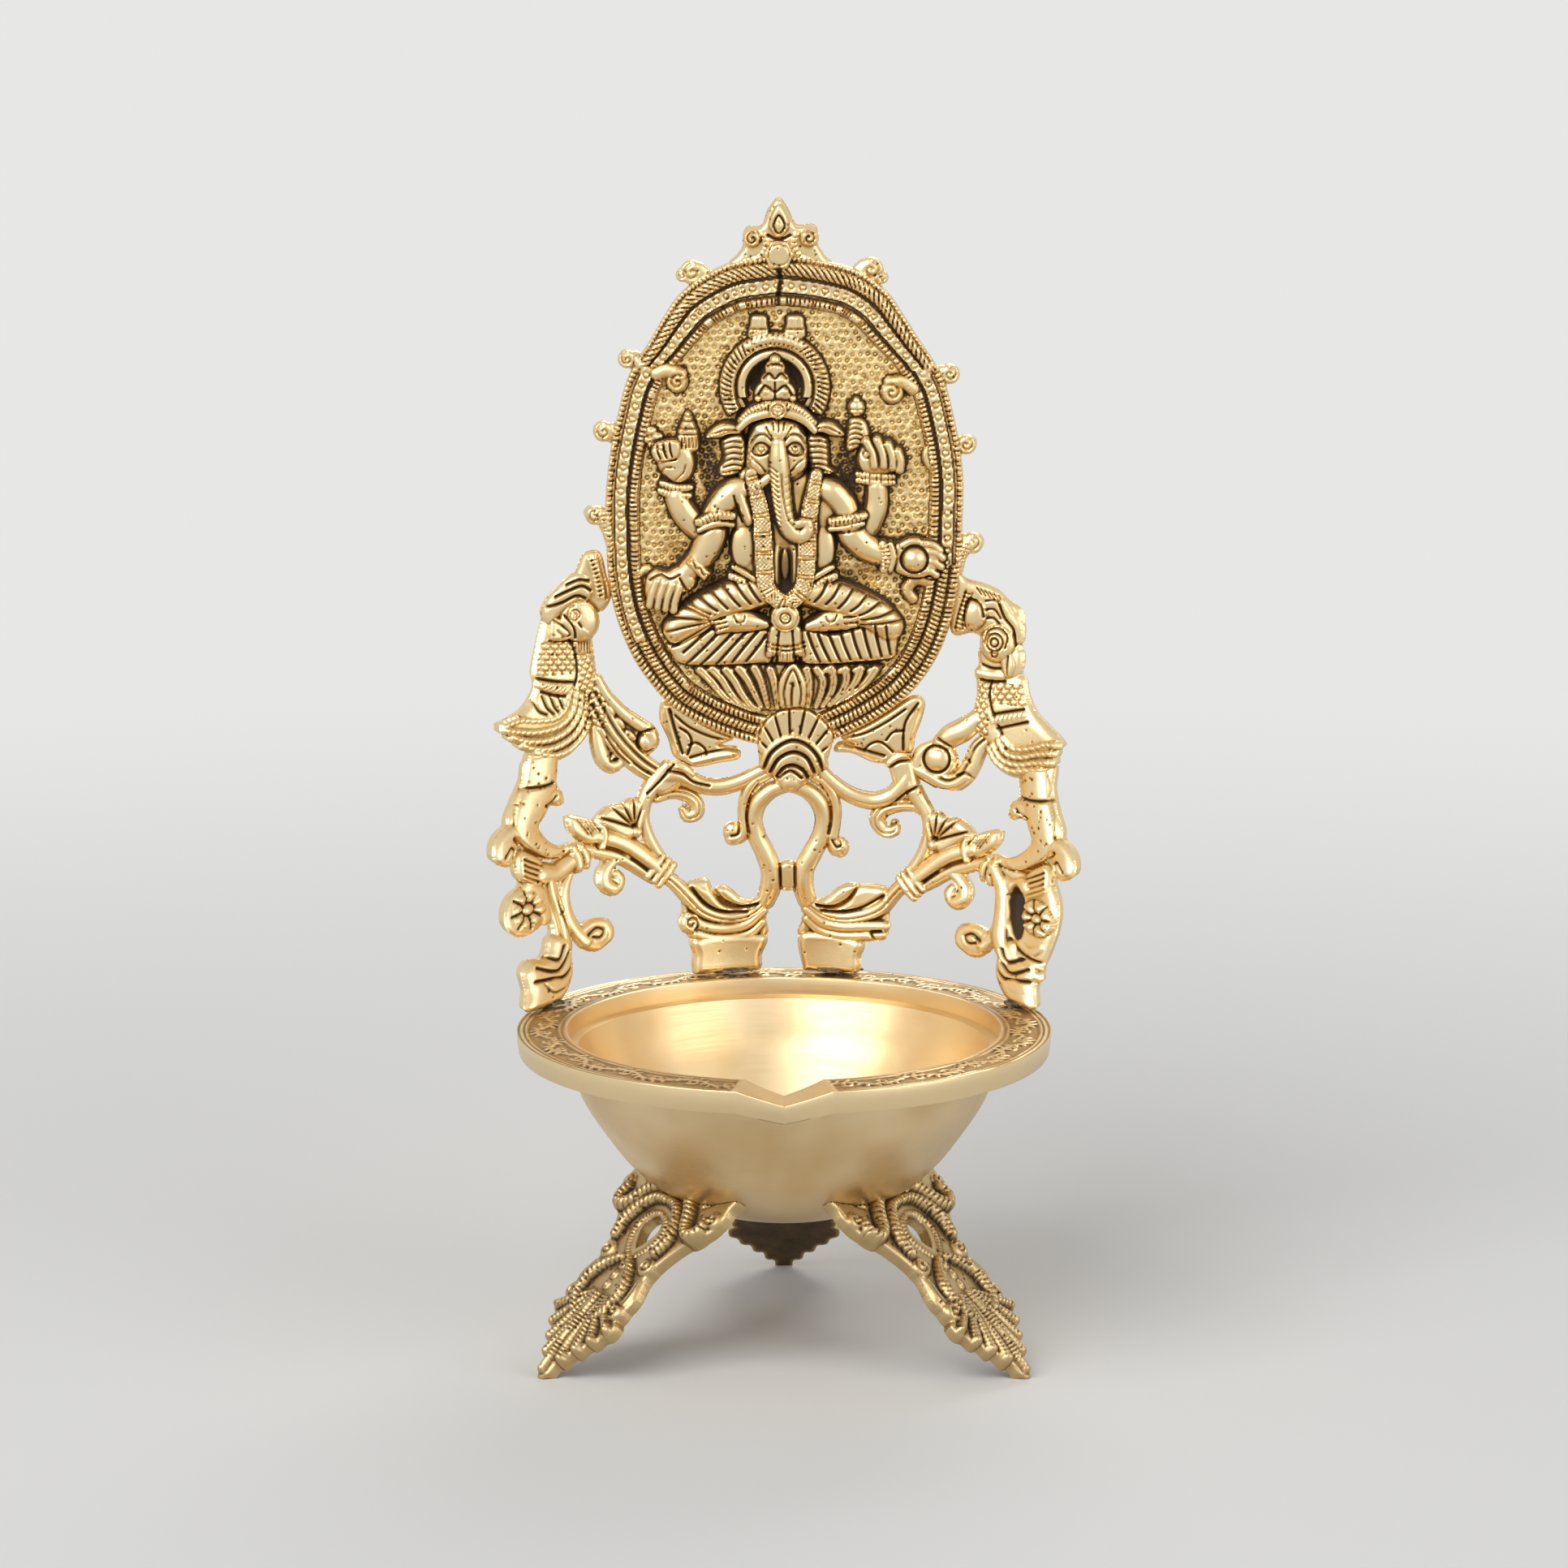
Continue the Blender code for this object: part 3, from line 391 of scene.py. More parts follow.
def ring(sheet, x, z, radius, width=0.35, tall=0.4):
    away = np.hypot(sheet["x"] - x, sheet["z"] - z)
    sheet["top"] += tall * np.exp(-((away - radius) / width) ** 2)


def spiral(sheet, x, z, radius, turns, width, depth, turn=0.0, way=1):
    # a groove that winds in to a curl's middle
    steps = int(18 * turns)
    points = []
    for number in range(steps):
        share = number / (steps - 1)
        angle = math.radians(turn) + way * share * turns * 2 * math.pi
        reach = radius * (1 - 0.82 * share)
        points.append((x + reach * math.cos(angle), z + reach * math.sin(angle)))
    groove(sheet, points, width, depth)


def curl(sheet, x, z, radius, tall, turn=0.0, way=1, lift=0.6):
    # the rolled end of a leaf or stem
    boss(sheet, x, z, (radius, radius), tall, lift, crown=3)
    spiral(sheet, x, z, radius * 0.72, 1.1, radius * 0.13, tall * 0.42, turn, way)


def scales(sheet, own, pitch, turn, depth=0.45, x=0.0, z=0.0):
    # rows of overlapping scales, opening downwards before they are turned
    turn = math.radians(turn)
    dx, dz = sheet["x"] - x, sheet["z"] - z
    u = (dx * math.cos(turn) + dz * math.sin(turn)) / pitch
    v = (-dx * math.sin(turn) + dz * math.cos(turn)) / pitch
    v = v / 0.6
    row = np.floor(v)
    inX = np.mod(u + 0.5 * np.mod(row, 2), 1) - 0.5
    arc = np.hypot(inX, 0.6 * (v - row) - 0.52) - 0.47
    cut = np.exp(-(arc * pitch / 0.24) ** 2)
    sheet["top"] -= np.where(own, depth * cut, 0)


def punch(sheet, own, pitch, radius, depth, seed):
    # dots punched in the ground, a little out of line, as by hand
    chance = np.random.RandomState(seed)
    x, z, cell = sheet["x"], sheet["z"], sheet["cell"]
    rows = np.arange(z.min(), z.max(), pitch * 0.87)
    size = int(radius * 2.6 / cell) + 1
    for number, rowZ in enumerate(rows):
        for dotX in np.arange(x.min(), x.max(), pitch) + 0.5 * pitch * (number % 2):
            spotX = dotX + chance.uniform(-0.2, 0.2) * pitch
            spotZ = rowZ + chance.uniform(-0.2, 0.2) * pitch
            deep = depth * chance.uniform(0.5, 1.1)
            i = int(round((spotX - x[0, 0]) / cell))
            j = int(round((spotZ - z[0, 0]) / cell))
            if not (size < i < x.shape[0] - size and size < j < x.shape[1] - size):
                continue
            if not own[i, j]:
                continue
            window = (slice(i - size, i + size + 1), slice(j - size, j + size + 1))
            away = np.hypot(x[window] - spotX, z[window] - spotZ)
            hole = np.exp(-((away - radius) / (0.55 * radius)) ** 2)
            sheet["top"][window] -= deep * hole
            sheet["stainAndShade"][window] = np.maximum(sheet["stainAndShade"][window], 0.2 * hole)


def lumpy(sheet, seed, tall=0.12, size=3.0):
    # the unevenness of a hand-finished casting
    chance = np.random.RandomState(seed)
    x, z = sheet["x"], sheet["z"]
    wave = np.zeros(x.shape)
    for number in range(14):
        turn = chance.uniform(0, math.pi)
        length = size * chance.uniform(0.6, 2.2)
        wave += np.sin((x * math.cos(turn) + z * math.sin(turn)) / length + chance.uniform(0, 6))
    sheet["top"] += np.where(sheet["edge"] < 0, tall * wave / 4, 0)


def pit(sheet, seed, count, depth=0.4):
    # small casting pits
    chance = np.random.RandomState(seed)
    spots = np.argwhere(sheet["edge"] < -0.8)
    if not len(spots):
        return
    x, z = sheet["x"], sheet["z"]
    for number in range(count):
        i, j = spots[chance.randint(len(spots))]
        radius = chance.uniform(0.18, 0.42)
        window = (slice(max(i - 3, 0), i + 4), slice(max(j - 3, 0), j + 4))
        away = np.hypot(x[window] - x[i, j], z[window] - z[i, j])
        hole = np.exp(-(away / radius) ** 2)
        sheet["top"][window] -= depth * chance.uniform(0.4, 1) * hole
        sheet["stainAndShade"][window] = np.maximum(sheet["stainAndShade"][window], 0.7 * hole)


def blur(values, size):
    for axis in (0, 1):
        for turn in range(2):
            total = np.cumsum(np.pad(values, [(size + 1, size) if k == axis else (0, 0) for k in (0, 1)],
                                     mode="edge"), axis=axis)
            low = [slice(None), slice(None)]
            high = [slice(None), slice(None)]
            low[axis] = slice(0, values.shape[axis])
            high[axis] = slice(2 * size + 1, 2 * size + 1 + values.shape[axis])
            values = (total[tuple(high)] - total[tuple(low)]) / (2 * size + 1)
    return values


# slope and slopeFrom set the painted shade on steep flanks; fine and wide darken hollows with dirt and painted
# shade; edgeBright is wear
wearAndShade = {"least": 0.07, "most": 0.9, "fine": 1.35, "fineSize": 0.6, "wide": 0.2, "wideSize": 2.2,
        "slope": 0.16, "slopeFrom": 0.35, "edgeBright": 0.92, "edgeWidth": 1.5, "outsideDrop": 0.9}


def findDirtAndShade(sheet):
    # crevices and the ground beside higher castings darken, partly as dirt and partly as painted shade; steep
    # slopes are painted darker than tops, as shade; outer edges are worn bright
    inside = sheet["edge"] < 0
    around = sheet.get("around", np.full(inside.shape, -9.0))
    covered = around > -5
    outside = np.where(covered, np.maximum(around, sheet["lip"]), sheet["lip"] - wearAndShade["outsideDrop"])
    top = np.maximum(np.where(inside, sheet["top"], outside), around)
    fine = blur(top, max(int(wearAndShade["fineSize"] / sheet["cell"]), 1)) - sheet["top"]
    wide = blur(top, int(wearAndShade["wideSize"] / sheet["cell"])) - sheet["top"]
    # painted shade: steep flanks are made darker than the tops
    steep = np.hypot(*np.gradient(np.where(inside, sheet["top"], sheet["lip"]))) / sheet["cell"]
    dirtAndShade = (wearAndShade["least"] + wearAndShade["fine"] * fine + wearAndShade["wide"] * np.clip(wide, 0, 1.5)
            + wearAndShade["slope"] * np.clip(steep - wearAndShade["slopeFrom"], 0, 1.2))
    worn = np.where(covered, 0, np.clip(1 + sheet["edge"] / wearAndShade["edgeWidth"], 0, 1))
    return np.clip(np.clip(dirtAndShade, 0, wearAndShade["most"]) * (1 - wearAndShade["edgeBright"] * worn) + sheet["stainAndShade"], 0, 1)


# From the drawing to the lamp: the plate stands on the back of the rim, and its wings curve forward
curve = {"planeInset": 0.005, "footInset": 0.004, "outerFoot": 67.0, "flatMiddle": 50.0, "flatFrom": 108.0,
         "squeezeFrom": 76, "squeeze": 0.77}
platePlane = lamp["rimRadius"] - curve["planeInset"]
outerFoot = curve["outerFoot"] * across
outerFootBack = math.sqrt((lamp["rimRadius"] - curve["footInset"]) ** 2 - outerFoot ** 2)
bendRate = (platePlane - outerFootBack) / outerFoot ** 2
flatMiddle = curve["flatMiddle"] * across
flatFrom = curve["flatFrom"] * up


def onPlate(x, depth, z):
    # depth is towards the viewer; what reaches past the rim is squeezed a little towards it
    within = np.clip(x, -curve["squeezeFrom"], curve["squeezeFrom"])
    x = within + curve["squeeze"] * (x - within)
    x, depth, z = x * across, depth * across, z * up
    beyond = np.maximum(np.abs(x) - flatMiddle * np.clip(z / flatFrom, 0, 1), 0)
    slope = 2 * bendRate * beyond
    stretch = np.sqrt(1 + slope * slope)
    return np.stack([x - np.sign(x) * depth * slope / stretch,
                     platePlane - bendRate * beyond ** 2 - depth / stretch,
                     lamp["rimTop"] + z], axis=-1)


sharpAngle = math.radians(50)


def coverBack(spots, edges, used):
    # triangles across the open back, whose rim is given in steps of the sheet; holes stay open
    ends, numbers = np.unique(edges, return_inverse=True)
    pairs = [tuple(pair) for pair in numbers.reshape(-1, 2).tolist()]
    found = delaunay_2d_cdt([Vector(spot) for spot in spots[ends].tolist()], pairs, [], 0, 0.0001)
    places = np.array([origin[0] for origin in found[3]])
    corners = ends[places[np.array([list(face) for face in found[2]])]]
    i, j = np.floor(spots[corners].mean(axis=1)).astype(int).T
    return corners[used[i, j]]


def toMesh(name, spots, faces, dirtAndShade, material, nodes, caps=None):
    caps = np.zeros((0, 3), dtype=int) if caps is None else caps
    corners = np.concatenate([faces.ravel(), caps.ravel()])
    used, corners = np.unique(corners, return_inverse=True)
    starts = np.concatenate([np.arange(len(faces)) * 4, faces.size + np.arange(len(caps)) * 3])
    mesh = bpy.data.meshes.new(name)
    mesh.vertices.add(len(used))
    mesh.vertices.foreach_set("co", spots[used].astype(np.float32).ravel())
    mesh.loops.add(len(corners))
    mesh.loops.foreach_set("vertex_index", corners.astype(np.int32).ravel())
    mesh.polygons.add(len(starts))
    mesh.polygons.foreach_set("loop_start", starts.astype(np.int32))
    mesh.update(calc_edges=True)
    mesh.attributes.new("dirtAndShade", "FLOAT", "POINT").data.foreach_set("value", dirtAndShade[used].astype(np.float32))
    thing = bpy.data.objects.new(name, mesh)
    bpy.context.scene.collection.objects.link(thing)
    mesh.shade_smooth()
    mesh.set_sharp_from_angle(angle=sharpAngle)
    mesh.materials.append(material)
    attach(thing, "root")
    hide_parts(*nodes)
    print(name, "triangles", 2 * len(faces) + len(caps))
    return thing


casting = {"edgeReach": 1.6, "insetWidth": 1.6, "leastThick": 0.8, "rearShadeLeast": 0.15,
           "rearShadeWidth": 1.5}


def castSheet(sheet, name, nodes, back, place=onPlate, material=castBrass,
              flatBack=False, inset=0.0, rearShade=0.3):
    # keep the part of the sheet inside the outline, draw its border onto it, and give it a back
    edge = sheet["edge"]
    used = (np.minimum(np.minimum(edge[:-1, :-1], edge[1:, :-1]),
                       np.minimum(edge[:-1, 1:], edge[1:, 1:])) < 0)
    gradX, gradZ = np.gradient(edge, sheet["cell"])
    steep = np.maximum(np.hypot(gradX, gradZ), 0.3)
    pull = np.clip(edge, 0, casting["edgeReach"] * sheet["cell"])
    x = sheet["x"] - pull * gradX / steep
    z = sheet["z"] - pull * gradZ / steep
    pull = pull + inset * np.clip(1 + np.minimum(edge, 0) / casting["insetWidth"], 0, 1)
    backX = sheet["x"] - pull * gradX / steep
    backZ = sheet["z"] - pull * gradZ / steep
    top = np.where(edge < 0, np.maximum(sheet["top"], back + casting["leastThick"]), sheet["lip"])
    dirtAndShade = findDirtAndShade(sheet)
    corner = np.zeros(edge.shape, dtype=bool)
    corner[:-1, :-1] |= used
    corner[1:, :-1] |= used
    corner[:-1, 1:] |= used
    corner[1:, 1:] |= used
    index = np.full(edge.shape, -1)
    index[corner] = np.arange(corner.sum())
    count = corner.sum()
    i, j = np.nonzero(used)
    front = np.stack([index[i, j], index[i + 1, j], index[i + 1, j + 1], index[i, j + 1]], axis=1)
    rear = front[:, ::-1] + count
    padded = np.pad(used, 1)
    walls, rim = [], []
    for (di, dj), first, second in (((0, -1), 0, 1), ((1, 0), 1, 2), ((0, 1), 2, 3), ((-1, 0), 3, 0)):
        bare = ~padded[i + 1 + di, j + 1 + dj]
        a, b = front[bare, first], front[bare, second]
        walls.append(np.stack([b, a, a + count, b + count], axis=1))
        rim.append(np.stack([a, b], axis=1))
    caps = None
    if flatBack:
        caps = coverBack(np.argwhere(corner), np.concatenate(rim), used)[:, ::-1] + count
    faces = np.concatenate([front] + walls + ([] if flatBack else [rear]))
    spots = np.concatenate([place(x[corner], top[corner], z[corner]),
                            place(backX[corner], np.full(count, back), backZ[corner])])
    # painted shade: the backs are darkened, and the walls with them, least at the outline and fully a little
    # inside it
    least = casting["rearShadeLeast"]
    rearShades = rearShade * np.clip(least - edge[corner] / casting["rearShadeWidth"], least, 1)
    dirtAndShadePerVertex = np.concatenate([dirtAndShade[corner], rearShades])
    return toMesh(name, spots, faces, dirtAndShadePerVertex, material, nodes, caps=caps)


# Bowl, turned as one closed wall from the middle of its bottom round its edge and back inside
bowl = {"steps": 360, "wall": 0.004, "neck": 0.0135, "depth": 0.0535, "taper": 0.0005,
        "spoutAngle": math.radians(10), "spoutDip": 0.0025, "spoutFall": 0.022,
        "spoutNotch": 0.0075, "seam": 0.0011}
wallShares = [(1.0, 0.0), (0.962, 0.13), (0.912, 0.29), (0.82, 0.48), (0.712, 0.667),
              (0.56, 0.84), (0.384, 0.95), (0.2, 0.99), (0.0, 1.0)]


def bowlWall():
    top = lamp["rimTop"] - lamp["rimBand"] - bowl["taper"]
    radius = lamp["rimRadius"] - bowl["neck"]
    fall = top - (lamp["rimTop"] - bowl["depth"])
    points = [(radius * share * 1000, (top - fall * drop) * 1000) for share, drop in wallShares]
    return smoothLine(points, step=1.6)[:, :2] / 1000


def bowlInside(wall):
    along = np.gradient(wall, axis=0)
    along /= np.linalg.norm(along, axis=1)[:, None]
    inside = wall + np.stack([along[:, 1], -along[:, 0]], axis=1) * bowl["wall"]
    inside[-1] = (0, wall[-1, 1] + bowl["wall"])
    opening = lamp["rimRadius"] - lamp["rimWidth"]
    return inside[inside[:, 0] < opening - 0.0006]


def spoutMove(spots):
    # pinches the front of the rim into a pouring lip with a V-shaped floor
    radius = np.hypot(spots[:, 0], spots[:, 1])
    turn = np.arctan2(spots[:, 0], -spots[:, 1])
    share = np.clip(1 - np.abs(turn) / bowl["spoutAngle"], 0, 1)
    fall = np.clip(1 - (lamp["rimTop"] - spots[:, 2]) / bowl["spoutFall"], 0, 1)
    reach = lamp["spoutTip"] - lamp["rimRadius"]
    edge = np.clip((lamp["rimRadius"] - radius) / lamp["rimWidth"], 0, 1)
    out = reach + (bowl["spoutNotch"] - reach) * edge
    band = 1 - 0.6 * lamp["rimBand"] / bowl["spoutFall"]
    out = np.where(fall < band, reach * fall, out) * share
    moved = spots.copy()
    moved[:, 0] += out * np.sin(turn)
    moved[:, 1] -= out * np.cos(turn)
    moved[:, 2] -= share * bowl["spoutDip"] * fall
    return moved


def moveMesh(mesh, change):
    spots = np.empty(len(mesh.vertices) * 3, dtype=np.float32)
    mesh.vertices.foreach_get("co", spots)
    mesh.vertices.foreach_set("co", change(spots.reshape(-1, 3).astype(float)).astype(np.float32).ravel())
    mesh.update()


def turnProfile(name, profile):
    # a circle, then extruded and resized from ring to ring, with both ends filled
    bpy.ops.object.select_all(action="DESELECT")
    first = profile[0]
    bpy.ops.mesh.primitive_circle_add(vertices=bowl["steps"], radius=first[0], fill_type="NGON",
                                      location=(0, 0, first[1]))
    thing = bpy.context.object
    thing.name = name
    bpy.ops.object.mode_set(mode="EDIT")
    bpy.ops.mesh.select_mode(type="EDGE")
    for before, after in zip(profile[:-1], profile[1:]):
        bpy.ops.mesh.extrude_edges_move(TRANSFORM_OT_translate={"value": (0, 0, after[1] - before[1])})
        factor = after[0] / before[0]
        bpy.ops.transform.resize(value=(factor, factor, 1), center_override=(0, 0, after[1]))
    bpy.ops.mesh.edge_face_add()
    bpy.ops.mesh.select_all(action="SELECT")
    bpy.ops.mesh.normals_make_consistent(inside=False)
    bpy.ops.object.mode_set(mode="OBJECT")
    bpy.ops.object.transform_apply(location=True, rotation=True, scale=True)
    return thing


def makeBowl():
    wall = bowlWall()
    inside = bowlInside(wall)
    opening = lamp["rimRadius"] - lamp["rimWidth"]
    top, soft = lamp["rimTop"] - 0.0001, 0.0004
    lip = [(opening, inside[0][1] + 0.0006), (opening, top - soft), (opening + 0.3 * soft, top - 0.3 * soft),
           (opening + soft, top), (opening + bowl["seam"], top - 0.00005),
           (opening + bowl["seam"], lamp["rimTop"] - lamp["rimBand"] - 0.0002)]
    profile = [(0.0004, wall[-1][1])] + [tuple(spot) for spot in wall[-2::-1]] + lip[::-1]
    profile += [tuple(spot) for spot in inside[:-1]] + [(0.0004, inside[-1][1])]
    thing = turnProfile("bowlShell", profile)
    moveMesh(thing.data, spoutMove)
    bpy.ops.object.shade_smooth_by_angle(angle=math.radians(40))
    thing.data.materials.append(bowlBrass)
    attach(thing, "root")
    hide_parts("bowl")
    print("bowl turned")


makeBowl()

# Rim, with a vine engraved round its flat top
rim = {"repeats": 20, "columns": 60, "rows": 38, "base": -0.55, "vineRadius": 69, "margin": 0.6,
       "wornWaves": 9, "nicks": 260, "relief": 0.9}


def rimTile():
    # one repeat of the vine, drawn with its inner edge at zero
    long = 2 * math.pi * rim["vineRadius"] / rim["repeats"]
    width = lamp["rimWidth"] * 1000 - bowl["seam"] * 1000
    step = long / rim["columns"]
    tile = newSheet((-long, -rim["margin"]), (2 * long, width + rim["margin"]), step)
    tile["edge"][:] = -1
    tile["top"][:] = rim["base"]
    for level, wide, tall in ((width - 1.2, 0.42, 0.5), (width - 2.5, 0.36, 0.46), (1.1, 0.42, 0.46)):
        ridge(tile, [(-long, level), (2 * long, level)], wide, tall)
    groove(tile, [(-long, width - 1.85), (2 * long, width - 1.85)], 0.2, 0.12)
    for number in (-1, 0, 1):
        x = number * long
        half = long / 2
        ridge(tile, [(x, 5.6), (x + 0.25 * half, 7.2), (x + 0.7 * half, 7.6), (x + half, 6.0),
                     (x + 1.3 * half, 4.2), (x + 1.75 * half, 3.9), (x + long, 5.6)], 0.62, 0.55)
        for base, way in ((x + 0.45 * half, 1), (x + 1.5 * half, -1)):
            z = 5.7 + way * 0.2
            spots = [(0, 1.7), (1.6, 2.0), (2.7, 0.9), (2.4, -0.6), (1.1, -1.2), (0.1, -0.4), (0.7, 0.5)]
            ridge(tile, [(base + dx, z - way * dz * 0.9) for dx, dz in spots], 0.46, 0.52)
            for dx, dz, tx, tz in ((-2.4, 1.8, -0.6, 3.6), (-3.4, 0.2, -3.9, 2.4), (3.4, 0.8, 4.8, 2.4),
                                   (4.0, -1.0, 5.6, -0.4), (1.2, 2.4, 2.6, 3.8)):
                ridge(tile, [(base + dx, z + way * dz), (base + 0.5 * (dx + tx) + 0.3, z + way * (dz + tz) / 2),
                             (base + tx, z + way * tz)], 0.5, 0.5)
    keep = slice(rim["columns"], 2 * rim["columns"])
    levels = np.linspace(0, width, rim["rows"])
    rows = tile["z"][0]
    heights = np.stack([np.interp(levels, rows, column) for column in tile["top"][keep]])
    return np.clip(heights, rim["base"] - 0.15, -0.02), levels


def makeRim():
    tile, levels = rimTile()
    heights = np.tile(tile, (rim["repeats"], 1))
    count = len(heights)
    turn = np.arange(count) / count * 2 * math.pi
    chance = np.random.RandomState(7)
    worn = np.ones(count)
    for number in range(rim["wornWaves"]):
        worn += 0.1 * np.sin(turn * chance.randint(2, 23) + chance.uniform(0, 6))
    away = np.abs(np.mod(turn + math.pi, 2 * math.pi) - math.pi)
    plain = np.clip((away - bowl["spoutAngle"] * 1.06) / 0.02, 0, 1)[:, None]
    relief = (heights - rim["base"]) * np.clip(worn, 0.5, 1.15)[:, None] * plain
    smoothTop = -0.06 - 0.4 * plain * np.clip((levels - 0.2) / 0.6, 0, 1)
    heights = np.minimum(smoothTop + relief * rim["relief"], -0.02)
    for number in range(rim["nicks"]):
        i, j = chance.randint(count), chance.randint(3, len(levels) - 3)
        heights[i, j] -= chance.uniform(0.1, 0.35)
    fine = heights - blur(heights, 2)
    dirtAndShade = np.clip(0.06 + (0.2 - 2.6 * fine) * plain, 0, 1)
    inner = lamp["rimRadius"] - lamp["rimWidth"] + bowl["seam"] + 0.00004
    outer = lamp["rimRadius"]
    radii = inner + levels[:-1] / levels[-1] * (outer - 0.0003 - inner)
    section = [(outer - 0.00012, -0.14), (outer, -0.42), (outer - 0.00015, -0.5 * lamp["rimBand"] * 1000),
               (outer - 0.0005, -0.93 * lamp["rimBand"] * 1000), (outer - 0.0008, -lamp["rimBand"] * 1000),
               (outer - 0.006, -lamp["rimBand"] * 1000), (inner, -lamp["rimBand"] * 1000)]
    radius = np.concatenate([radii, [spot[0] for spot in section]])
    rise = np.concatenate([heights[:, :-1], np.tile([spot[1] for spot in section], (count, 1))], axis=1)
    stainAndShade = np.concatenate([dirtAndShade[:, :-1], np.full((count, len(section)), 0.02)], axis=1)
    wide = len(radius)
    spots = np.stack([radius[None, :] * np.sin(turn)[:, None],
                      -radius[None, :] * np.cos(turn)[:, None],
                      lamp["rimTop"] + rise / 1000], axis=-1).reshape(-1, 3)
    i, j = np.meshgrid(np.arange(count), np.arange(wide), indexing="ij")
    i, j = i.ravel(), j.ravel()
    following, beside = (i + 1) % count, (j + 1) % wide
    faces = np.stack([i * wide + j, i * wide + beside, following * wide + beside, following * wide + j],
                     axis=1)[:, ::-1]
    toMesh("rimRing", spoutMove(spots), faces, stainAndShade.ravel(), rimBrass, ["bowl"])


makeRim()

# Legs, each drawn on its own slope from the foot up
# the legs' rear value is painted shade on their backs
leg = {"thick": 0.0045, "topRadius": 0.036, "topHeight": 0.048, "lift": 0.5, "cell": 0.4, "back": -2.1,
       "bowlGap": 0.2, "trimSlope": 0.7, "pits": 120, "uneven": 0.16, "rearShade": 0.6}


def drawLeg():
    sheet = newSheet((-32, -5), (32, 78), leg["cell"])
    half = [(0.6, -1), (2.4, 1.4), (2.9, 5), (5.4, 6), (6.3, 9.6), (9, 10.4), (10, 13.6), (12.8, 14.6),
            (13.8, 17.4), (16.2, 19), (16.4, 22.6), (14.4, 25), (15.6, 29.5), (15.4, 33), (13.9, 37.5),
            (14.2, 41.5), (16, 46), (19.6, 51.5), (24, 55.5), (27, 60), (27.4, 66), (24, 76)]
    outline = half + [(-x, z) for x, z in reversed(half)]
    plate(sheet, outline, 0.9, leg["lift"], soft=1.6, smooth=True)
    for side in (1, -1):
        def turned(points):
            return [(side * point[0], *point[1:]) for point in points]
        stem(sheet, turned([(2.5, 70, 2.2), (7.5, 66, 2.4), (12.5, 61.5, 2.4), (16.2, 56.6, 2.4),
                            (19.8, 54.6, 2.4), (22.6, 56.8, 2.2), (22.6, 60.2, 2.0)]), 1.5, 0.9,
             rope=(1.7, 0.6, 0.3))
        stem(sheet, turned([(1.5, 61.5, 1.7), (6, 60.6, 1.9), (10.2, 56.5, 2.2), (12.4, 51, 2.2),
                            (11.8, 46, 2.0)]), 1.5, 1.0, rope=(1.6, 0.6, 0.4))
        stem(sheet, turned([(0, 57.3, 1.1), (4.4, 55.6, 1.3), (6.6, 51, 1.3), (5, 46.3, 1.3),
                            (1.6, 42.2, 1.2)]), 0.9, 0.9, rope=(1.15, 0.5, 0))
        curl(sheet, side * 24.4, 61.8, 2.9, 1.6, 90, side, lift=0.9)
        curl(sheet, side * 11, 41.5, 3.3, 1.9, 120, -side, lift=0.9)
        stem(sheet, turned([(2.2, 41, 1.5), (6.2, 37.6, 1.8), (9.4, 32, 2.1), (9.2, 26, 2.0),
                            (6.4, 21.6, 1.7)]), 1.5, 1.0, rope=(1.6, 0.6, 0.5))
        stem(sheet, turned([(12.4, 36.5, 1.3), (13.4, 32, 1.7), (12.4, 27, 1.4)]), 0.9, 0.8,
             grooves=((0, 0.3, 0.5),))
        curl(sheet, side * 12, 26, 3.4, 2.0, 60, side, lift=0.9)
        for foot, bend in (((4, 7), 0.3), ((7.6, 11.4), 0.8), ((11.2, 15.6), 1.3), ((14.4, 20.4), 1.6)):
            middle = (foot[0] * 0.55 + bend, (foot[1] + 27) * 0.5)
            stem(sheet, turned([(1.4 + foot[0] * 0.14, 29, 0.8), (*middle, 1.6), (*foot, 1.7)]), 1.5, 0.9,
                 rope=(1.25, 0.5, 0.2))
        groove(sheet, turned([(16, 64), (20, 67), (21, 72)]), 0.5, 0.6)
    for level in (31.9, 35.6, 39.3):
        boss(sheet, 0, level, (1.7, 1.9), 1.5, 0.9)
        ring(sheet, 0, level, 0.9, 0.3, -0.35)
    stem(sheet, [(0, 29, 1.2), (0, 16, 2.0), (0, 2, 1.6)], 1.5, 1.0, rope=(1.25, 0.5, 0))
    plate(sheet, [(0, 61), (-3, 65), (-3.4, 70), (0, 76), (3.4, 70), (3, 65)], 1.2, 1.0, soft=2)
    groove(sheet, [(0, 61.5), (0, 76)], 0.45, 0.7)
    hole = [(0, 45.4), (2.6, 48.4), (3.9, 51.6), (2.9, 54.7), (0, 55.9), (-2.9, 54.7), (-3.9, 51.6),
            (-2.6, 48.4)]
    cut = newSheet((-32, -5), (32, 78), leg["cell"])
    plate(cut, hole, 1.0)
    sheet["edge"] = np.maximum(sheet["edge"], -cut["edge"])
    lumpy(sheet, 3, leg["uneven"])
    pit(sheet, 4, leg["pits"])
    return sheet


def legPlace(azimuth):
    run = lamp["footRadius"] - leg["topRadius"]
    lean = math.atan2(run, leg["topHeight"])
    half = leg["thick"] / 2
    turn = azimuth + math.pi / 2

    def place(x, depth, b):
        x, depth, b = x / 1000, depth / 1000, b / 1000
        y = -depth * math.cos(lean) + b * math.sin(lean) - lamp["footRadius"] + half / math.cos(lean)
        z = depth * math.sin(lean) + b * math.cos(lean)
        return np.stack([x * math.cos(turn) - y * math.sin(turn), x * math.sin(turn) + y * math.cos(turn),
                         np.maximum(z, 0)], axis=-1)
    return place


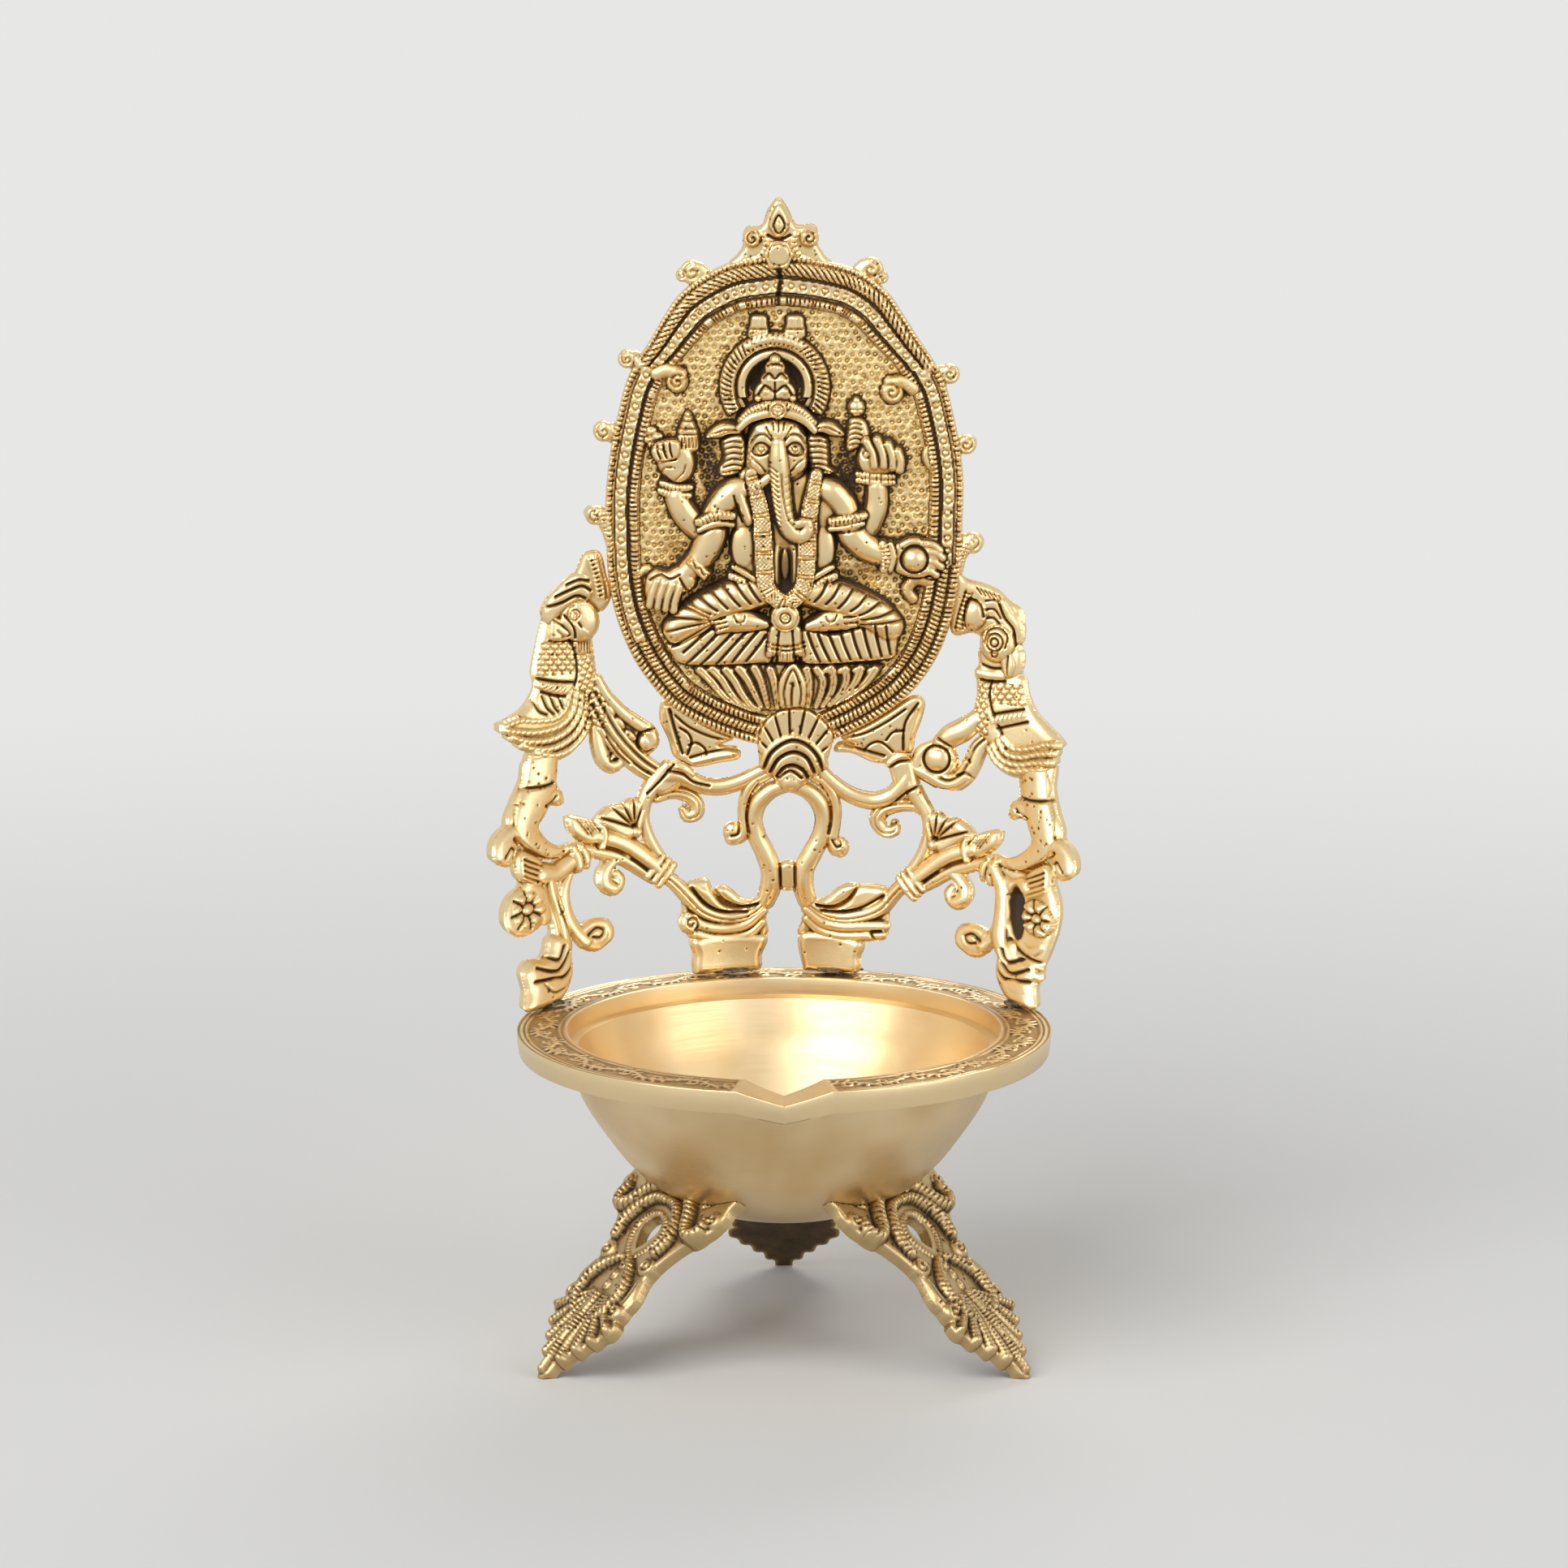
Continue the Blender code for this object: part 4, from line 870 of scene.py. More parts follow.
def makeLegs():
    drawn = drawLeg()
    wall = bowlWall()[::-1]
    place = legPlace(-math.pi / 2)
    spots = place(drawn["x"], 0 * drawn["x"], drawn["z"])
    radius = np.hypot(spots[..., 0], spots[..., 1])
    skin = np.interp(radius, wall[:, 0], wall[:, 1])
    into = (spots[..., 2] - skin) * 1000 + leg["bowlGap"]
    into = np.where((radius > wall[-1, 0]) & (spots[..., 2] < wall[-1, 1]), -5, into)
    drawn["edge"] = np.maximum(drawn["edge"], into * leg["trimSlope"])
    for name, azimuth in (("leg_front_left", 210), ("leg_front_right", 330), ("leg_rear", 90)):
        castSheet(drawn, name.replace("leg_", "casting_"), [name], back=leg["back"],
                  place=legPlace(math.radians(azimuth)), material=legBrass,
                  rearShade=leg["rearShade"])


makeLegs()


# Openwork: the left and right halves are each drawn from their own castings
openwork = {"back": -1.9, "backStep": 0.02, "cell": 0.3, "grow": 0.25, "relief": 1.2, "uneven": 0.14,
            "inset": 0.8, "rearShade": 0.25}


def finishCasting(sheet, name, nodes, seed, pits=16, inset=openwork["inset"]):
    sheet["top"] = np.where(sheet["edge"] < 0, sheet["top"], sheet["lip"])
    sheet["edge"] -= openwork["grow"]
    sheet["top"] = sheet["lip"] + openwork["relief"] * (sheet["top"] - sheet["lip"])
    lumpy(sheet, seed, openwork["uneven"])
    pit(sheet, seed + 50, pits)
    # overlapping castings never share one back plane
    back = openwork["back"] + openwork["backStep"] * (seed - 20)
    return castSheet(sheet, name, nodes, back, inset=inset, rearShade=openwork["rearShade"])


def petals(sheet, x, z, radius, count, first=0.0, lift=0.0):
    boss(sheet, x, z, (radius, radius), 0.7, 1.3 + lift, crown=6)
    for number in range(count):
        turn = math.radians(first) + 2 * math.pi * number / count
        groove(sheet, [(x + 0.32 * radius * math.cos(turn), z + 0.32 * radius * math.sin(turn)),
                       (x + 0.95 * radius * math.cos(turn), z + 0.95 * radius * math.sin(turn))], 0.34, 0.75)
        middle = turn + math.pi / count
        boss(sheet, x + 0.64 * radius * math.cos(middle), z + 0.64 * radius * math.sin(middle),
             (0.2 * radius, 0.2 * radius), 0.5, 1.9 + lift)
    ring(sheet, x, z, 0.3 * radius, 0.3, -0.6)
    boss(sheet, x, z, (0.22 * radius, 0.22 * radius), 0.5, 1.9 + lift)


def drawOuterLeft():
    s = newSheet((-92, -1), (-48, 70), openwork["cell"])
    # upright post with its hooked leaf
    plate(s, [(-75.5, 67.4), (-67.2, 67.4), (-67.4, 62), (-66.6, 58.6), (-66, 55.8), (-68.6, 54), (-72, 53.2),
              (-72.6, 50), (-71, 46.4), (-68.4, 43.4), (-66, 41.6), (-70, 40), (-76, 44), (-80.6, 48.5),
              (-82.4, 52), (-80, 57), (-77, 62)], 1.3, 0.7, soft=3.4)
    stem(s, [(-71.5, 67, 4.2), (-72.6, 60, 4.6), (-75, 55, 5), (-76.6, 50.5, 4.2), (-75.4, 46.4, 3),
             (-72, 42.9, 2.2), (-67.4, 40.9, 1.5), (-62.5, 42, 1.0)], 0.32, 1.9)
    stem(s, [(-71, 57, 2.4), (-68.2, 56.8, 2.2), (-66.8, 55, 1.4)], 0.55, 1.6)
    groove(s, [(-78, 60.2), (-72, 60.1), (-66.6, 61)], 0.42, 0.9)
    groove(s, [(-71.5, 54.6), (-69.4, 55.2), (-68.4, 56.6)], 0.4, 0.8)
    pit(s, 11, 26, 0.3)
    # outer volute
    stem(s, [(-74, 45.6, 2), (-77.6, 48, 2.6), (-81.4, 48.2, 2.6), (-84.4, 46.4, 2.6), (-84.6, 43.6, 2.6),
             (-82, 42, 2.2)], 0.62, 1.0)
    boss(s, -83.2, 45, (4.2, 4), 1.6, 1.1, crown=3)
    groove(s, [(-84, 42.6), (-82.2, 44.8), (-80.8, 43.8), (-81.2, 42.2)], 0.4, 0.8)
    groove(s, [(-80.8, 47), (-77.5, 44.4), (-73.5, 41.6), (-69, 39.2), (-64.6, 39.4), (-62.6, 40.6)], 0.5, 1.6)
    # striped block and the arm to the branch
    plate(s, [(-79.4, 41.4), (-76.8, 43.4), (-71, 38.9), (-70.2, 32.8), (-74, 33.2), (-78.2, 36)], 1.9, 0.7,
          soft=1.6)
    for number in range(5):
        shift = 1.55 * number
        groove(s, [(-77.6 + 0.1 * shift, 41.2 - shift), (-71.6, 38 - shift * 0.95)], 0.3, 0.65)
    for place in (-71.6, -70.2):
        groove(s, [(place, 38.6), (place + 0.2, 32.6)], 0.32, 0.75)
    stem(s, [(-71, 35.8, 2.9), (-67.5, 35.2, 2.7), (-64.4, 36.8, 2.6), (-61, 38.6, 2.4), (-57.4, 39.2, 1.8)],
         0.72, 0.8)
    stem(s, [(-63.2, 41.6, 1.0), (-61.8, 38.6, 1.2), (-61.2, 35.6, 1.0)], 0.9, 2.2)
    stem(s, [(-60.8, 41.6, 0.9), (-59.5, 38.8, 1.1), (-59, 36, 0.9)], 0.9, 2.1)
    groove(s, [(-77, 34.6), (-72, 32), (-66, 31.8)], 0.4, 0.9)
    # rosette on its side stem
    boss(s, -75.8, 27, (6.9, 6.5), 1.0, 0.8, crown=5)
    petals(s, -75.4, 27.4, 5.7, 8, 12)
    stem(s, [(-74, 33, 2.6), (-72, 30, 2.6), (-70, 24, 2)], 0.5, 0.8)
    # the two stems down to the foot, and the small volute
    stem(s, [(-69.6, 34.2, 2.2), (-68.6, 29.5, 2.1), (-67, 25, 2.1), (-65.6, 20, 2.3), (-65.2, 15, 2.6)],
         0.85, 0.7, grooves=((0.45, 0.22, 0.6),))
    stem(s, [(-63, 34.4, 1.1), (-64.4, 31.2, 1.3), (-64.6, 27.4, 1.5), (-63.4, 22.6, 1.6), (-61, 18.2, 1.7),
             (-58.6, 15.4, 2.2)], 0.9, 0.7)
    groove(s, [(-67.2, 33), (-67, 27.6), (-65.2, 22.4), (-63.2, 17)], 0.35, 1.1)
    boss(s, -55.6, 16.2, (4.6, 4.4), 1.9, 0.7, crown=2.6)
    stem(s, [(-60, 17.8, 1.2), (-57, 19.4, 1.4), (-53.6, 18.6, 1.6), (-52.6, 15.6, 1.6), (-55.2, 13.6, 1.4)],
         0.6, 1.5)
    groove(s, [(-58.6, 16.8), (-56.4, 18.4), (-54.4, 17.4), (-55.4, 15.8), (-57.4, 16.2)], 0.35, 0.7)
    # bulbous foot
    plate(s, [(-76.2, 11), (-74.4, 13.8), (-71.6, 13), (-69.8, 14.6), (-68.6, 18.6), (-63.6, 18.4),
              (-62.6, 12), (-62.4, 7.6), (-64.2, 3), (-67, 0.8), (-74.6, 0.8), (-75, 6)], 2.2, 0.7, soft=3.2)
    cutLines(s, 0.45, 1.1, [(-70.6, 13.8), (-67.4, 12.4), (-66, 15.6)], [(-73.4, 11.6), (-67.8, 9.6),
             (-64.4, 13.6)], [(-73.6, 8.2), (-69, 7.8), (-66, 7.6), (-63.4, 9.6)])
    boss(s, -68.6, 5.4, (3.6, 2.4), 1.0, 2.0)
    groove(s, [(-71.4, 7), (-68.8, 4.2), (-65.6, 4.6)], 0.3, 0.5)
    return s


def drawBirdLeft():
    s = newSheet((-90, 56), (-31, 127), openwork["cell"])
    # joint with the medallion
    plate(s, [(-60.4, 121.6), (-58.4, 125.4), (-54, 125.6), (-52.2, 119), (-50.6, 113.4), (-53.4, 108.4),
              (-57, 110.6), (-61, 112), (-62, 117)], 1.6, 0.8, soft=2)
    for shift in (0, 1.8):
        ridge(s, [(-57.6 + shift, 124), (-55.6 + shift, 118.6), (-54.6 + shift, 112.6)], 0.5, 0.5)
    groove(s, [(-54.6, 125), (-52.8, 118), (-52, 112)], 0.35, 0.6)
    for number in range(9):
        x, z = -56.8 + 0.3 * number, 123.4 - 1.3 * number
        groove(s, [(x, z), (x + 1.5, z + 0.4)], 0.22, 0.5)
    # crest over the head
    plate(s, [(-71.4, 108), (-70, 112), (-66.8, 115.6), (-62.4, 119.4), (-58.8, 119.8), (-56, 116.6),
              (-56.6, 112), (-61.6, 110.6), (-66, 107.4), (-69.6, 105)], 2.2, 1.1, soft=2.4)
    cutLines(s, 0.4, 1.1, [(-70, 110.4), (-65.6, 111.6), (-61.4, 113.4), (-58.6, 112.6)], [(-67.6, 113.2),
             (-63.6, 115), (-59.6, 116.2), (-57, 114.8)], [(-64.2, 116.6), (-60.6, 118), (-57.6, 117.6)])
    # body with its long outer edge
    plate(s, [(-69.8, 109), (-71.6, 104), (-73, 97.6), (-74, 91.6), (-73.4, 88.8), (-73.6, 86.4),
              (-76.4, 82.2), (-80.8, 80.2), (-85.4, 78.6), (-84.4, 76.4), (-80, 73.2), (-75.6, 70),
              (-72.6, 67.8), (-68, 66.2), (-63.6, 67.4), (-60.2, 70.4), (-57.6, 74.4), (-55.6, 79.6),
              (-54.8, 86), (-55.6, 92), (-56.4, 98), (-57, 101.6), (-60, 104), (-66, 107)], 1.7, 0.8,
          soft=3.6)
    own = (s["x"] < -61.8) & (s["z"] > 90.6) & (s["z"] < 100.2) & (s["edge"] < -0.8)
    scales(s, own, 2.5, -4, 0.42, -66, 90)
    groove(s, [(-64, 101.4), (-62, 97), (-61.4, 91), (-62.6, 86.4)], 0.42, 0.9)
    groove(s, [(-69.6, 100.4), (-65, 100.2), (-61.6, 99.8)], 0.35, 0.6)
    own = (s["x"] > -61) & (s["x"] < -54.6) & (s["z"] > 76) & (s["z"] < 95.8)
    scales(s, own, 2.4, 14, 0.42, -58, 90)
    for number in range(6):
        x = -60.8 + 0.85 * number
        groove(s, [(x, 99.4), (x + 0.1, 96.4)], 0.22, 0.55)
    groove(s, [(-61.4, 95.8), (-56.2, 96.2)], 0.3, 0.5)
    stem(s, [(-72, 88.2, 1.3), (-68, 86.8, 1.6), (-63.4, 86, 1.4)], 0.5, 2.1, rope=(1.4, 0.45, 0.6))
    cutLines(s, 0.36, 0.9, [(-73, 90), (-68, 88.8), (-62.8, 88.2)], [(-72, 86.2), (-68, 84.8), (-63.6, 84.2)])
    # tail and wing feathers, laid over one another
    feathers = [[(-74.6, 84.6), (-73, 81), (-70.6, 79.6)], [(-72, 85), (-70.6, 81.6), (-68.6, 79.6)],
                [(-69.6, 84.8), (-68.4, 81.6), (-66.8, 79.6)], [(-67.2, 84.6), (-66.2, 81.8), (-65.2, 79.8)]]
    for points in feathers:
        groove(s, points, 0.3, 0.7)
    sweeps = [([(-84.6, 78), (-79, 79), (-73, 78.2), (-68, 78.4), (-65, 80.8), (-63.8, 85)], 1.15),
              ([(-84.4, 77), (-78.4, 75.8), (-72.6, 75.2), (-66.8, 76.2), (-63, 79.6), (-61.8, 85)], 1.25),
              ([(-81.6, 74.6), (-76, 73), (-70, 72.6), (-64.6, 74.6), (-61.2, 78.8), (-60.2, 84)], 1.25),
              ([(-78, 72), (-73, 70.4), (-68, 70.4), (-62.8, 73), (-59.8, 77.2), (-58.8, 81.4)], 1.2),
              ([(-74, 69.6), (-69, 68.2), (-64.6, 69), (-60.8, 72), (-58.2, 76)], 1.1)]
    for number, (points, radius) in enumerate(sweeps):
        stem(s, [(*point, radius) for point in points], 1.15, 1.5 + 0.12 * number, rope=(1.9, 0.2, 0.7))
    # round head, with a ringed eye and a pointed beak
    boss(s, -60.4, 105.8, (6.0, 6.2), 2.4, 1.9, crown=2.4)
    groove(s, [(-63.6, 107), (-63, 108.9), (-61.6, 109.4), (-60.4, 108), (-61.4, 106.6), (-62.8, 106.2)], 0.22,
           0.5, closed=True)
    groove(s, [(-62.4, 108.4), (-61.4, 108), (-61.8, 107)], 0.2, 0.4)
    groove(s, [(-64.2, 107.2), (-63.8, 109.4), (-62, 110.6)], 0.24, 0.5)
    groove(s, [(-61, 105.6), (-60.2, 104.4)], 0.36, 0.6)
    plate(s, [(-69.6, 104.8), (-68.8, 107.4), (-66, 106.4), (-63.4, 103.6), (-62.4, 101.4), (-65.6, 100.2),
              (-69.4, 100.8)], 1.3, 1.9, soft=1.4)
    groove(s, [(-68.4, 106.4), (-65.4, 104.4), (-63.6, 102), (-66, 101.4)], 0.3, 0.6)
    groove(s, [(-67.4, 103.4), (-65.6, 101.8)], 0.25, 0.4)
    groove(s, [(-65, 107.6), (-62.6, 104.2), (-62, 101)], 0.3, 1.0)
    # limb down to the middle, in long ridges
    stem(s, [(-57, 84, 3.2), (-54.4, 78.4, 3.6), (-51, 72.4, 3.6), (-46.6, 67, 3.4), (-41.6, 62.4, 3.2),
             (-36.6, 59.4, 2.6)], 0.62, 0.7, grooves=((-0.42, 0.16, 0.9), (0.3, 0.16, 0.9)))
    own = (s["x"] > -60) & (s["x"] < -53) & (s["z"] > 74) & (s["z"] < 85) & (s["top"] > 1.5)
    scales(s, own, 2.3, 30, 0.42, -56, 80)
    plate(s, [(-55, 87), (-51, 82.6), (-46.6, 78), (-42.6, 75), (-41, 72), (-42, 67), (-46, 66.6), (-51, 72),
              (-55, 79)], 0.7, 0.6, soft=1)
    plate(s, [(-57.6, 79), (-55.6, 73), (-54, 67), (-51.6, 63), (-48, 62.4), (-46, 65), (-49.6, 70), (-54, 76)],
          0.7, 0.6, soft=1)
    for x, z, turn in ((-51.4, 79.2, -55), (-48.6, 75.4, -50), (-45.4, 71.6, -45), (-50.6, 68.6, -60)):
        boss(s, x, z, (2.2, 1.1), 1.0, 1.4, turn=turn)
    stem(s, [(-55, 88.6, 1.3), (-52.4, 83.6, 1.6), (-47.6, 78.2, 1.8), (-43.2, 75, 1.9), (-39.9, 72.6, 2.0),
             (-38.9, 69.6, 2.0), (-40.6, 67.6, 1.8)], 0.85, 1.1)
    stem(s, [(-55.6, 74, 1.8), (-54.8, 69.4, 2.2), (-53.4, 65.4, 2.4), (-50.8, 63, 2.2), (-48.8, 63.6, 1.6)],
         0.7, 0.6)
    boss(s, -40.9, 69.2, (2.4, 2.6), 1.3, 1.5)
    groove(s, [(-38.2, 73.4), (-42.2, 72.4), (-43.4, 69.2), (-41.4, 66.8), (-38.8, 67.4)], 0.4, 1.1)
    groove(s, [(-51.4, 66.4), (-51.6, 64.6), (-49.6, 64.8)], 0.4, 0.8)
    groove(s, [(-52.8, 71.6), (-50, 67.4), (-46, 63.4)], 0.4, 0.9)
    return s


def drawBranchLeft():
    s = newSheet((-68, -1), (-3, 66), openwork["cell"])
    # swirled foot, laid under its own leaves
    plate(s, [(-29.6, 26.6), (-22, 24), (-14, 20.6), (-7.6, 22.6), (-3.6, 23.4), (-5.4, 17), (-6.6, 10.4),
              (-26, 10.4), (-29.8, 17)], 0.8, 0.5, soft=1.6)
    plate(s, [(-26.4, 11.6), (-27, 6), (-27, 1.8), (-25, 0.6), (-9, 0.6), (-6.9, 1.8), (-6.9, 5),
              (-6.4, 11.4)], 1.9, 0.7, soft=2.4)
    stem(s, [(-26.4, 12.4, 1.5), (-21.4, 10.9, 1.5), (-15, 10.8, 1.5), (-10, 11.8, 1.5), (-6.4, 15, 1.2)],
         0.8, 1.2)
    stem(s, [(-29, 17.6, 1.6), (-24, 14.6, 1.7), (-17, 13.5, 1.7), (-11, 14.6, 1.6), (-6, 18.6, 1.2)], 0.85,
         1.3)
    stem(s, [(-36, 30.6, 1.8), (-32, 27, 2.0), (-28.6, 23.2, 2.2), (-24.6, 19.2, 2.2), (-19, 16.9, 2.0),
             (-13, 16.8, 1.8), (-8.6, 18.6, 1.5), (-5, 21.8, 1.1)], 0.8, 1.3, grooves=((0.2, 0.16, 0.5),))
    plate(s, [(-29, 26.8), (-26.6, 28.2), (-23, 28.2), (-21.2, 24.6), (-18.4, 21), (-14, 19.6), (-8.8, 20.6),
              (-7, 20.4), (-10, 18.4), (-15, 17.8), (-21, 19), (-25.6, 22.6)], 1.9, 1.1, soft=2.2)
    groove(s, [(-27.8, 26.2), (-24, 21.4), (-18.6, 18.8), (-11, 18.6)], 0.42, 0.9)
    plate(s, [(-20.4, 25.2), (-18, 26.2), (-15.8, 25), (-13, 22.6), (-9.6, 22), (-5.6, 23.6), (-6.4, 21.8),
              (-10, 20), (-15, 20.4), (-18.8, 22.6)], 1.8, 1.2, soft=1.8)
    groove(s, [(-20.6, 25.2), (-18.2, 22), (-13, 20.2), (-8, 20.8)], 0.38, 0.9)
    curl(s, -28.2, 15.8, 3.1, 1.7, -60, 1, lift=1.0)
    # main stem with its leaf, barrel and hook
    plate(s, [(-64, 50), (-61.4, 49.8), (-56.4, 47.6), (-53.6, 45.6), (-53.8, 41.6), (-58, 41.6),
              (-61.6, 43.8), (-63.6, 46.4)], 1.7, 0.8, soft=1.8)
    for number in range(5):
        shift = 1.25 * number
        groove(s, [(-61.6 + shift, 49 - 0.35 * shift), (-58.6 + shift, 44.8 - 0.45 * shift)], 0.28, 0.7)
    stem(s, [(-60, 40.6, 1.7), (-54.6, 38.9, 1.9), (-48.6, 36.6, 1.9), (-43.6, 33.2, 1.9), (-39.4, 29.9, 1.6)],
         0.85, 0.6)
    stem(s, [(-56, 43.6, 2.2), (-51, 42, 2.7), (-46, 39.2, 2.8), (-41.4, 35.4, 2.8), (-37, 31.6, 2.6)],
         0.8, 0.9)
    groove(s, [(-55.6, 40.6), (-50, 39), (-44.6, 35.4), (-39.6, 31.2)], 0.42, 1.3)
    stem(s, [(-54.4, 46.4, 0.8), (-53.8, 43.4, 1.0), (-54.4, 40.4, 0.8)], 0.9, 2.2)
    for shift in (-2.2, 0, 2.2):
        x, z = -36.9 + 0.74 * shift, 31.9 - 0.66 * shift
        stem(s, [(x - 2.3, z - 2.8, 0.9), (x, z, 1.3), (x + 2.2, z + 2.6, 0.9)], 0.95, 2.0 - 0.1 * abs(shift))
    stem(s, [(-46.6, 36.6, 1.4), (-50.6, 35.8, 1.7), (-53.2, 33, 1.9), (-53, 29.8, 2.0), (-50.4, 28.2, 2.1),
             (-48.8, 30.2, 1.6), (-49.6, 32.2, 1.0)], 0.85, 0.7)
    groove(s, [(-50.8, 33.6), (-51.6, 31.2), (-50.2, 29.8)], 0.35, 0.9)
    # flower fan
    plate(s, [(-55.8, 47.2), (-54.6, 49.8), (-51.6, 51.8), (-48.6, 51.6), (-46.4, 53), (-43.4, 53),
              (-41.4, 51.2), (-41.2, 47.4), (-43, 43.4), (-47, 41.4), (-52.6, 44.6)], 1.7, 1.0, soft=2)
    for end in ((-54.6, 48.6), (-51.6, 51.4), (-48, 51.6), (-45, 53), (-42.2, 51.4)):
        groove(s, [(-44.4, 44.6), (0.5 * (-44.4 + end[0]) - 0.3, 0.5 * (44.6 + end[1]) + 0.2), end], 0.34, 0.9)
    boss(s, -44.2, 43.6, (1.5, 1.5), 1.2, 2.2)
    # loops to the middle
    stem(s, [(-34.6, 62, 1.8), (-38.4, 57.6, 2.6), (-41.2, 52.6, 2.3), (-41.8, 47.6, 1.8), (-40.6, 42.6, 1.6),
             (-38.4, 38, 1.6), (-36.2, 34.6, 1.6)], 0.85, 0.8)
    plate(s, [(-40, 55.6), (-36.6, 60.4), (-34, 63), (-30.6, 61), (-29, 57.6), (-32, 55), (-36.4, 53.4)],
          2.0, 0.8, soft=2.4)
    stem(s, [(-38, 57, 2.2), (-33.6, 59.4, 2.9), (-29, 58.4, 2.7), (-24, 56.2, 2.5), (-18.4, 55.8, 2.4),
             (-12.6, 57.4, 2.2), (-7, 60.2, 2.0), (-4.4, 61.6, 1.5)], 0.8, 0.8)
    stem(s, [(-33.6, 62.6, 1.1), (-30, 62, 1.2), (-27, 59.8, 1.0)], 0.8, 2.0)
    groove(s, [(-34.4, 61), (-30, 60), (-26.6, 57.6), (-22, 56.4)], 0.36, 1.0)
    groove(s, [(-32.6, 62.8), (-36.6, 58.6), (-41, 54.6)], 0.36, 1.1)
    boss(s, -37.6, 54.4, (1.5, 1.1), -1.2, 2.4)
    stem(s, [(-37.6, 52.8, 1.4), (-33.4, 54, 1.6), (-29, 53.4, 1.9), (-26, 51, 2.0), (-26, 48, 2.1),
             (-28.6, 47.2, 1.8), (-30, 49, 1.1)], 0.85, 0.8, grooves=((-0.35, 0.18, 0.5),))
    return s


def drawFanLeft():
    s = newSheet((-41, 57), (-9, 85), openwork["cell"])
    plate(s, [(-35.8, 81), (-36.4, 76), (-34, 70.4), (-32.6, 65.6), (-30, 63.4), (-26, 61.8), (-20, 63),
              (-13.4, 64.4), (-13.8, 67.6), (-19, 68.4), (-15, 70.4), (-20, 73), (-25, 76), (-31.6, 80.6)],
          1.6, 0.7, soft=1.6)
    ridge(s, [(-35, 80), (-33.4, 74), (-31.4, 67)], 0.6, 0.5)
    cutLines(s, 0.36, 0.8, [(-33.6, 79.2), (-32, 73), (-29.8, 66)], [(-32, 77.4), (-28, 74), (-22, 71.2),
             (-15.8, 69.8)], [(-27.6, 64.8), (-22, 66.4), (-17, 67.2), (-13.4, 67)])
    cutLines(s, 0.34, 0.8, [(-30.6, 73.6), (-28.2, 72), (-27.2, 69.4), (-28.4, 65.6)], [(-28, 68.4),
             (-25.8, 69.2), (-23.4, 67.6), (-22.8, 65.8)])
    ridge(s, [(-26.8, 63.4), (-20, 65), (-13.8, 66)], 0.5, 0.4)
    return s


finishCasting(drawOuterLeft(), "scrollPostLeft", ["outer_scroll_left"], 21)
finishCasting(drawBirdLeft(), "peacockLeft", ["bird_left"], 22)
finishCasting(drawBranchLeft(), "branchLeft", ["branch_left"], 23)
finishCasting(drawFanLeft(), "fanLeafLeft", ["fan_leaf_left"], 24)


def drawNeck():
    s = newSheet((-20, 18), (21, 62), openwork["cell"])
    stem(s, [(1.5, 56.4, 1.9), (-3.6, 54.8, 2.3), (-7.6, 51, 2.5), (-9, 46.2, 2.5), (-8, 41, 2.6),
             (-5.6, 36, 2.8), (-3.9, 31, 2.9), (-3.8, 26.4, 3.0), (-5.4, 21.6, 2.6)], 0.85, 0.8)
    stem(s, [(1.5, 56.4, 1.9), (6.6, 54.8, 2.3), (10.4, 51, 2.5), (11.8, 46.2, 2.5), (10.9, 41, 2.6),
             (8.4, 36, 2.8), (6, 31.2, 2.9), (5.6, 26.4, 3.0), (6.8, 21.6, 2.6)], 0.85, 0.8)
    plate(s, [(-2.4, 32.2), (0.8, 33.6), (4.2, 33), (4, 25.2), (0.8, 24.6), (-2, 25.2)], 1.6, 0.8, soft=1.4,
          smooth=False)
    for x in (-1.2, 3.1):
        groove(s, [(x, 33), (x + 0.3, 24.6)], 0.36, 1.0)
    groove(s, [(-1, 25.6), (3, 25.6)], 0.3, 0.6)
    stem(s, [(-4.6, 59.6, 1.3), (-8.6, 57.4, 1.5), (-11.2, 53.6, 1.5), (-12, 49, 1.5), (-11.8, 44.4, 1.7),
             (-12.8, 41, 1.9), (-15.4, 40.2, 1.9)], 0.9, 0.8)
    boss(s, -15.2, 42.2, (2.6, 2.9), 1.6, 0.9)
    groove(s, [(-13.2, 45), (-13.6, 42), (-15.6, 41.4)], 0.35, 0.8)
    stem(s, [(7.6, 59.6, 1.3), (11.6, 57.2, 1.5), (14.4, 53.6, 1.5), (15.3, 49, 1.5), (14.9, 44.4, 1.6),
             (14.2, 40.4, 1.8), (15.2, 37, 1.9)], 0.9, 0.8)
    boss(s, 16.6, 37.6, (2.5, 2.9), 1.6, 0.9)
    groove(s, [(14.2, 40), (15.4, 38), (16.8, 38.6), (16.4, 40)], 0.35, 0.8)
    cutLines(s, 0.35, 1.1, [(-7.8, 56.6), (-10, 52.6), (-11, 47), (-10.2, 42)], [(10.8, 56.6), (13, 52.6),
             (13.8, 47), (13, 42)])
    return s


shellOutline = [(-7.6, 69.6), (-7, 73.4), (-5, 76.8), (-1.8, 79), (2, 80), (6, 79.9), (9.4, 78.2),
                (12.4, 75.4), (14.6, 72), (13.6, 67.6), (11.8, 62.4), (8, 60), (-4.6, 60), (-7, 64.6)]


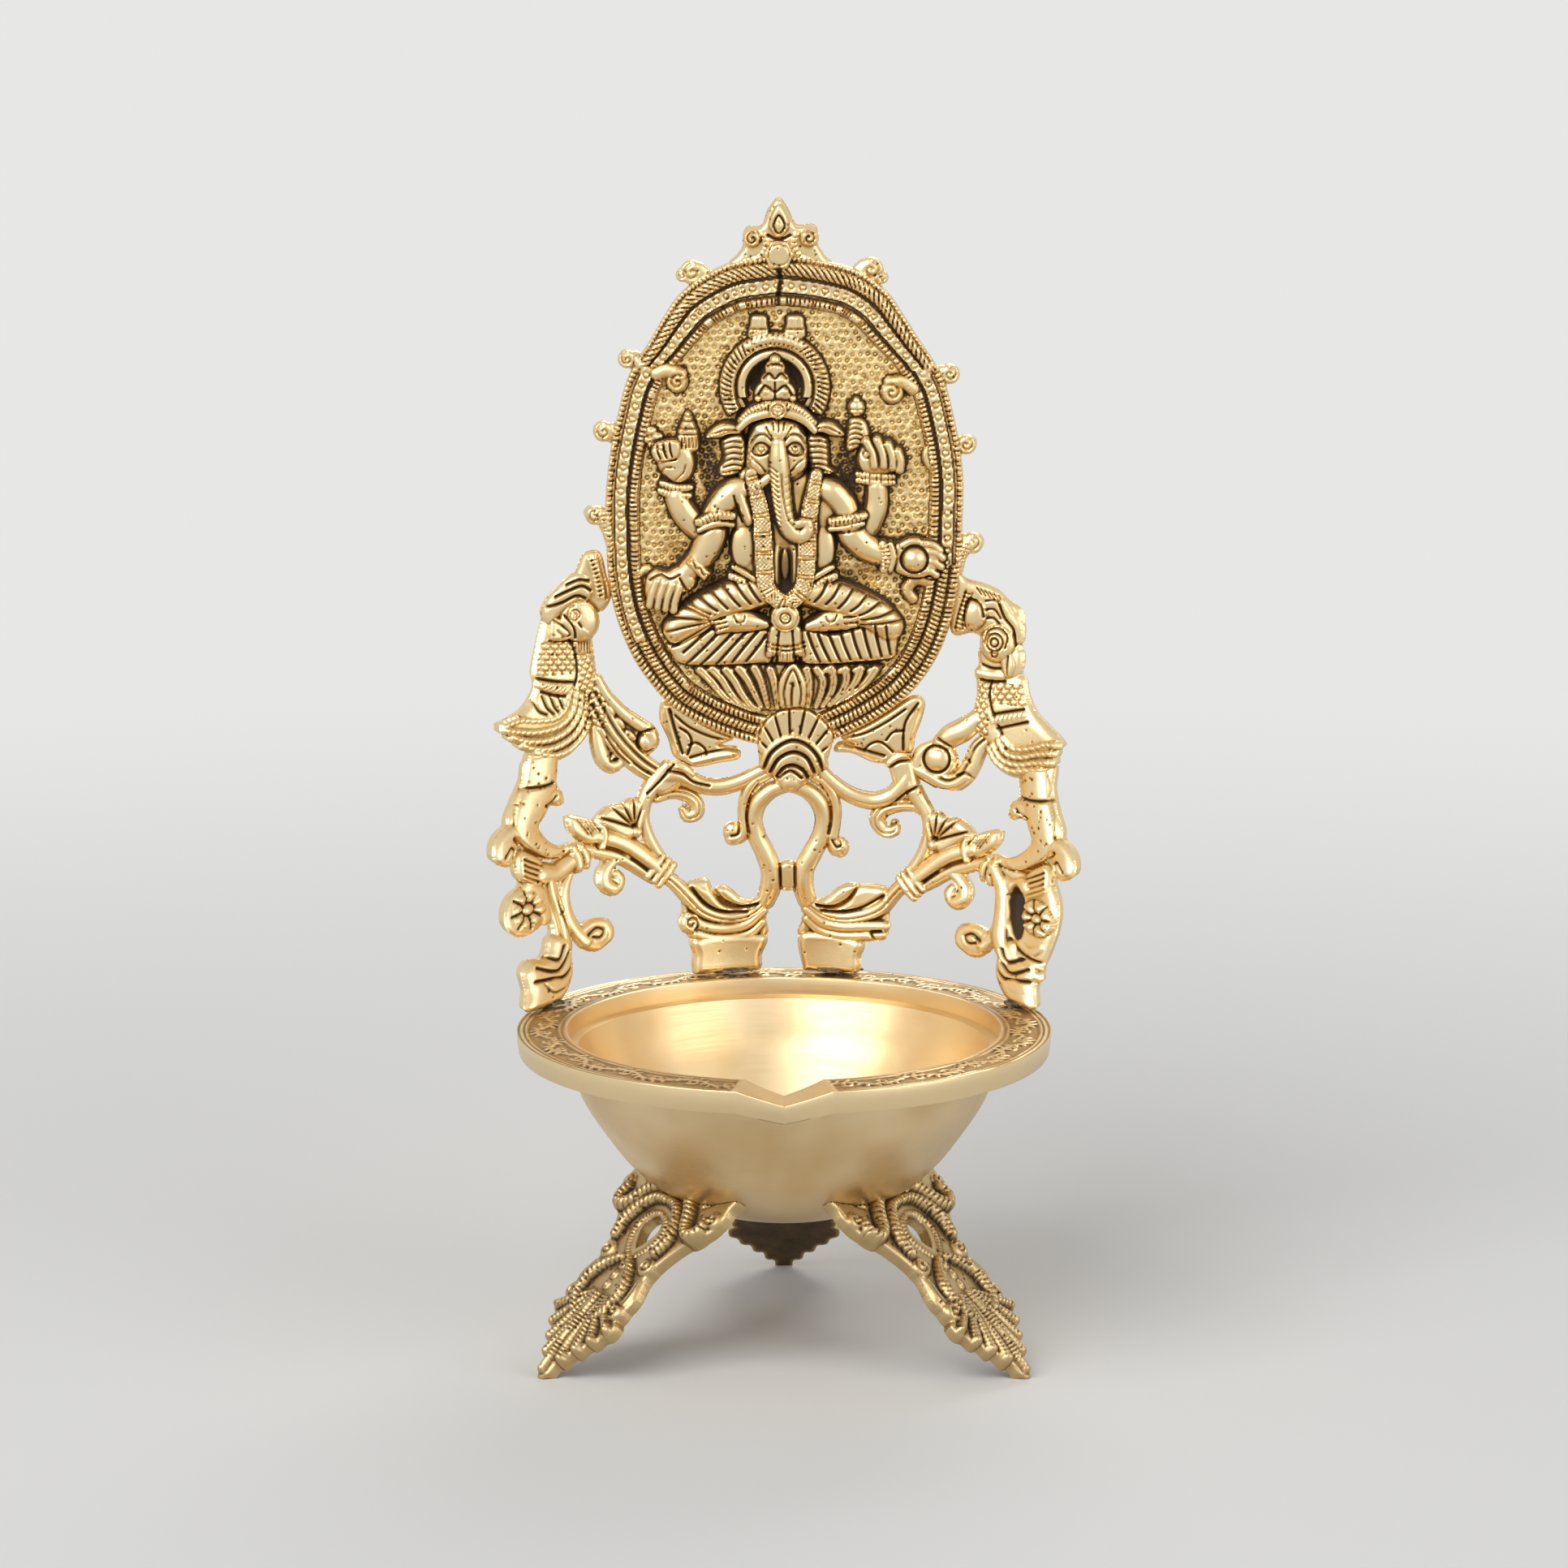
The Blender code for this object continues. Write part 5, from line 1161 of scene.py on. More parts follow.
def drawShell():
    s = newSheet((-11, 54), (18, 82), openwork["cell"])
    plate(s, shellOutline, 1.6, 2.6, soft=1.2)
    middle = (2.2, 60.2)
    for number in range(11):
        turn = math.radians(24 + 13.6 * number)
        near, far = 9.4, 19.8
        groove(s, [(middle[0] + near * math.cos(turn), middle[1] + near * math.sin(turn)),
                   (middle[0] + far * math.cos(turn), middle[1] + far * math.sin(turn))], 0.34, 0.9)
    plate(s, [(-7.2, 62.4), (-6, 67.2), (-2.4, 71), (3, 72.6), (8, 70.8), (11.6, 66.8), (12.8, 62), (9.4, 60),
              (5.6, 56.8), (2.2, 54.6), (-1.4, 56.8), (-4.2, 60.4)], 2.0, 3.2, soft=3)
    cutLines(s, 0.5, 1.5, [(-6, 61.8), (-4, 66.4), (-0.4, 69.4), (3, 70.4), (6.8, 69), (10, 65.4),
             (11.4, 61)], [(-4.2, 60.6), (-1.6, 65), (2.8, 67), (6.8, 65.2), (9, 60.6)], [(-2.2, 59.6),
             (0, 62.4), (3, 63), (5.8, 61.4), (7, 59)])
    boss(s, 1.9, 57.8, (3.2, 3.0), 1.6, 4.0)
    groove(s, [(-1.4, 59.4), (1.9, 61.4), (5.2, 59.2)], 0.4, 1.0)
    return s


finishCasting(drawNeck(), "neckLoop", ["neck"], 25, 30)
finishCasting(drawShell(), "shellFan", ["shell"], 26, 20, inset=0)


def drawOuterRight():
    s = newSheet((48, -1), (92, 70), openwork["cell"])
    plate(s, [(79.6, 66.6), (69.8, 62.4), (69.6, 57), (67.6, 54), (67.6, 51.6), (70.6, 50.4), (73, 49.4),
              (73.4, 46), (71.6, 42.8), (68.6, 40), (66, 38.4), (70, 36.6), (76, 40), (80.6, 44.6), (82.6, 49),
              (80.8, 54), (79.4, 60)], 1.3, 0.7, soft=3.4)
    stem(s, [(74.8, 63.4, 3.8), (74.8, 57, 4.2), (76.4, 51, 4.4), (77, 46.4, 3.8), (75.4, 42.6, 2.8),
             (72, 39.4, 2.1), (67.4, 37.6, 1.5), (63, 38.6, 1.0)], 0.32, 1.9)
    stem(s, [(72, 53.6, 2.3), (69.4, 53.2, 2.2), (68, 51.6, 1.4)], 0.55, 1.6)
    groove(s, [(79.6, 57), (74, 56.4), (69, 57)], 0.42, 0.9)
    groove(s, [(72.6, 51.2), (70.6, 51.8), (69.6, 53.2)], 0.4, 0.8)
    pit(s, 12, 26, 0.3)
    stem(s, [(75, 42, 2), (78.6, 44.4, 2.6), (82.2, 44.4, 2.6), (84.6, 42.4, 2.5), (84.6, 39.8, 2.5),
             (82.2, 38.4, 2.2)], 0.62, 1.0)
    boss(s, 83.2, 41.2, (4.0, 3.9), 1.6, 1.1, crown=3)
    groove(s, [(84, 38.8), (82.2, 41), (80.8, 40), (81.2, 38.4)], 0.4, 0.8)
    groove(s, [(80.8, 43.2), (77.5, 40.6), (73.5, 38), (69, 35.8), (64.8, 36)], 0.5, 1.6)
    plate(s, [(79.2, 37.8), (76.8, 39.8), (71.2, 35.4), (70.4, 29.4), (74, 29.6), (78.2, 32.4)], 1.9, 0.7,
          soft=1.6)
    for number in range(5):
        shift = 1.5 * number
        groove(s, [(77.6 - 0.1 * shift, 37.6 - shift), (71.8, 34.6 - shift * 0.95)], 0.3, 0.65)
    for place in (71.8, 70.4):
        groove(s, [(place, 35), (place - 0.2, 29.2)], 0.32, 0.75)
    stem(s, [(71, 32.4, 2.9), (67.5, 31.8, 2.7), (64.6, 33.2, 2.6), (61.4, 35, 2.4), (57.8, 36, 1.8)], 0.72,
         0.8)
    stem(s, [(63.6, 38, 1.0), (62.2, 35, 1.2), (61.6, 32, 1.0)], 0.9, 2.2)
    stem(s, [(61.2, 38.2, 0.9), (59.9, 35.4, 1.1), (59.4, 32.6, 0.9)], 0.9, 2.1)
    plate(s, [(61, 38), (66, 38.4), (72, 36), (77.4, 36), (79.8, 33), (80.8, 28), (79.8, 22.6), (77.6, 17.6),
              (75, 12), (74, 8), (66, 8), (63.4, 12), (62, 18), (62.6, 24), (63, 30), (61.8, 34)], 1.7, 0.4,
          soft=3)
    petals(s, 75.2, 25, 4.7, 7, 0, lift=1.0)
    stem(s, [(69.8, 17.6, 1.3), (73, 15.6, 1.4), (75.4, 17.6, 1.1)], 0.8, 1.4)
    cutLines(s, 0.4, 0.9, [(67.4, 17.8), (70.8, 14.6), (74.8, 13.4)], [(66.2, 15.6), (69.6, 12.4),
             (74.4, 10.8)])
    stem(s, [(62.6, 36.6, 1.8), (65, 31, 2.1), (65, 24, 2.0), (64.4, 18, 2.2), (66, 13, 2.4)], 0.8, 1.8)
    # a sunk hollow painted dark as the shade of the post's opening
    hollow = np.exp(-(((s["x"] - 69.2) / 2.1) ** 2 + ((s["z"] - 25.2) / 6.8) ** 2) ** 3)
    s["top"] -= 2.2 * hollow
    s["stainAndShade"] = np.maximum(s["stainAndShade"], hollow)
    stem(s, [(63.4, 31.4, 1.1), (64.6, 28.2, 1.3), (64.8, 24.6, 1.5), (63.6, 20.4, 1.6), (61.2, 16.6, 1.7),
             (58.8, 14.2, 2.2)], 0.9, 0.7)
    boss(s, 55.8, 14.6, (4.5, 4.3), 1.9, 0.7, crown=2.6)
    stem(s, [(60.2, 16.4, 1.2), (57.2, 17.8, 1.4), (53.8, 17, 1.6), (52.8, 14, 1.6), (55.4, 12, 1.4)], 0.6, 1.5)
    groove(s, [(58.8, 15.2), (56.6, 16.8), (54.6, 15.8), (55.6, 14.2), (57.6, 14.6)], 0.35, 0.7)
    plate(s, [(74, 10.6), (73.4, 13), (71.6, 12.8), (70, 14.2), (68.8, 17.6), (63.8, 17.4), (62.8, 11.6),
              (62.6, 7.4), (64.4, 3), (67, 0.8), (72.6, 0.8), (73, 6)], 2.2, 0.7, soft=3.2)
    cutLines(s, 0.45, 1.1, [(70.6, 13.2), (67.4, 11.8), (66, 14.8)], [(72.4, 11), (67.8, 9), (64.4, 12.8)],
             [(72.4, 7.8), (69, 7.4), (66, 7.2), (63.4, 9.2)])
    boss(s, 68.8, 5.2, (3.6, 2.4), 1.0, 2.0)
    return s


def drawBirdRight():
    s = newSheet((31, 56), (90, 125), openwork["cell"])
    # arm that springs from the medallion
    plate(s, [(50.4, 120), (53.4, 117.8), (58, 116.6), (62.4, 115), (66, 112), (69.6, 109.6), (70.6, 106.4),
              (69.8, 100), (70.2, 94), (66, 90), (62, 92), (58.6, 95), (59, 100), (55.4, 102), (50.4, 101.2),
              (48.8, 104), (49.6, 112)], 1.6, 0.8, soft=3.2)
    boss(s, 56, 107.4, (4.0, 4.6), 2.2, 1.9, turn=-20)
    groove(s, [(53.4, 104), (53, 108), (54.4, 112), (57.8, 110.6), (59, 107)], 0.34, 0.9)
    for number in range(9):
        x, z = 50.4 + 0.32 * number, 103.6 + 1.3 * number
        groove(s, [(x, z), (x + 1.7, z - 0.5)], 0.24, 0.6)
    groove(s, [(50.2, 103), (51.2, 108), (53.4, 114.6)], 0.3, 0.6)
    groove(s, [(52.6, 103), (53, 108), (55.4, 113.8)], 0.3, 0.5)
    for number in range(6):
        x, z = 56.6 + 1.3 * number, 115.4 - 0.45 * number
        groove(s, [(x, z), (x + 1.6, z - 2)], 0.26, 0.6)
    cutLines(s, 0.3, 0.7, [(59.4, 111.6), (62.4, 111.8), (64.6, 109.4)], [(59.4, 109), (62, 109.2),
             (64, 106.6)], [(60, 106.6), (62, 106.6), (64, 104.6)])
    stem(s, [(64.6, 111, 1.4), (66.4, 108, 1.9), (69, 104.6, 1.7), (69.4, 100.6, 1.2)], 0.7, 1.6)
    groove(s, [(63.6, 110.6), (65.2, 107), (68, 103.6), (68.4, 99)], 0.35, 1.0)
    # body, scaled down to its wing and tail
    plate(s, [(57.6, 89), (66, 90.8), (70.6, 90), (71.8, 85), (73.8, 80.6), (77, 77.6), (81.6, 74.6),
          (82.8, 72.4), (80.6, 69.6), (79.4, 66), (75.6, 64.2), (70, 62), (66.4, 62), (62.8, 64),
          (60.4, 67.6), (59.6, 71), (55.6, 74.6), (56, 79), (57, 84)], 1.7, 0.8, soft=3.4)
    own = (s["x"] > 61.8) & (s["z"] > 82) & (s["z"] < 88) & (s["edge"] < -0.8)
    scales(s, own, 2.5, 6, 0.42, 66, 80)
    own = (s["x"] > 55.8) & (s["x"] < 60.8) & (s["z"] > 72.6) & (s["z"] < 87.6) & (s["edge"] < -0.6)
    scales(s, own, 2.4, -6, 0.42, 58, 80)
    groove(s, [(61.4, 88.6), (61.2, 83), (62.8, 78), (65, 73.6)], 0.4, 1.0)
    stem(s, [(62.6, 77, 1.2), (66.6, 78.2, 1.4), (71.4, 79.6, 1.2)], 0.5, 2.1, rope=(1.4, 0.4, 0.5))
    cutLines(s, 0.34, 0.9, [(62.4, 79), (66.4, 80), (71.2, 81.2)], [(63.6, 75), (68, 76.4), (72.4, 77.8)])
    sweeps = [([(82, 72.6), (77.6, 72.2), (72.6, 70.4), (68, 70), (65, 72.4)], 1.2),
              ([(80.4, 70.2), (75.6, 69.4), (70.6, 67.8), (66.2, 68.4), (63.8, 71.6)], 1.25),
              ([(79.6, 67.6), (74.6, 66.8), (69.6, 65.6), (65, 66.6), (62.4, 70)], 1.25),
              ([(77, 65.4), (72, 64.4), (67.6, 63.8), (63.6, 65.6), (61.4, 69)], 1.15)]
    for number, (points, radius) in enumerate(sweeps):
        stem(s, [(*point, radius) for point in points], 1.15, 1.5 + 0.12 * number, rope=(1.9, 0.2, -0.7))
    # head with a ringed eye, its beak and collar
    plate(s, [(58.4, 98), (57.6, 93), (57, 88.6), (66, 88.6), (69.8, 91), (69.6, 98)], 1.5, 1.0, soft=2.4)
    boss(s, 63.2, 99.4, (5.2, 5.6), 2.3, 1.9, crown=2.4)
    ring(s, 62.8, 99.9, 2.5, 0.3, -0.8)
    ring(s, 62.8, 99.9, 1.2, 0.28, -0.8)
    groove(s, [(59.6, 99.6), (60.6, 103), (63.8, 103.9), (66.4, 101.8), (66, 98.4)], 0.32, 0.8)
    groove(s, [(61.6, 96.6), (62.8, 95.4), (63.8, 96.8), (61.8, 96.8)], 0.3, 0.7)
    plate(s, [(64.4, 96.6), (67.6, 97), (69, 93.4), (67.4, 89.8), (65.8, 89.8), (64.4, 93)], 1.2, 1.9, soft=1.4)
    groove(s, [(66.8, 96), (66.4, 92.6), (66.6, 90)], 0.28, 0.6)
    stem(s, [(57.8, 90.6, 1.3), (60.6, 90.2, 1.5), (64.6, 90, 1.3)], 0.8, 1.9)
    cutLines(s, 0.34, 0.9, [(58.6, 93.2), (61.6, 92.2), (64.2, 92.2)], [(58.2, 88.8), (61.6, 88.2),
             (65.6, 88.6)])
    # limb down to the middle
    stem(s, [(57.4, 77.4, 2.4), (53, 73.6, 3.2), (49, 71.2, 3.2), (45.6, 67.6, 2.8)], 0.7, 0.7)
    stem(s, [(61, 72, 1.8), (57.6, 68.6, 2.4), (55.6, 64, 2.6), (53, 60, 2.6), (48.6, 58, 2.8),
             (42.4, 60.6, 2.8), (37.6, 62.2, 2.2)], 0.7, 0.7, grooves=((0.3, 0.16, 0.8),))
    plate(s, [(38.6, 66.6), (42.4, 69.4), (47, 69.6), (50.4, 67.4), (51.2, 63), (47, 58.6), (40.6, 58.4),
              (37, 61)], 1.6, 0.7, soft=2)
    boss(s, 45.4, 64.8, (3.6, 3.6), 1.5, 1.5)
    ring(s, 45.4, 64.8, 3.9, 0.4, -1.0)
    groove(s, [(45.6, 71), (49.6, 68.6), (51.6, 65), (50.4, 61)], 0.38, 1.0)
    cutLines(s, 0.35, 0.8, [(50.6, 64.4), (53, 66), (55.6, 64.6)], [(51.6, 60.4), (54.6, 61.4), (56.4, 59.6)])
    groove(s, [(38.6, 59.6), (43.6, 56.8), (49, 56)], 0.4, 1.0)
    hole = np.hypot((s["x"] - 53.2) / 2.0, (s["z"] - 67.6) / 1.5) - 1
    s["edge"] = np.where(s["edge"] < 0, np.maximum(s["edge"], -hole * 1.6), s["edge"])
    return s


def drawBranchRight():
    s = newSheet((3, -1), (68, 66), openwork["cell"])
    plate(s, [(30.4, 25.8), (22, 24), (16, 20.8), (9.4, 22.2), (5.6, 23.4), (6, 17), (5.8, 10.4), (28, 11.4),
              (30.8, 15)], 0.8, 0.5, soft=1.6)
    plate(s, [(22.6, 10.6), (22.8, 5), (22.6, 1.8), (20.6, 0.6), (8, 0.6), (5.8, 1.8), (5.6, 12)], 1.9, 0.7,
          soft=2.2)
    stem(s, [(29.2, 12.4, 1.5), (24.6, 11.8, 1.6), (17, 11.3, 1.7), (11, 12.6, 1.6), (6.6, 16, 1.2)], 0.8, 1.2)
    stem(s, [(30, 15, 1.6), (25, 14.6, 1.8), (17.6, 14, 1.8), (11.4, 15.2, 1.7), (6.4, 19, 1.2)], 0.85, 1.3)
    stem(s, [(37, 29, 1.8), (33, 24.6, 2.0), (29.6, 20.6, 2.1), (24.6, 18, 2.1), (18, 16.8, 2.0),
         (12, 17.8, 1.7), (7, 21, 1.2)], 0.8, 1.3, grooves=((-0.2, 0.16, 0.5),))
    plate(s, [(30.6, 23.4), (30.6, 26.2), (25.6, 26.8), (21.4, 26.2), (19.4, 22.4), (15.4, 20), (9.6, 20.6),
              (8.4, 20.2), (12, 18.4), (18, 18.2), (25, 19.6)], 1.9, 1.1, soft=2.2)
    groove(s, [(30, 24), (24, 20.4), (18, 18.8), (11, 18.8)], 0.42, 0.9)
    plate(s, [(22, 26.4), (19.4, 26.8), (16, 25.4), (13, 22.8), (9.2, 21.8), (7.2, 22.4), (10.6, 20.2),
              (16, 20.2), (20, 23)], 1.8, 1.2, soft=1.8)
    groove(s, [(22.2, 26), (19.6, 22.6), (14.6, 20.2), (9.8, 20.4)], 0.38, 0.9)
    groove(s, [(27.4, 11), (26.6, 13), (29.4, 13.6)], 0.4, 1.0)
    plate(s, [(64, 46), (61.4, 45.8), (56.8, 43.8), (54, 42), (54, 38), (58, 38), (61.4, 40), (63.6, 42.6)],
          1.7, 0.8, soft=1.8)
    for number in range(5):
        shift = 1.25 * number
        groove(s, [(61.6 - shift, 45 - 0.35 * shift), (58.6 - shift, 40.8 - 0.45 * shift)], 0.28, 0.7)
    stem(s, [(60, 36.8, 1.7), (54.8, 35.2, 1.9), (49, 32.6, 1.9), (44.4, 29.6, 1.9), (40.6, 27, 1.6)], 0.85,
         0.6)
    stem(s, [(56.4, 40, 2.2), (51.4, 38.4, 2.7), (46.8, 35.6, 2.8), (42.6, 32, 2.8), (38.6, 28.6, 2.6)], 0.8,
         0.9)
    groove(s, [(55.8, 37), (50.4, 35.2), (45.4, 31.8), (41, 28.2)], 0.42, 1.3)
    stem(s, [(54.8, 42.8, 0.8), (54.2, 39.8, 1.0), (54.8, 36.8, 0.8)], 0.9, 2.2)
    for shift in (-2.1, 0, 2.1):
        x, z = 38.2 - 0.72 * shift, 28.2 - 0.68 * shift
        stem(s, [(x + 2.3, z - 2.7, 0.9), (x, z, 1.3), (x - 2.2, z + 2.6, 0.9)], 0.95, 2.0 - 0.1 * abs(shift))
    stem(s, [(47.4, 32.6, 1.4), (51, 31.8, 1.7), (53.4, 29, 1.9), (53.2, 26, 2.0), (50.8, 24.4, 2.1),
             (49.2, 26.4, 1.6), (50, 28.2, 1.0)], 0.85, 0.7)
    groove(s, [(51, 29.6), (51.8, 27.4), (50.6, 26)], 0.35, 0.9)
    plate(s, [(56.2, 43.4), (55, 46), (52, 48), (49, 47.8), (46.8, 49.2), (44, 49.2), (42.2, 47.4), (42, 43.6),
              (43.6, 39.8), (47.4, 37.8), (53, 41)], 1.7, 1.0, soft=2)
    for end in ((55, 44.8), (52, 47.6), (48.6, 47.8), (45.8, 49.2), (43, 47.6)):
        groove(s, [(44.8, 41), (0.5 * (44.8 + end[0]) + 0.3, 0.5 * (41 + end[1]) + 0.2), end], 0.34, 0.9)
    boss(s, 44.8, 40, (1.5, 1.5), 1.2, 2.2)
    stem(s, [(35.4, 62, 1.9), (38, 56, 2.6), (40.4, 52, 2.4), (42.8, 48, 2.0), (43, 43, 1.7), (41.6, 38, 1.6),
             (39.6, 34, 1.6), (37.4, 30.6, 1.6)], 0.85, 0.8)
    plate(s, [(37.8, 64.6), (34.6, 65.4), (31, 63.2), (31.6, 60), (33, 56), (36, 53.4), (40, 55), (39.4, 60)],
          2.0, 0.8, soft=2.4)
    stem(s, [(36.6, 62.8, 2), (36, 58, 2.8), (32.6, 53.6, 2.8), (27.6, 51.6, 2.6), (22, 52.4, 2.4),
             (17, 55, 2.2), (12.6, 58.8, 2.0), (11, 61.4, 1.4)], 0.8, 0.8)
    stem(s, [(37, 66, 1.0), (33.6, 65.2, 1.2), (30.8, 63, 1.0)], 0.8, 2.0)
    groove(s, [(38, 64.2), (34, 63.6), (31.4, 62)], 0.34, 0.9)
    groove(s, [(40, 56.6), (35.6, 54), (31, 50), (26, 48.8)], 0.38, 1.1)
    stem(s, [(41.6, 49, 1.6), (38.6, 50.6, 1.7), (34, 50.4, 1.8), (29.6, 49, 2.2), (27.6, 46, 2.2),
             (29.6, 43, 2.0), (32.6, 43.2, 1.8), (33, 45, 1.2)], 0.85, 0.8, grooves=((0.35, 0.18, 0.5),))
    groove(s, [(30.4, 47.4), (31.4, 44.8), (33.2, 45.2)], 0.4, 0.9)
    return s


def drawFanRight():
    s = newSheet((9, 57), (45, 86), openwork["cell"])
    plate(s, [(38, 83), (41.2, 81.4), (40.6, 77), (38.6, 71), (37.6, 66.4), (34, 65.6), (30.4, 63.2),
              (26, 63.4), (20, 66), (15, 66.6), (16.4, 69.2), (20.6, 68.6), (17, 70.8), (24, 74.4), (31, 78.6)],
          1.6, 0.7, soft=1.6)
    ridge(s, [(39.6, 80), (38, 74), (36.4, 67.6)], 0.6, 0.5)
    cutLines(s, 0.36, 0.8, [(39.4, 81), (35.6, 75), (35.2, 67)], [(35.6, 79.2), (30.4, 75.6), (24, 72.2),
             (17.6, 70.6)], [(29.6, 65.4), (24, 67), (18, 68.6)])
    cutLines(s, 0.34, 0.8, [(30, 70), (32, 72.4), (35, 72.8)], [(32.2, 66.4), (28.6, 69.4), (25.6, 69),
             (23.6, 67)])
    ridge(s, [(29, 64.4), (22, 66.4), (16, 67.6)], 0.5, 0.4)
    return s


finishCasting(drawOuterRight(), "scrollPostRight", ["outer_scroll_right"], 31)
finishCasting(drawBirdRight(), "peacockRight", ["bird_right"], 32)
finishCasting(drawBranchRight(), "branchRight", ["branch_right"], 33)
finishCasting(drawFanRight(), "fanLeafRight", ["fan_leaf_right"], 34)


# Medallion: a punched ground inside a border of ropes and rings, with the figure on its lotus
medallion = {"cell": 0.34, "figureCell": 0.3, "ground": 2.1, "topWidth": 16.3, "sideWidth": 10.0,
             "footWidth": 9.0, "archLeft": 180.5, "archRight": 179.0, "ropesBelow": 110.0,
             "ropePitch": 1.5, "ringPitch": 3.7}
medalLow, medalHigh = (-62, 62), (62, 231)
ovalOutline = [(-1, 212.6), (-8, 211.8), (-15, 210.6), (-22, 207.4), (-30, 201.6), (-35, 194.6), (-39.4, 187),
               (-43.4, 181), (-46.2, 175), (-48, 168), (-50, 159), (-51.4, 150), (-52.2, 140), (-52, 130),
               (-51.6, 120), (-50, 110), (-47.6, 102), (-44, 94), (-39, 86.6), (-33, 80), (-26, 75.6),
               (-18, 72), (-9, 69), (1, 68), (11, 69), (20, 72.6), (28, 77), (35, 82), (40.6, 88), (45.4, 95.6),
               (48.6, 104), (50.6, 113), (51.8, 123), (52.2, 135), (52.4, 146), (51.4, 156), (49.4, 166),
               (47, 175), (43.4, 182), (39.6, 187.6), (35, 194.8), (30, 202), (22, 208), (13, 210.8),
               (6, 212)]


def findOval(sheet):
    line = smoothLine(ovalOutline, closed=True, step=1.6)
    found = measure(sheet, line, 19)
    inside = insideOf(sheet, line)
    depth = np.where(inside, found["near"], -found["near"])
    top = np.clip((sheet["z"] - 182) / 24, 0, 1) ** 0.85
    foot = np.clip((100 - sheet["z"]) / 22, 0, 1)
    width = (medallion["sideWidth"] + (medallion["topWidth"] - medallion["sideWidth"]) * top
             + (medallion["footWidth"] - medallion["sideWidth"]) * foot)
    return {"depth": depth, "width": width, "along": found["along"]}


oval = findOval(newSheet(medalLow, medalHigh, medallion["cell"]))


def band(share, low, high):
    # a rounded rib between two shares of the border's width
    middle = (2 * share - low - high) / (high - low)
    return np.where(np.abs(middle) < 1, np.sqrt(np.clip(1 - np.abs(middle) ** 2.6, 0, 1)), -1)


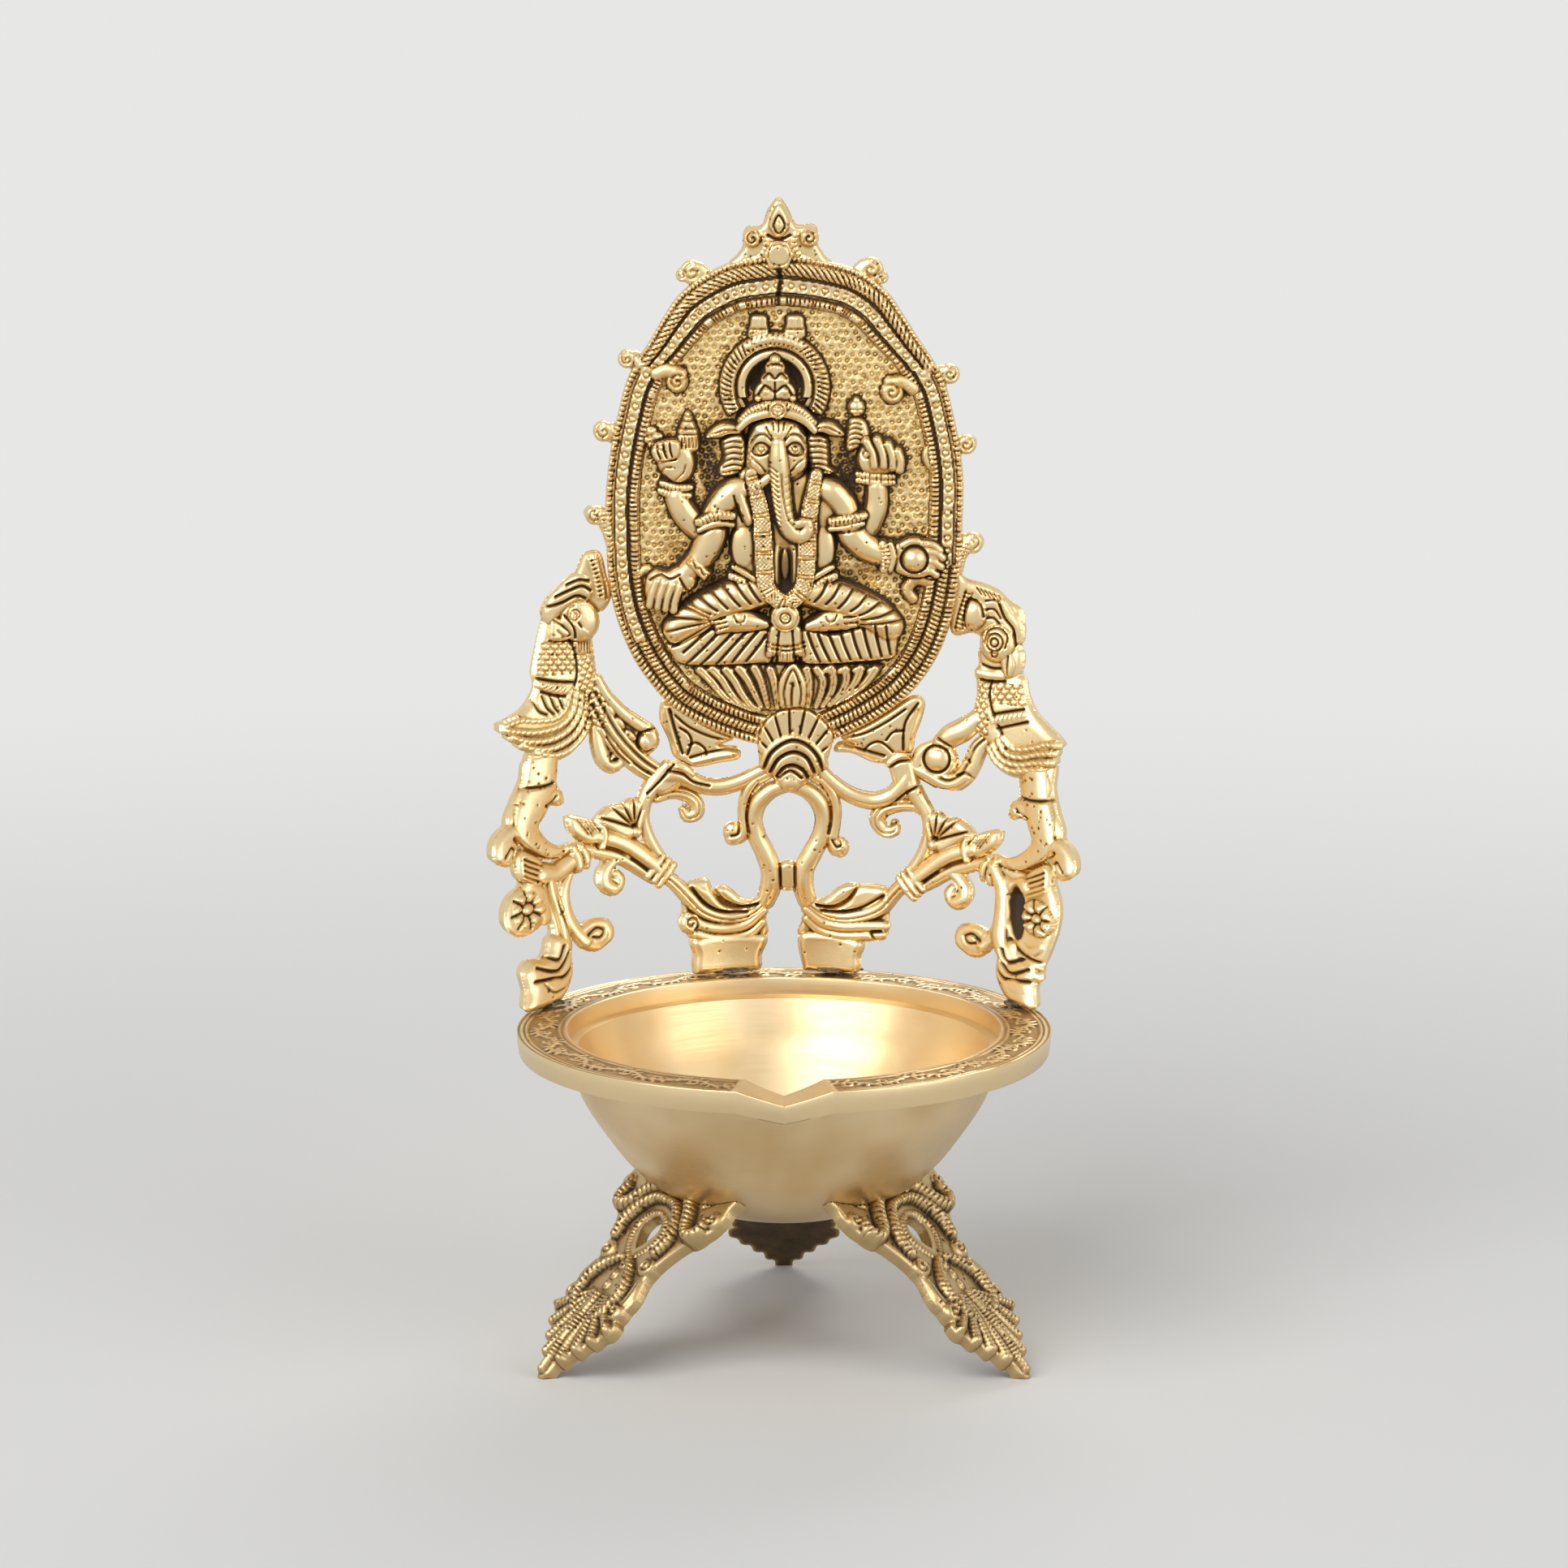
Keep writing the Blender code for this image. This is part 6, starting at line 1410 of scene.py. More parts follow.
def drawBorder():
    s = newSheet(medalLow, medalHigh, medallion["cell"])
    depth, width, along = oval["depth"], oval["width"], oval["along"]
    share = depth / width
    s["edge"] = np.maximum(-depth, depth - width)
    s["lip"][:] = np.where(share > 0.5, 2.7, 1.6)
    height = np.full(s["x"].shape, 2.75)

    def addRib(zone, low, high, base, tall, pitch=0, deep=0.0, slant=0.0, flat=False):
        nonlocal height
        crown = band(share, low, high)
        if flat:
            crown = np.where(crown >= 0, np.clip(crown * 2.2, 0, 1), -1)
        level = base + tall * crown
        if pitch:
            level = level - deep * np.clip(np.cos(2 * math.pi * (along + slant * depth) / pitch), 0, 1) ** 2
        height = np.where(zone & (crown >= 0), level, height)

    def addRings(zone, low, high):
        nonlocal height
        phase = np.mod(along, medallion["ringPitch"]) - medallion["ringPitch"] / 2
        away = np.hypot(phase, (share - (low + high) / 2) * width)
        shape = 0.2 * np.exp(-(away / 0.5) ** 2) - 0.5 * np.exp(-((away - 0.95) / 0.34) ** 2)
        height = np.where(zone & (away < 1.9), height + shape, height)

    arch = s["z"] > np.where(s["x"] < 0, medallion["archLeft"], medallion["archRight"])
    lower = s["z"] < medallion["ropesBelow"] + 0.25 * s["x"]
    side = ~arch & ~lower
    addRib(arch, 0.0, 0.09, 2.3, 0.9, 1.35, 0.6)
    addRib(arch, 0.11, 0.35, 3.1, 1.3, 2.0, 0.9, slant=1.1)
    addRib(arch, 0.405, 0.685, 3.2, 0.8, flat=True)
    addRings(arch, 0.405, 0.685)
    addRib(arch, 0.765, 0.99, 3.0, 1.7, 1.45, 1.0)
    addRib(side, 0.0, 0.2, 2.3, 1.2, medallion["ropePitch"], 0.9)
    addRib(side, 0.285, 0.62, 3.2, 0.9, flat=True)
    addRings(side, 0.285, 0.62)
    addRib(side, 0.7, 0.98, 3.0, 1.5, medallion["ropePitch"], 1.0)
    addRib(lower, 0.0, 0.3, 2.4, 1.5, medallion["ropePitch"], 1.0, slant=0.2)
    addRib(lower, 0.345, 0.655, 2.9, 1.6, medallion["ropePitch"], 1.0, slant=-0.2)
    addRib(lower, 0.7, 0.985, 2.8, 1.5, medallion["ropePitch"], 1.0, slant=0.2)
    s["top"] = np.where(s["edge"] < 0, height, s["top"])
    # the crack and the gap over the halo, where the wax arches met
    groove(s, [(-1.6, 210), (-1.0, 205), (-1.8, 200), (-1.2, 193)], 0.6, 1.5)
    s["stainAndShade"] = np.maximum(s["stainAndShade"], 0.5 * np.exp(-((s["x"] + 1.4) / 0.6) ** 2)
                            * (s["z"] > 193) * (s["z"] < 210.5))
    # knobs and leaves round the edge
    for x, z, radius, turn, way in ((-26.6, 207.6, 3.5, 100, 1), (-45.6, 182.4, 2.7, 90, 1),
                                    (-52.6, 161.2, 3.0, 100, 1), (25.2, 208.4, 3.6, 80, -1),
                                    (48.2, 178, 2.9, 90, -1), (53.2, 157.4, 2.9, 80, -1),
                                    (55.2, 128.4, 3.1, 80, -1)):
        stem(s, [(x * 0.86, z - 2, radius * 0.9), (x * 0.95, z - 0.4, radius)], 0.5, 1.0)
        curl(s, x, z, radius, 1.7, turn, way, lift=1.1)
    curl(s, -29.4, 206.8, 2.0, 1.4, 40, 1, lift=1.0)
    curl(s, 28.4, 206.2, 1.9, 1.4, 140, -1, lift=1.0)
    stem(s, [(-56, 137, 2.3), (-53.4, 136.4, 2.4), (-51.4, 132.6, 2.2), (-50.2, 127.6, 1.8)], 0.8, 1.5,
         rope=(1.3, 0.5, 0.4))
    curl(s, -55.4, 136.4, 2.6, 1.6, 90, 1, lift=1.2)
    stem(s, [(54, 128, 2.2), (51.6, 125, 2.1), (50.8, 120.4, 1.7)], 0.8, 1.5, rope=(1.3, 0.5, -0.4))
    # raised lumps where the arch ends on the side strips
    boss(s, -41.4, 180.4, (3.6, 1.6), 1.4, 2.6, turn=-60)
    boss(s, 41.2, 178.4, (3.6, 1.6), 1.4, 2.6, turn=60)
    # the six-sided stud that joins the arch to the crest
    plate(s, [(-6, 213.2), (-4, 209), (1, 209), (3, 213.2), (1, 217), (-4, 217)], 1.3, 4.2, soft=1,
          smooth=False)
    groove(s, [(-4.6, 213.2), (-3.3, 210.4), (0.3, 210.4), (1.6, 213.2), (0.3, 215.6), (-3.3, 215.6)], 0.26,
           0.5, closed=True)
    # room for the shell
    fan = newSheet(medalLow, medalHigh, medallion["cell"])
    plate(fan, shellOutline, 1)
    s["edge"] = np.maximum(s["edge"], -fan["edge"])
    lumpy(s, 41, 0.12)
    pit(s, 42, 160)
    return s


def drawGround():
    s = newSheet(medalLow, medalHigh, medallion["cell"])
    s["edge"] = oval["width"] - oval["depth"]
    s["lip"][:] = medallion["ground"]
    own = s["edge"] < 0
    s["top"] = np.where(own, medallion["ground"], s["top"])
    lumpy(s, 43, 0.22, 4)
    lumpy(s, 44, 0.1, 0.45)
    punch(s, own, 2.3, 0.5, 0.42, 45)
    rough = 1 + (0.45 * np.sin(s["x"] * 3.1 + 2 * np.sin(s["z"] * 1.7))
                 * np.sin(s["z"] * 3.7 + np.sin(s["x"] * 2.3)))
    # deep places behind the arms and beside the crown, sunk and painted darker as shade
    for x, z, wide, tall, turn, deep in ((-22, 151.5, 3.0, 8.6, 4, 1.2), (18.6, 150, 3.0, 8, 14, 1.2),
                                         (-8.6, 178, 1.9, 4.4, -22, 1.3), (3.6, 178.6, 1.9, 4.4, 22, 1.3),
                                         (-32, 126, 4, 4, 0, 0.5), (40, 116, 5, 4, 0, 0.5),
                                         (-20, 117.4, 5, 3, 0, 0.6), (22, 118.6, 6, 3, 0, 0.6)):
        turn = math.radians(turn)
        dx, dz = s["x"] - x, s["z"] - z
        u = (dx * math.cos(turn) + dz * math.sin(turn)) / wide
        v = (-dx * math.sin(turn) + dz * math.cos(turn)) / tall
        hollow = np.exp(-(u * u + v * v) ** 2)
        s["top"] -= np.where(own, deep * hollow, 0)
        s["stainAndShade"] = np.maximum(s["stainAndShade"], 0.42 * deep * hollow * rough)
    # small scrolls that grow in from the border
    stem(s, [(-37, 178.4, 2.0), (-33.6, 179.4, 2.2), (-30.4, 178, 2.4)], 0.9, 3.2)
    curl(s, -31, 176, 3.2, 1.9, 60, 1, lift=3.0)
    stem(s, [(37.4, 174, 2.0), (34.6, 176, 2.0), (31, 175.6, 2.2)], 0.9, 3.2)
    curl(s, 31.4, 173, 3.4, 1.9, 120, -1, lift=3.0)
    stem(s, [(42.4, 117, 1.6), (38.4, 118, 1.8), (36, 115, 1.8), (37.6, 112.4, 1.6)], 0.9, 3.0)
    stem(s, [(43.4, 150, 1.0), (41.2, 154, 1.2), (42.6, 157.6, 1.0)], 0.9, 2.8)
    stem(s, [(-43, 119, 1.4), (-40, 121, 1.5), (-38.4, 118, 1.4)], 0.9, 2.8)
    return s


def drawHalo():
    s = newSheet(medalLow, medalHigh, medallion["cell"])
    x, z = s["x"] + 2.7, s["z"] - 174.6
    away = np.hypot(x, z * 1.0)
    angle = np.degrees(np.arctan2(z, x))
    spread = (angle > -32) | (angle < -148)
    ringEdge = np.maximum(np.abs(away - 13.8) - 2.15, np.where(spread, -9, 2))
    crown = np.sqrt(np.clip(1 - (np.abs(away - 13.8) / 2.15) ** 2.4, 0, 1))
    teeth = np.clip(np.cos(2 * math.pi * (np.radians(angle) * 13.8 + 0.35 * (away - 13.8)) / 1.42), 0, 1) ** 2
    raiseSheet(s, 4.6 + 1.3 * crown - 1.0 * teeth * (away > 12.5), ringEdge, 3.4)
    innerEdge = np.maximum(np.abs(away - 9.6) - 1.35, np.where(z > -3, -9, 2))
    raiseSheet(s, 4.2 + 1.1 * np.sqrt(np.clip(1 - (np.abs(away - 9.6) / 1.35) ** 2, 0, 1)), innerEdge, 3.2)
    webEdge = np.maximum(np.abs(away - 11.2) - 1.2, np.where(z > -6, -9, 2))
    raiseSheet(s, 3.9 + 0 * away, webEdge, 3.0)
    for left, right in ((-10.2, -4.8), (0.2, 5.8)):
        middle = (left + right) / 2
        plate(s, [(left, 189), (left + 0.4, 193), (left + 1, 195.4), (right - 0.6, 195.4), (right, 193),
                  (right, 189)], 1.3, 3.8, soft=1.0)
        groove(s, [(left + 0.4, 191.6), (right - 0.4, 191.6)], 0.3, 0.7)
        ridge(s, [(middle, 189.6), (middle, 194.6)], 0.6, 0.4)
    for number in range(7):
        turn = math.radians(62 + 9.5 * number)
        boss(s, -2.7 + 14 * math.cos(turn), 174.6 + 14 * math.sin(turn), (1.2, 1.9), 1.1, 5.2,
             turn=math.degrees(turn))
    s["edge"] = np.maximum(s["edge"], 62 - s["z"])
    s["edge"] = np.maximum(s["edge"], oval["width"] - oval["depth"] + 0.3)
    lumpy(s, 46, 0.15)
    pit(s, 47, 40)
    return s


def drawLotus():
    s = newSheet(medalLow, medalHigh, medallion["cell"])
    plate(s, [(-26.5, 92.2), (-24, 92.6), (-8, 92.8), (10, 92.8), (26.5, 92.8), (28.6, 91.6), (26, 87.4),
              (21.6, 83.6), (14, 80.6), (8, 79.6), (-8, 79.2), (-14, 80.4), (-20, 84.6)], 0.5, 3.0, soft=1.0)
    left = [[(-24.6, 91.4), (-21.6, 88.4), (-18.6, 84.6), (-14.6, 80.8), (-11, 79.4)],
            [(-21, 91.6), (-18.2, 88.6), (-15.6, 84.4), (-12, 80.6), (-9, 79.4)],
            [(-17, 91.4), (-14.4, 88), (-12.2, 84), (-9.4, 80.4), (-7.4, 79.4)],
            [(-13.2, 91.8), (-10.8, 88.6), (-8.8, 84.6), (-6.8, 80.6)],
            [(-8.6, 92), (-7, 88.6), (-5.8, 84.6), (-4.8, 80.4)],
            [(-4, 91.6), (-3, 88), (-2.4, 84), (-2, 80.2)]]
    right = [[(26.6, 91.6), (24.4, 88.2), (21.4, 85.2), (17.6, 82.4)],
             [(22.4, 91.8), (21, 88), (18.6, 84.6), (15.2, 81.4)],
             [(18, 91.6), (18.2, 88.2), (16.6, 84.4), (13.4, 80.8)],
             [(13.8, 91.8), (14.6, 88.2), (13.6, 84.2), (11.4, 80.6)],
             [(9.6, 91.6), (11.4, 88.2), (10.8, 84.2), (9.4, 80.4)],
             [(6.6, 91.6), (7.4, 88), (7.4, 84), (6.8, 80.2)]]
    for points in left + right:
        sizes = np.interp(np.arange(len(points)), [0, len(points) - 1], [1.55, 0.9])
        stem(s, [(*point, size) for point, size in zip(points, sizes)], 1.7, 3.3,
             grooves=((0, 0.2, 0.5),))
    for points in (left[0], left[1], left[2], left[3], right[0], right[1], right[2], right[3]):
        boss(s, points[0][0] + (0.8 if points[0][0] < 0 else -0.8), points[0][1] - 0.2, (1.9, 1.1), 0.9, 4.4,
             turn=-30 if points[0][0] < 0 else 30)
    plate(s, [(2.6, 94), (0, 91.4), (-1.6, 87.4), (-1.6, 83.6), (-0.6, 80), (5.4, 80), (6.6, 83.6),
              (6.6, 87.4), (5, 91.4)], 1.6, 4.6, soft=1.6)
    groove(s, [(0.6, 80.4), (0, 84.6), (0.8, 88.6), (2.6, 91.6), (4.2, 88.6), (5, 84.6), (4.4, 80.4)], 0.32,
           0.9)
    groove(s, [(2.2, 80.4), (2.2, 84), (2.6, 87.6)], 0.4, 1.0)
    s["edge"] = np.maximum(s["edge"], oval["width"] - oval["depth"] + 0.3)
    fan = newSheet(medalLow, medalHigh, medallion["cell"])
    plate(fan, shellOutline, 1)
    s["edge"] = np.maximum(s["edge"], 0.3 - fan["edge"])
    s["edge"] = np.maximum(s["edge"], s["z"] - 93.4)
    lumpy(s, 48, 0.1)
    pit(s, 49, 30)
    return s


def drawCrest():
    s = newSheet((-16, 203), (18, 232), openwork["cell"])
    plate(s, [(-2.2, 229), (-4.4, 226), (-6, 221.8), (-7.4, 220.8), (-10.2, 221), (-11.6, 219), (-11.8, 215),
              (-13.4, 212.6), (-14, 209.6), (12, 209.6), (11.6, 212.6), (9.6, 216), (9.6, 219.6), (8.4, 221.4),
              (4.6, 221.2), (3, 221.8), (1, 226), (-1, 229)], 1.6, 0.7, soft=1.8)
    plate(s, [(-1.5, 227.6), (-4.4, 221.6), (-1.5, 217.8), (1.6, 221.6)], 1.3, 2.0, soft=1.4)
    groove(s, [(-1.5, 224.4), (-3, 221.4), (-1.5, 219.2), (0.2, 221.4)], 0.3, 0.8, closed=True)
    boss(s, -1.5, 221.3, (0.9, 1.6), 0.7, 2.8)
    stem(s, [(-6.4, 219.4, 1.0), (-5, 215.4, 1.1), (-7, 212, 1.1), (-11, 210.6, 1.1)], 0.8, 1.9,
         rope=(1.5, 0.4, 0.2))
    stem(s, [(3.6, 219.4, 1.0), (2.8, 215.4, 1.1), (5, 212, 1.1), (9, 210.4, 1.1)], 0.8, 1.9,
         rope=(1.5, 0.4, -0.2))
    curl(s, -9.2, 217.6, 2.6, 2.0, 70, 1, lift=1.6)
    curl(s, 7.2, 217.8, 2.7, 2.0, 110, -1, lift=1.6)
    groove(s, [(-4.6, 218.6), (-1.5, 217.2), (1.8, 218.6)], 0.35, 0.8)
    s["edge"] = np.maximum(s["edge"], findOval(s)["depth"] - 0.4)
    return s


def drawFigure():
    s = newSheet((-45, 91), (50, 187), medallion["figureCell"])

    # rear hands with their axe and goad
    stem(s, [(-22.6, 131, 3.2), (-26.4, 134.6, 3.8), (-29.4, 138.4, 3.8), (-31.4, 142.4, 3.4)], 0.95, 3.6)
    for points in ([(-36, 144.4, 1.0), (-32, 143.0, 1.3), (-27.6, 143, 1.0)],
                   [(-35.6, 146.6, 0.9), (-31.4, 145.2, 1.2), (-27.2, 145.4, 0.9)]):
        stem(s, points, 0.9, 5.4, rope=(1.1, 0.45, 0))
    plate(s, [(-37, 152.4), (-36.4, 156.4), (-33.4, 158.6), (-29.6, 158.4), (-26.6, 155.6), (-26, 151),
              (-28, 147.4), (-31.6, 146.6), (-35, 148.8)], 2.4, 4.2, soft=2.8)
    plate(s, [(-38.6, 156), (-36.6, 158.8), (-31, 159.4), (-30, 156.4), (-31.6, 153.6), (-36.4, 152.6)], 1.6,
          5.9, soft=1.2)
    cutLines(s, 0.3, 0.9, [(-36.8, 157.8), (-36.6, 155.8), (-35.8, 154)], [(-35, 158.4), (-34.8, 156.2),
             (-34, 154.2)], [(-33.2, 158.6), (-33, 156.4), (-32.4, 154.4)], [(-37.6, 153), (-34.4, 153.2),
             (-31.4, 153.8)])
    cutLines(s, 0.3, 0.6, [(-31.6, 147.6), (-29.4, 149.6), (-28.6, 152)], [(-35.6, 150), (-34.6, 151.2),
             (-32.6, 151.4)])
    plate(s, [(-30.8, 156), (-31, 161), (-29.8, 164.2), (-28.6, 167.4), (-27.2, 167.4), (-26, 164.2),
              (-24.8, 161.4), (-25.2, 156)], 1.8, 3.9, soft=1.6)
    cutLines(s, 0.28, 0.8, [(-30, 164.8), (-26, 164.8)], [(-30.6, 162.6), (-25.2, 162.6)], [(-30.8, 160.8),
             (-25, 160.8)], [(-28.6, 166.2), (-27.2, 166.2)])
    for number in range(5):
        x = -29.8 + 1.05 * number
        groove(s, [(x, 160.2), (x + 0.2, 157)], 0.22, 0.6)
    for x, z, size in ((-38.8, 161.6, 1.9), (-36.8, 160, 1.7), (-37.8, 157.8, 1.9), (-39.4, 159.2, 1.5),
                       (-35.6, 157.2, 1.5)):
        boss(s, x, z, (size, size * 0.8), 1.5, 3.3)
        ring(s, x, z, size * 0.5, 0.25, -0.4)
    stem(s, [(23.4, 130.6, 3.0), (25.2, 135, 3.4), (26.8, 140, 3.4), (27, 145, 3.2)], 0.95, 3.6)
    for level in (146.8, 148.6):
        stem(s, [(21.6, level + 0.6, 0.9), (26.6, level, 1.1), (31.6, level, 0.9)], 0.9, 5.3,
             rope=(1.1, 0.45, 0))
    plate(s, [(21.2, 153), (22.6, 157.6), (25.6, 159), (29.4, 158), (33.4, 154.8), (34, 152.4), (32, 149.8),
              (27, 148.8), (23, 149.8)], 2.6, 4.2, soft=2.8)
    for points in ([(23.8, 159), (25.6, 155.6), (26.2, 152)], [(27, 159.4), (28.6, 155.6), (29, 152)],
                   [(30.2, 158), (31.4, 154.8), (31.6, 151.6)], [(33, 156), (33.8, 153.4), (33.6, 150.8)]):
        stem(s, [(*point, 1.4) for point in points], 1.4, 6.0)
    ring(s, 23.8, 155.2, 1.1, 0.28, -0.5)
    plate(s, [(18.4, 156), (18.4, 163), (19.6, 165.6), (22.4, 165.6), (24.2, 163.4), (25, 158.6),
          (22.4, 157.4)], 1.8, 3.9, soft=1.6)
    for number in range(5):
        z = 157.6 + 1.5 * number
        groove(s, [(18.8, z), (20.8, z + 0.7), (22.6, z + 0.1)], 0.25, 0.7)
    boss(s, 21, 168.6, (2.5, 2.6), 2.2, 3.8)
    groove(s, [(18.8, 168), (23.2, 168)], 0.28, 0.6)
    boss(s, 21, 170.6, (1.1, 1.2), 1.0, 4.8)

    # body
    plate(s, [(-14, 147), (-9, 150), (8, 150), (12, 147), (13.4, 138), (12.4, 128), (14, 120), (12, 113),
          (-13, 113), (-14.8, 120), (-13.4, 128), (-14.6, 138)], 3.0, 3.4, soft=4.5)
    boss(s, -0.6, 136, (12, 12), 2.6, 4.6)
    boss(s, 0.4, 123, (12.4, 9), 3.0, 4.4)
    for side, shift in ((-1, 0), (1, -0.6)):
        boss(s, side * (11.4 + shift), 139, (4.4, 6.4), 1.8, 5.4, turn=side * 12)
        boss(s, side * (11.6 + shift), 128, (3.8, 7), 1.6, 5.6)
        stem(s, [(side * (15.4 + shift), 119.6, 1.1), (side * (11.8 + shift), 117.8, 1.3),
                 (side * (8.6 + shift), 115.4, 1.2)], 0.9, 7.2, rope=(1.2, 0.5, 0.3))
        stem(s, [(side * (14.8 + shift), 122.2, 0.7), (side * (11.4 + shift), 120.4, 0.9),
                 (side * (8.4 + shift), 118.4, 0.8)], 0.9, 7.2)

    # thighs with their folds, crossed shins, cuffs and feet
    stem(s, [(-6, 114.6, 4.4), (-13, 113.4, 5.4), (-20, 110.4, 5.6), (-26.8, 106.6, 5.2), (-31, 103.4, 4.4)],
         0.85, 4.6)
    stem(s, [(6.6, 114.6, 4.4), (13.6, 113.4, 5.2), (20.6, 110.6, 5.4), (26.8, 107.6, 5.0), (30.6, 104.4, 4.4)],
         0.85, 4.6)
    plate(s, [(-20, 104.4), (-25, 102.6), (-31, 99.6), (-34.4, 99.2), (-33.4, 96.8), (-28.6, 92.9), (-8, 93.2),
              (-3.6, 94.6), (-4, 103.6), (-12, 103.6)], 2.4, 3.8, soft=1.8)
    plate(s, [(4.6, 103.6), (14, 102.6), (22, 104.6), (29, 105.6), (33.2, 104.6), (33, 98), (31.4, 94.8),
              (20, 93.6), (12, 93.1), (5, 94.2)], 2.4, 3.8, soft=1.8)
    cutLines(s, 0.42, 1.0, [(-21.6, 106), (-28, 104.8), (-34.6, 103)], [(-21.6, 106.6), (-28, 107.2),
             (-32.6, 107.2)], [(-22, 107.4), (-26, 109.4), (-29.4, 110.6)], [(-21.4, 105.2), (-27, 101.8),
             (-32.8, 98.4)], [(-20.8, 104.8), (-25, 100.8), (-29.4, 96.8)], [(-28.6, 112.4), (-24.6, 109.8),
             (-21.4, 108.6)], [(-25.4, 114.2), (-21.6, 111), (-19.4, 109.6)], [(-21.8, 115.8), (-18.2, 112),
             (-16.4, 110.2)], [(-18.2, 117.2), (-14.8, 113), (-12.8, 110.8)], [(-14.6, 118), (-11.6, 113.8),
             (-9.6, 111.4)], [(-10.8, 118), (-8.8, 114.6), (-6.8, 112)], [(12.6, 118), (11, 114.6),
             (8.8, 112)], [(16.4, 117.2), (14.4, 113.8), (12.2, 111.4)], [(20.2, 115.8), (18, 112.6),
             (15.8, 110.2)], [(24.2, 114), (21.6, 111), (19.4, 109.4)], [(28, 111.8), (24.6, 109.4),
             (22, 108.2)], [(32.4, 109.4), (27.6, 107.6), (22.6, 106.8)], [(34, 106.4), (28, 105.6),
             (22.6, 105.2)])
    cutLines(s, 0.42, 1.1, [(-18.6, 103.2), (-23.6, 98), (-28.4, 93.4)], [(-14.6, 103), (-19.4, 98),
             (-24.2, 93.2)], [(-11, 103), (-15.4, 98.2), (-19.6, 93.4)], [(-7.8, 103), (-11.6, 98.4),
             (-15.2, 93.8)], [(-5.2, 101.8), (-8, 98), (-11.2, 94)], [(7, 102.4), (8.6, 98), (10.6, 93.8)],
             [(10, 102), (11.6, 98), (13.6, 94)], [(13, 102.4), (14.8, 98), (16.6, 94)], [(16.4, 103),
             (17.8, 98.6), (19.6, 94.4)], [(19.8, 103.4), (21, 99), (22.6, 94.8)], [(23.2, 104), (24.2, 99.6),
             (25.6, 95)], [(26.6, 104.8), (27.4, 100), (28.6, 95.4)], [(29.8, 104.8), (30.4, 100),
             (31.2, 96)])
    stem(s, [(-17.4, 105.8, 3.1), (-12.8, 106.2, 3.3), (-9, 105.8, 2.7), (-5.4, 105.2, 1.4)], 0.95, 6.0)
    groove(s, [(-14.6, 108), (-13.6, 106.2), (-11.8, 106.4), (-11.4, 108)], 0.3, 0.7)
    plate(s, [(-21.4, 108.2), (-17.4, 109.4), (-15.8, 103.4), (-19.8, 102.2)], 2.2, 6.2, soft=1.0, smooth=False)
    cutLines(s, 0.3, 0.8, [(-20.8, 106.6), (-17.2, 107.6)], [(-20.4, 105.2), (-16.8, 106.2)], [(-20, 103.8),
             (-16.4, 104.8)])
    stem(s, [(18, 106.6, 3.0), (13.8, 106.4, 3.1), (10.4, 105.4, 2.5), (7.2, 104.6, 1.4)], 0.95, 6.0)
    groove(s, [(15.4, 108.2), (14.4, 106.4), (12.8, 106.4), (12.2, 107.8)], 0.3, 0.7)
    plate(s, [(17.2, 109), (21, 109), (21.8, 104.6), (18, 103.6)], 2.2, 6.2, soft=1.0, smooth=False)
    cutLines(s, 0.3, 0.8, [(17.4, 107.6), (21, 107.8)], [(17.6, 105.8), (21.4, 106)])

    # front arms
    stem(s, [(-10.6, 145.6, 3.2), (-14.8, 143.8, 4.2), (-18.6, 139.8, 4.0), (-20.4, 136, 3.8),
             (-21, 131.8, 4.3), (-22.6, 127.6, 4.2), (-25.2, 123.6, 3.6), (-29.4, 119.4, 3.0)], 0.95, 5.0)
    plate(s, [(-14.2, 144), (-12.8, 147), (-10.4, 141.4), (-8.8, 136), (-10.2, 134.2), (-12.4, 136.6)], 2.2,
          6.6, soft=2)
    groove(s, [(-11, 146.6), (-9, 141), (-8, 135.6)], 0.34, 1.0)
    groove(s, [(-14.6, 143.4), (-13.4, 139), (-12, 135.6)], 0.3, 1.0)
    stem(s, [(-24.8, 135.4, 1.2), (-20, 137.6, 1.5), (-15, 137.4, 1.2)], 0.9, 8.3, rope=(1.2, 0.6, 0))
    stem(s, [(-24.8, 133.2, 0.7), (-20, 135.2, 0.8), (-15, 134.8, 0.7)], 0.9, 8.5)
    groove(s, [(-24.6, 132), (-20, 133.8), (-15.4, 133.4)], 0.3, 0.6)
    plate(s, [(-28.6, 123.6), (-26.6, 125.6), (-21, 120.6), (-23.4, 118)], 1.8, 7.2, soft=1.2, smooth=False)
    zigzag = [(-27.6 + 1.05 * k, 124.4 - 0.95 * k + (0.7 if k % 2 else -0.5)) for k in range(7)]
    groove(s, zigzag, 0.26, 0.8)
    plate(s, [(-40.2, 118.6), (-37.6, 121.4), (-34, 120.8), (-31, 122.2), (-28, 122), (-25.4, 119),
          (-26.6, 115.8), (-30, 114), (-34, 111.6), (-37.6, 110.6), (-40.4, 113.4)], 2.6, 5.4, soft=2.8)
    for number in range(4):
        x, z = -38.6 + 2.3 * number, 115.6 - 0.5 * number
        stem(s, [(x + 1.4, z + 2.4, 1.2), (x, z - 1.4, 1.25), (x - 0.6, z - 4.6, 1.15)], 1.3, 7.0)
    cutLines(s, 0.34, 0.9, [(-39.2, 118.4), (-36, 120), (-33.2, 118.8), (-30.4, 120)], [(-30.4, 119),
             (-28.4, 115.4)])
    stem(s, [(9.6, 145.6, 3.0), (13.8, 144, 3.9), (17.2, 140.4, 3.8), (18.6, 136.4, 3.6), (19.8, 132, 4.3),
             (23.4, 128.2, 4.1), (27.6, 126, 3.6), (31, 125, 3.2)], 0.95, 5.0)
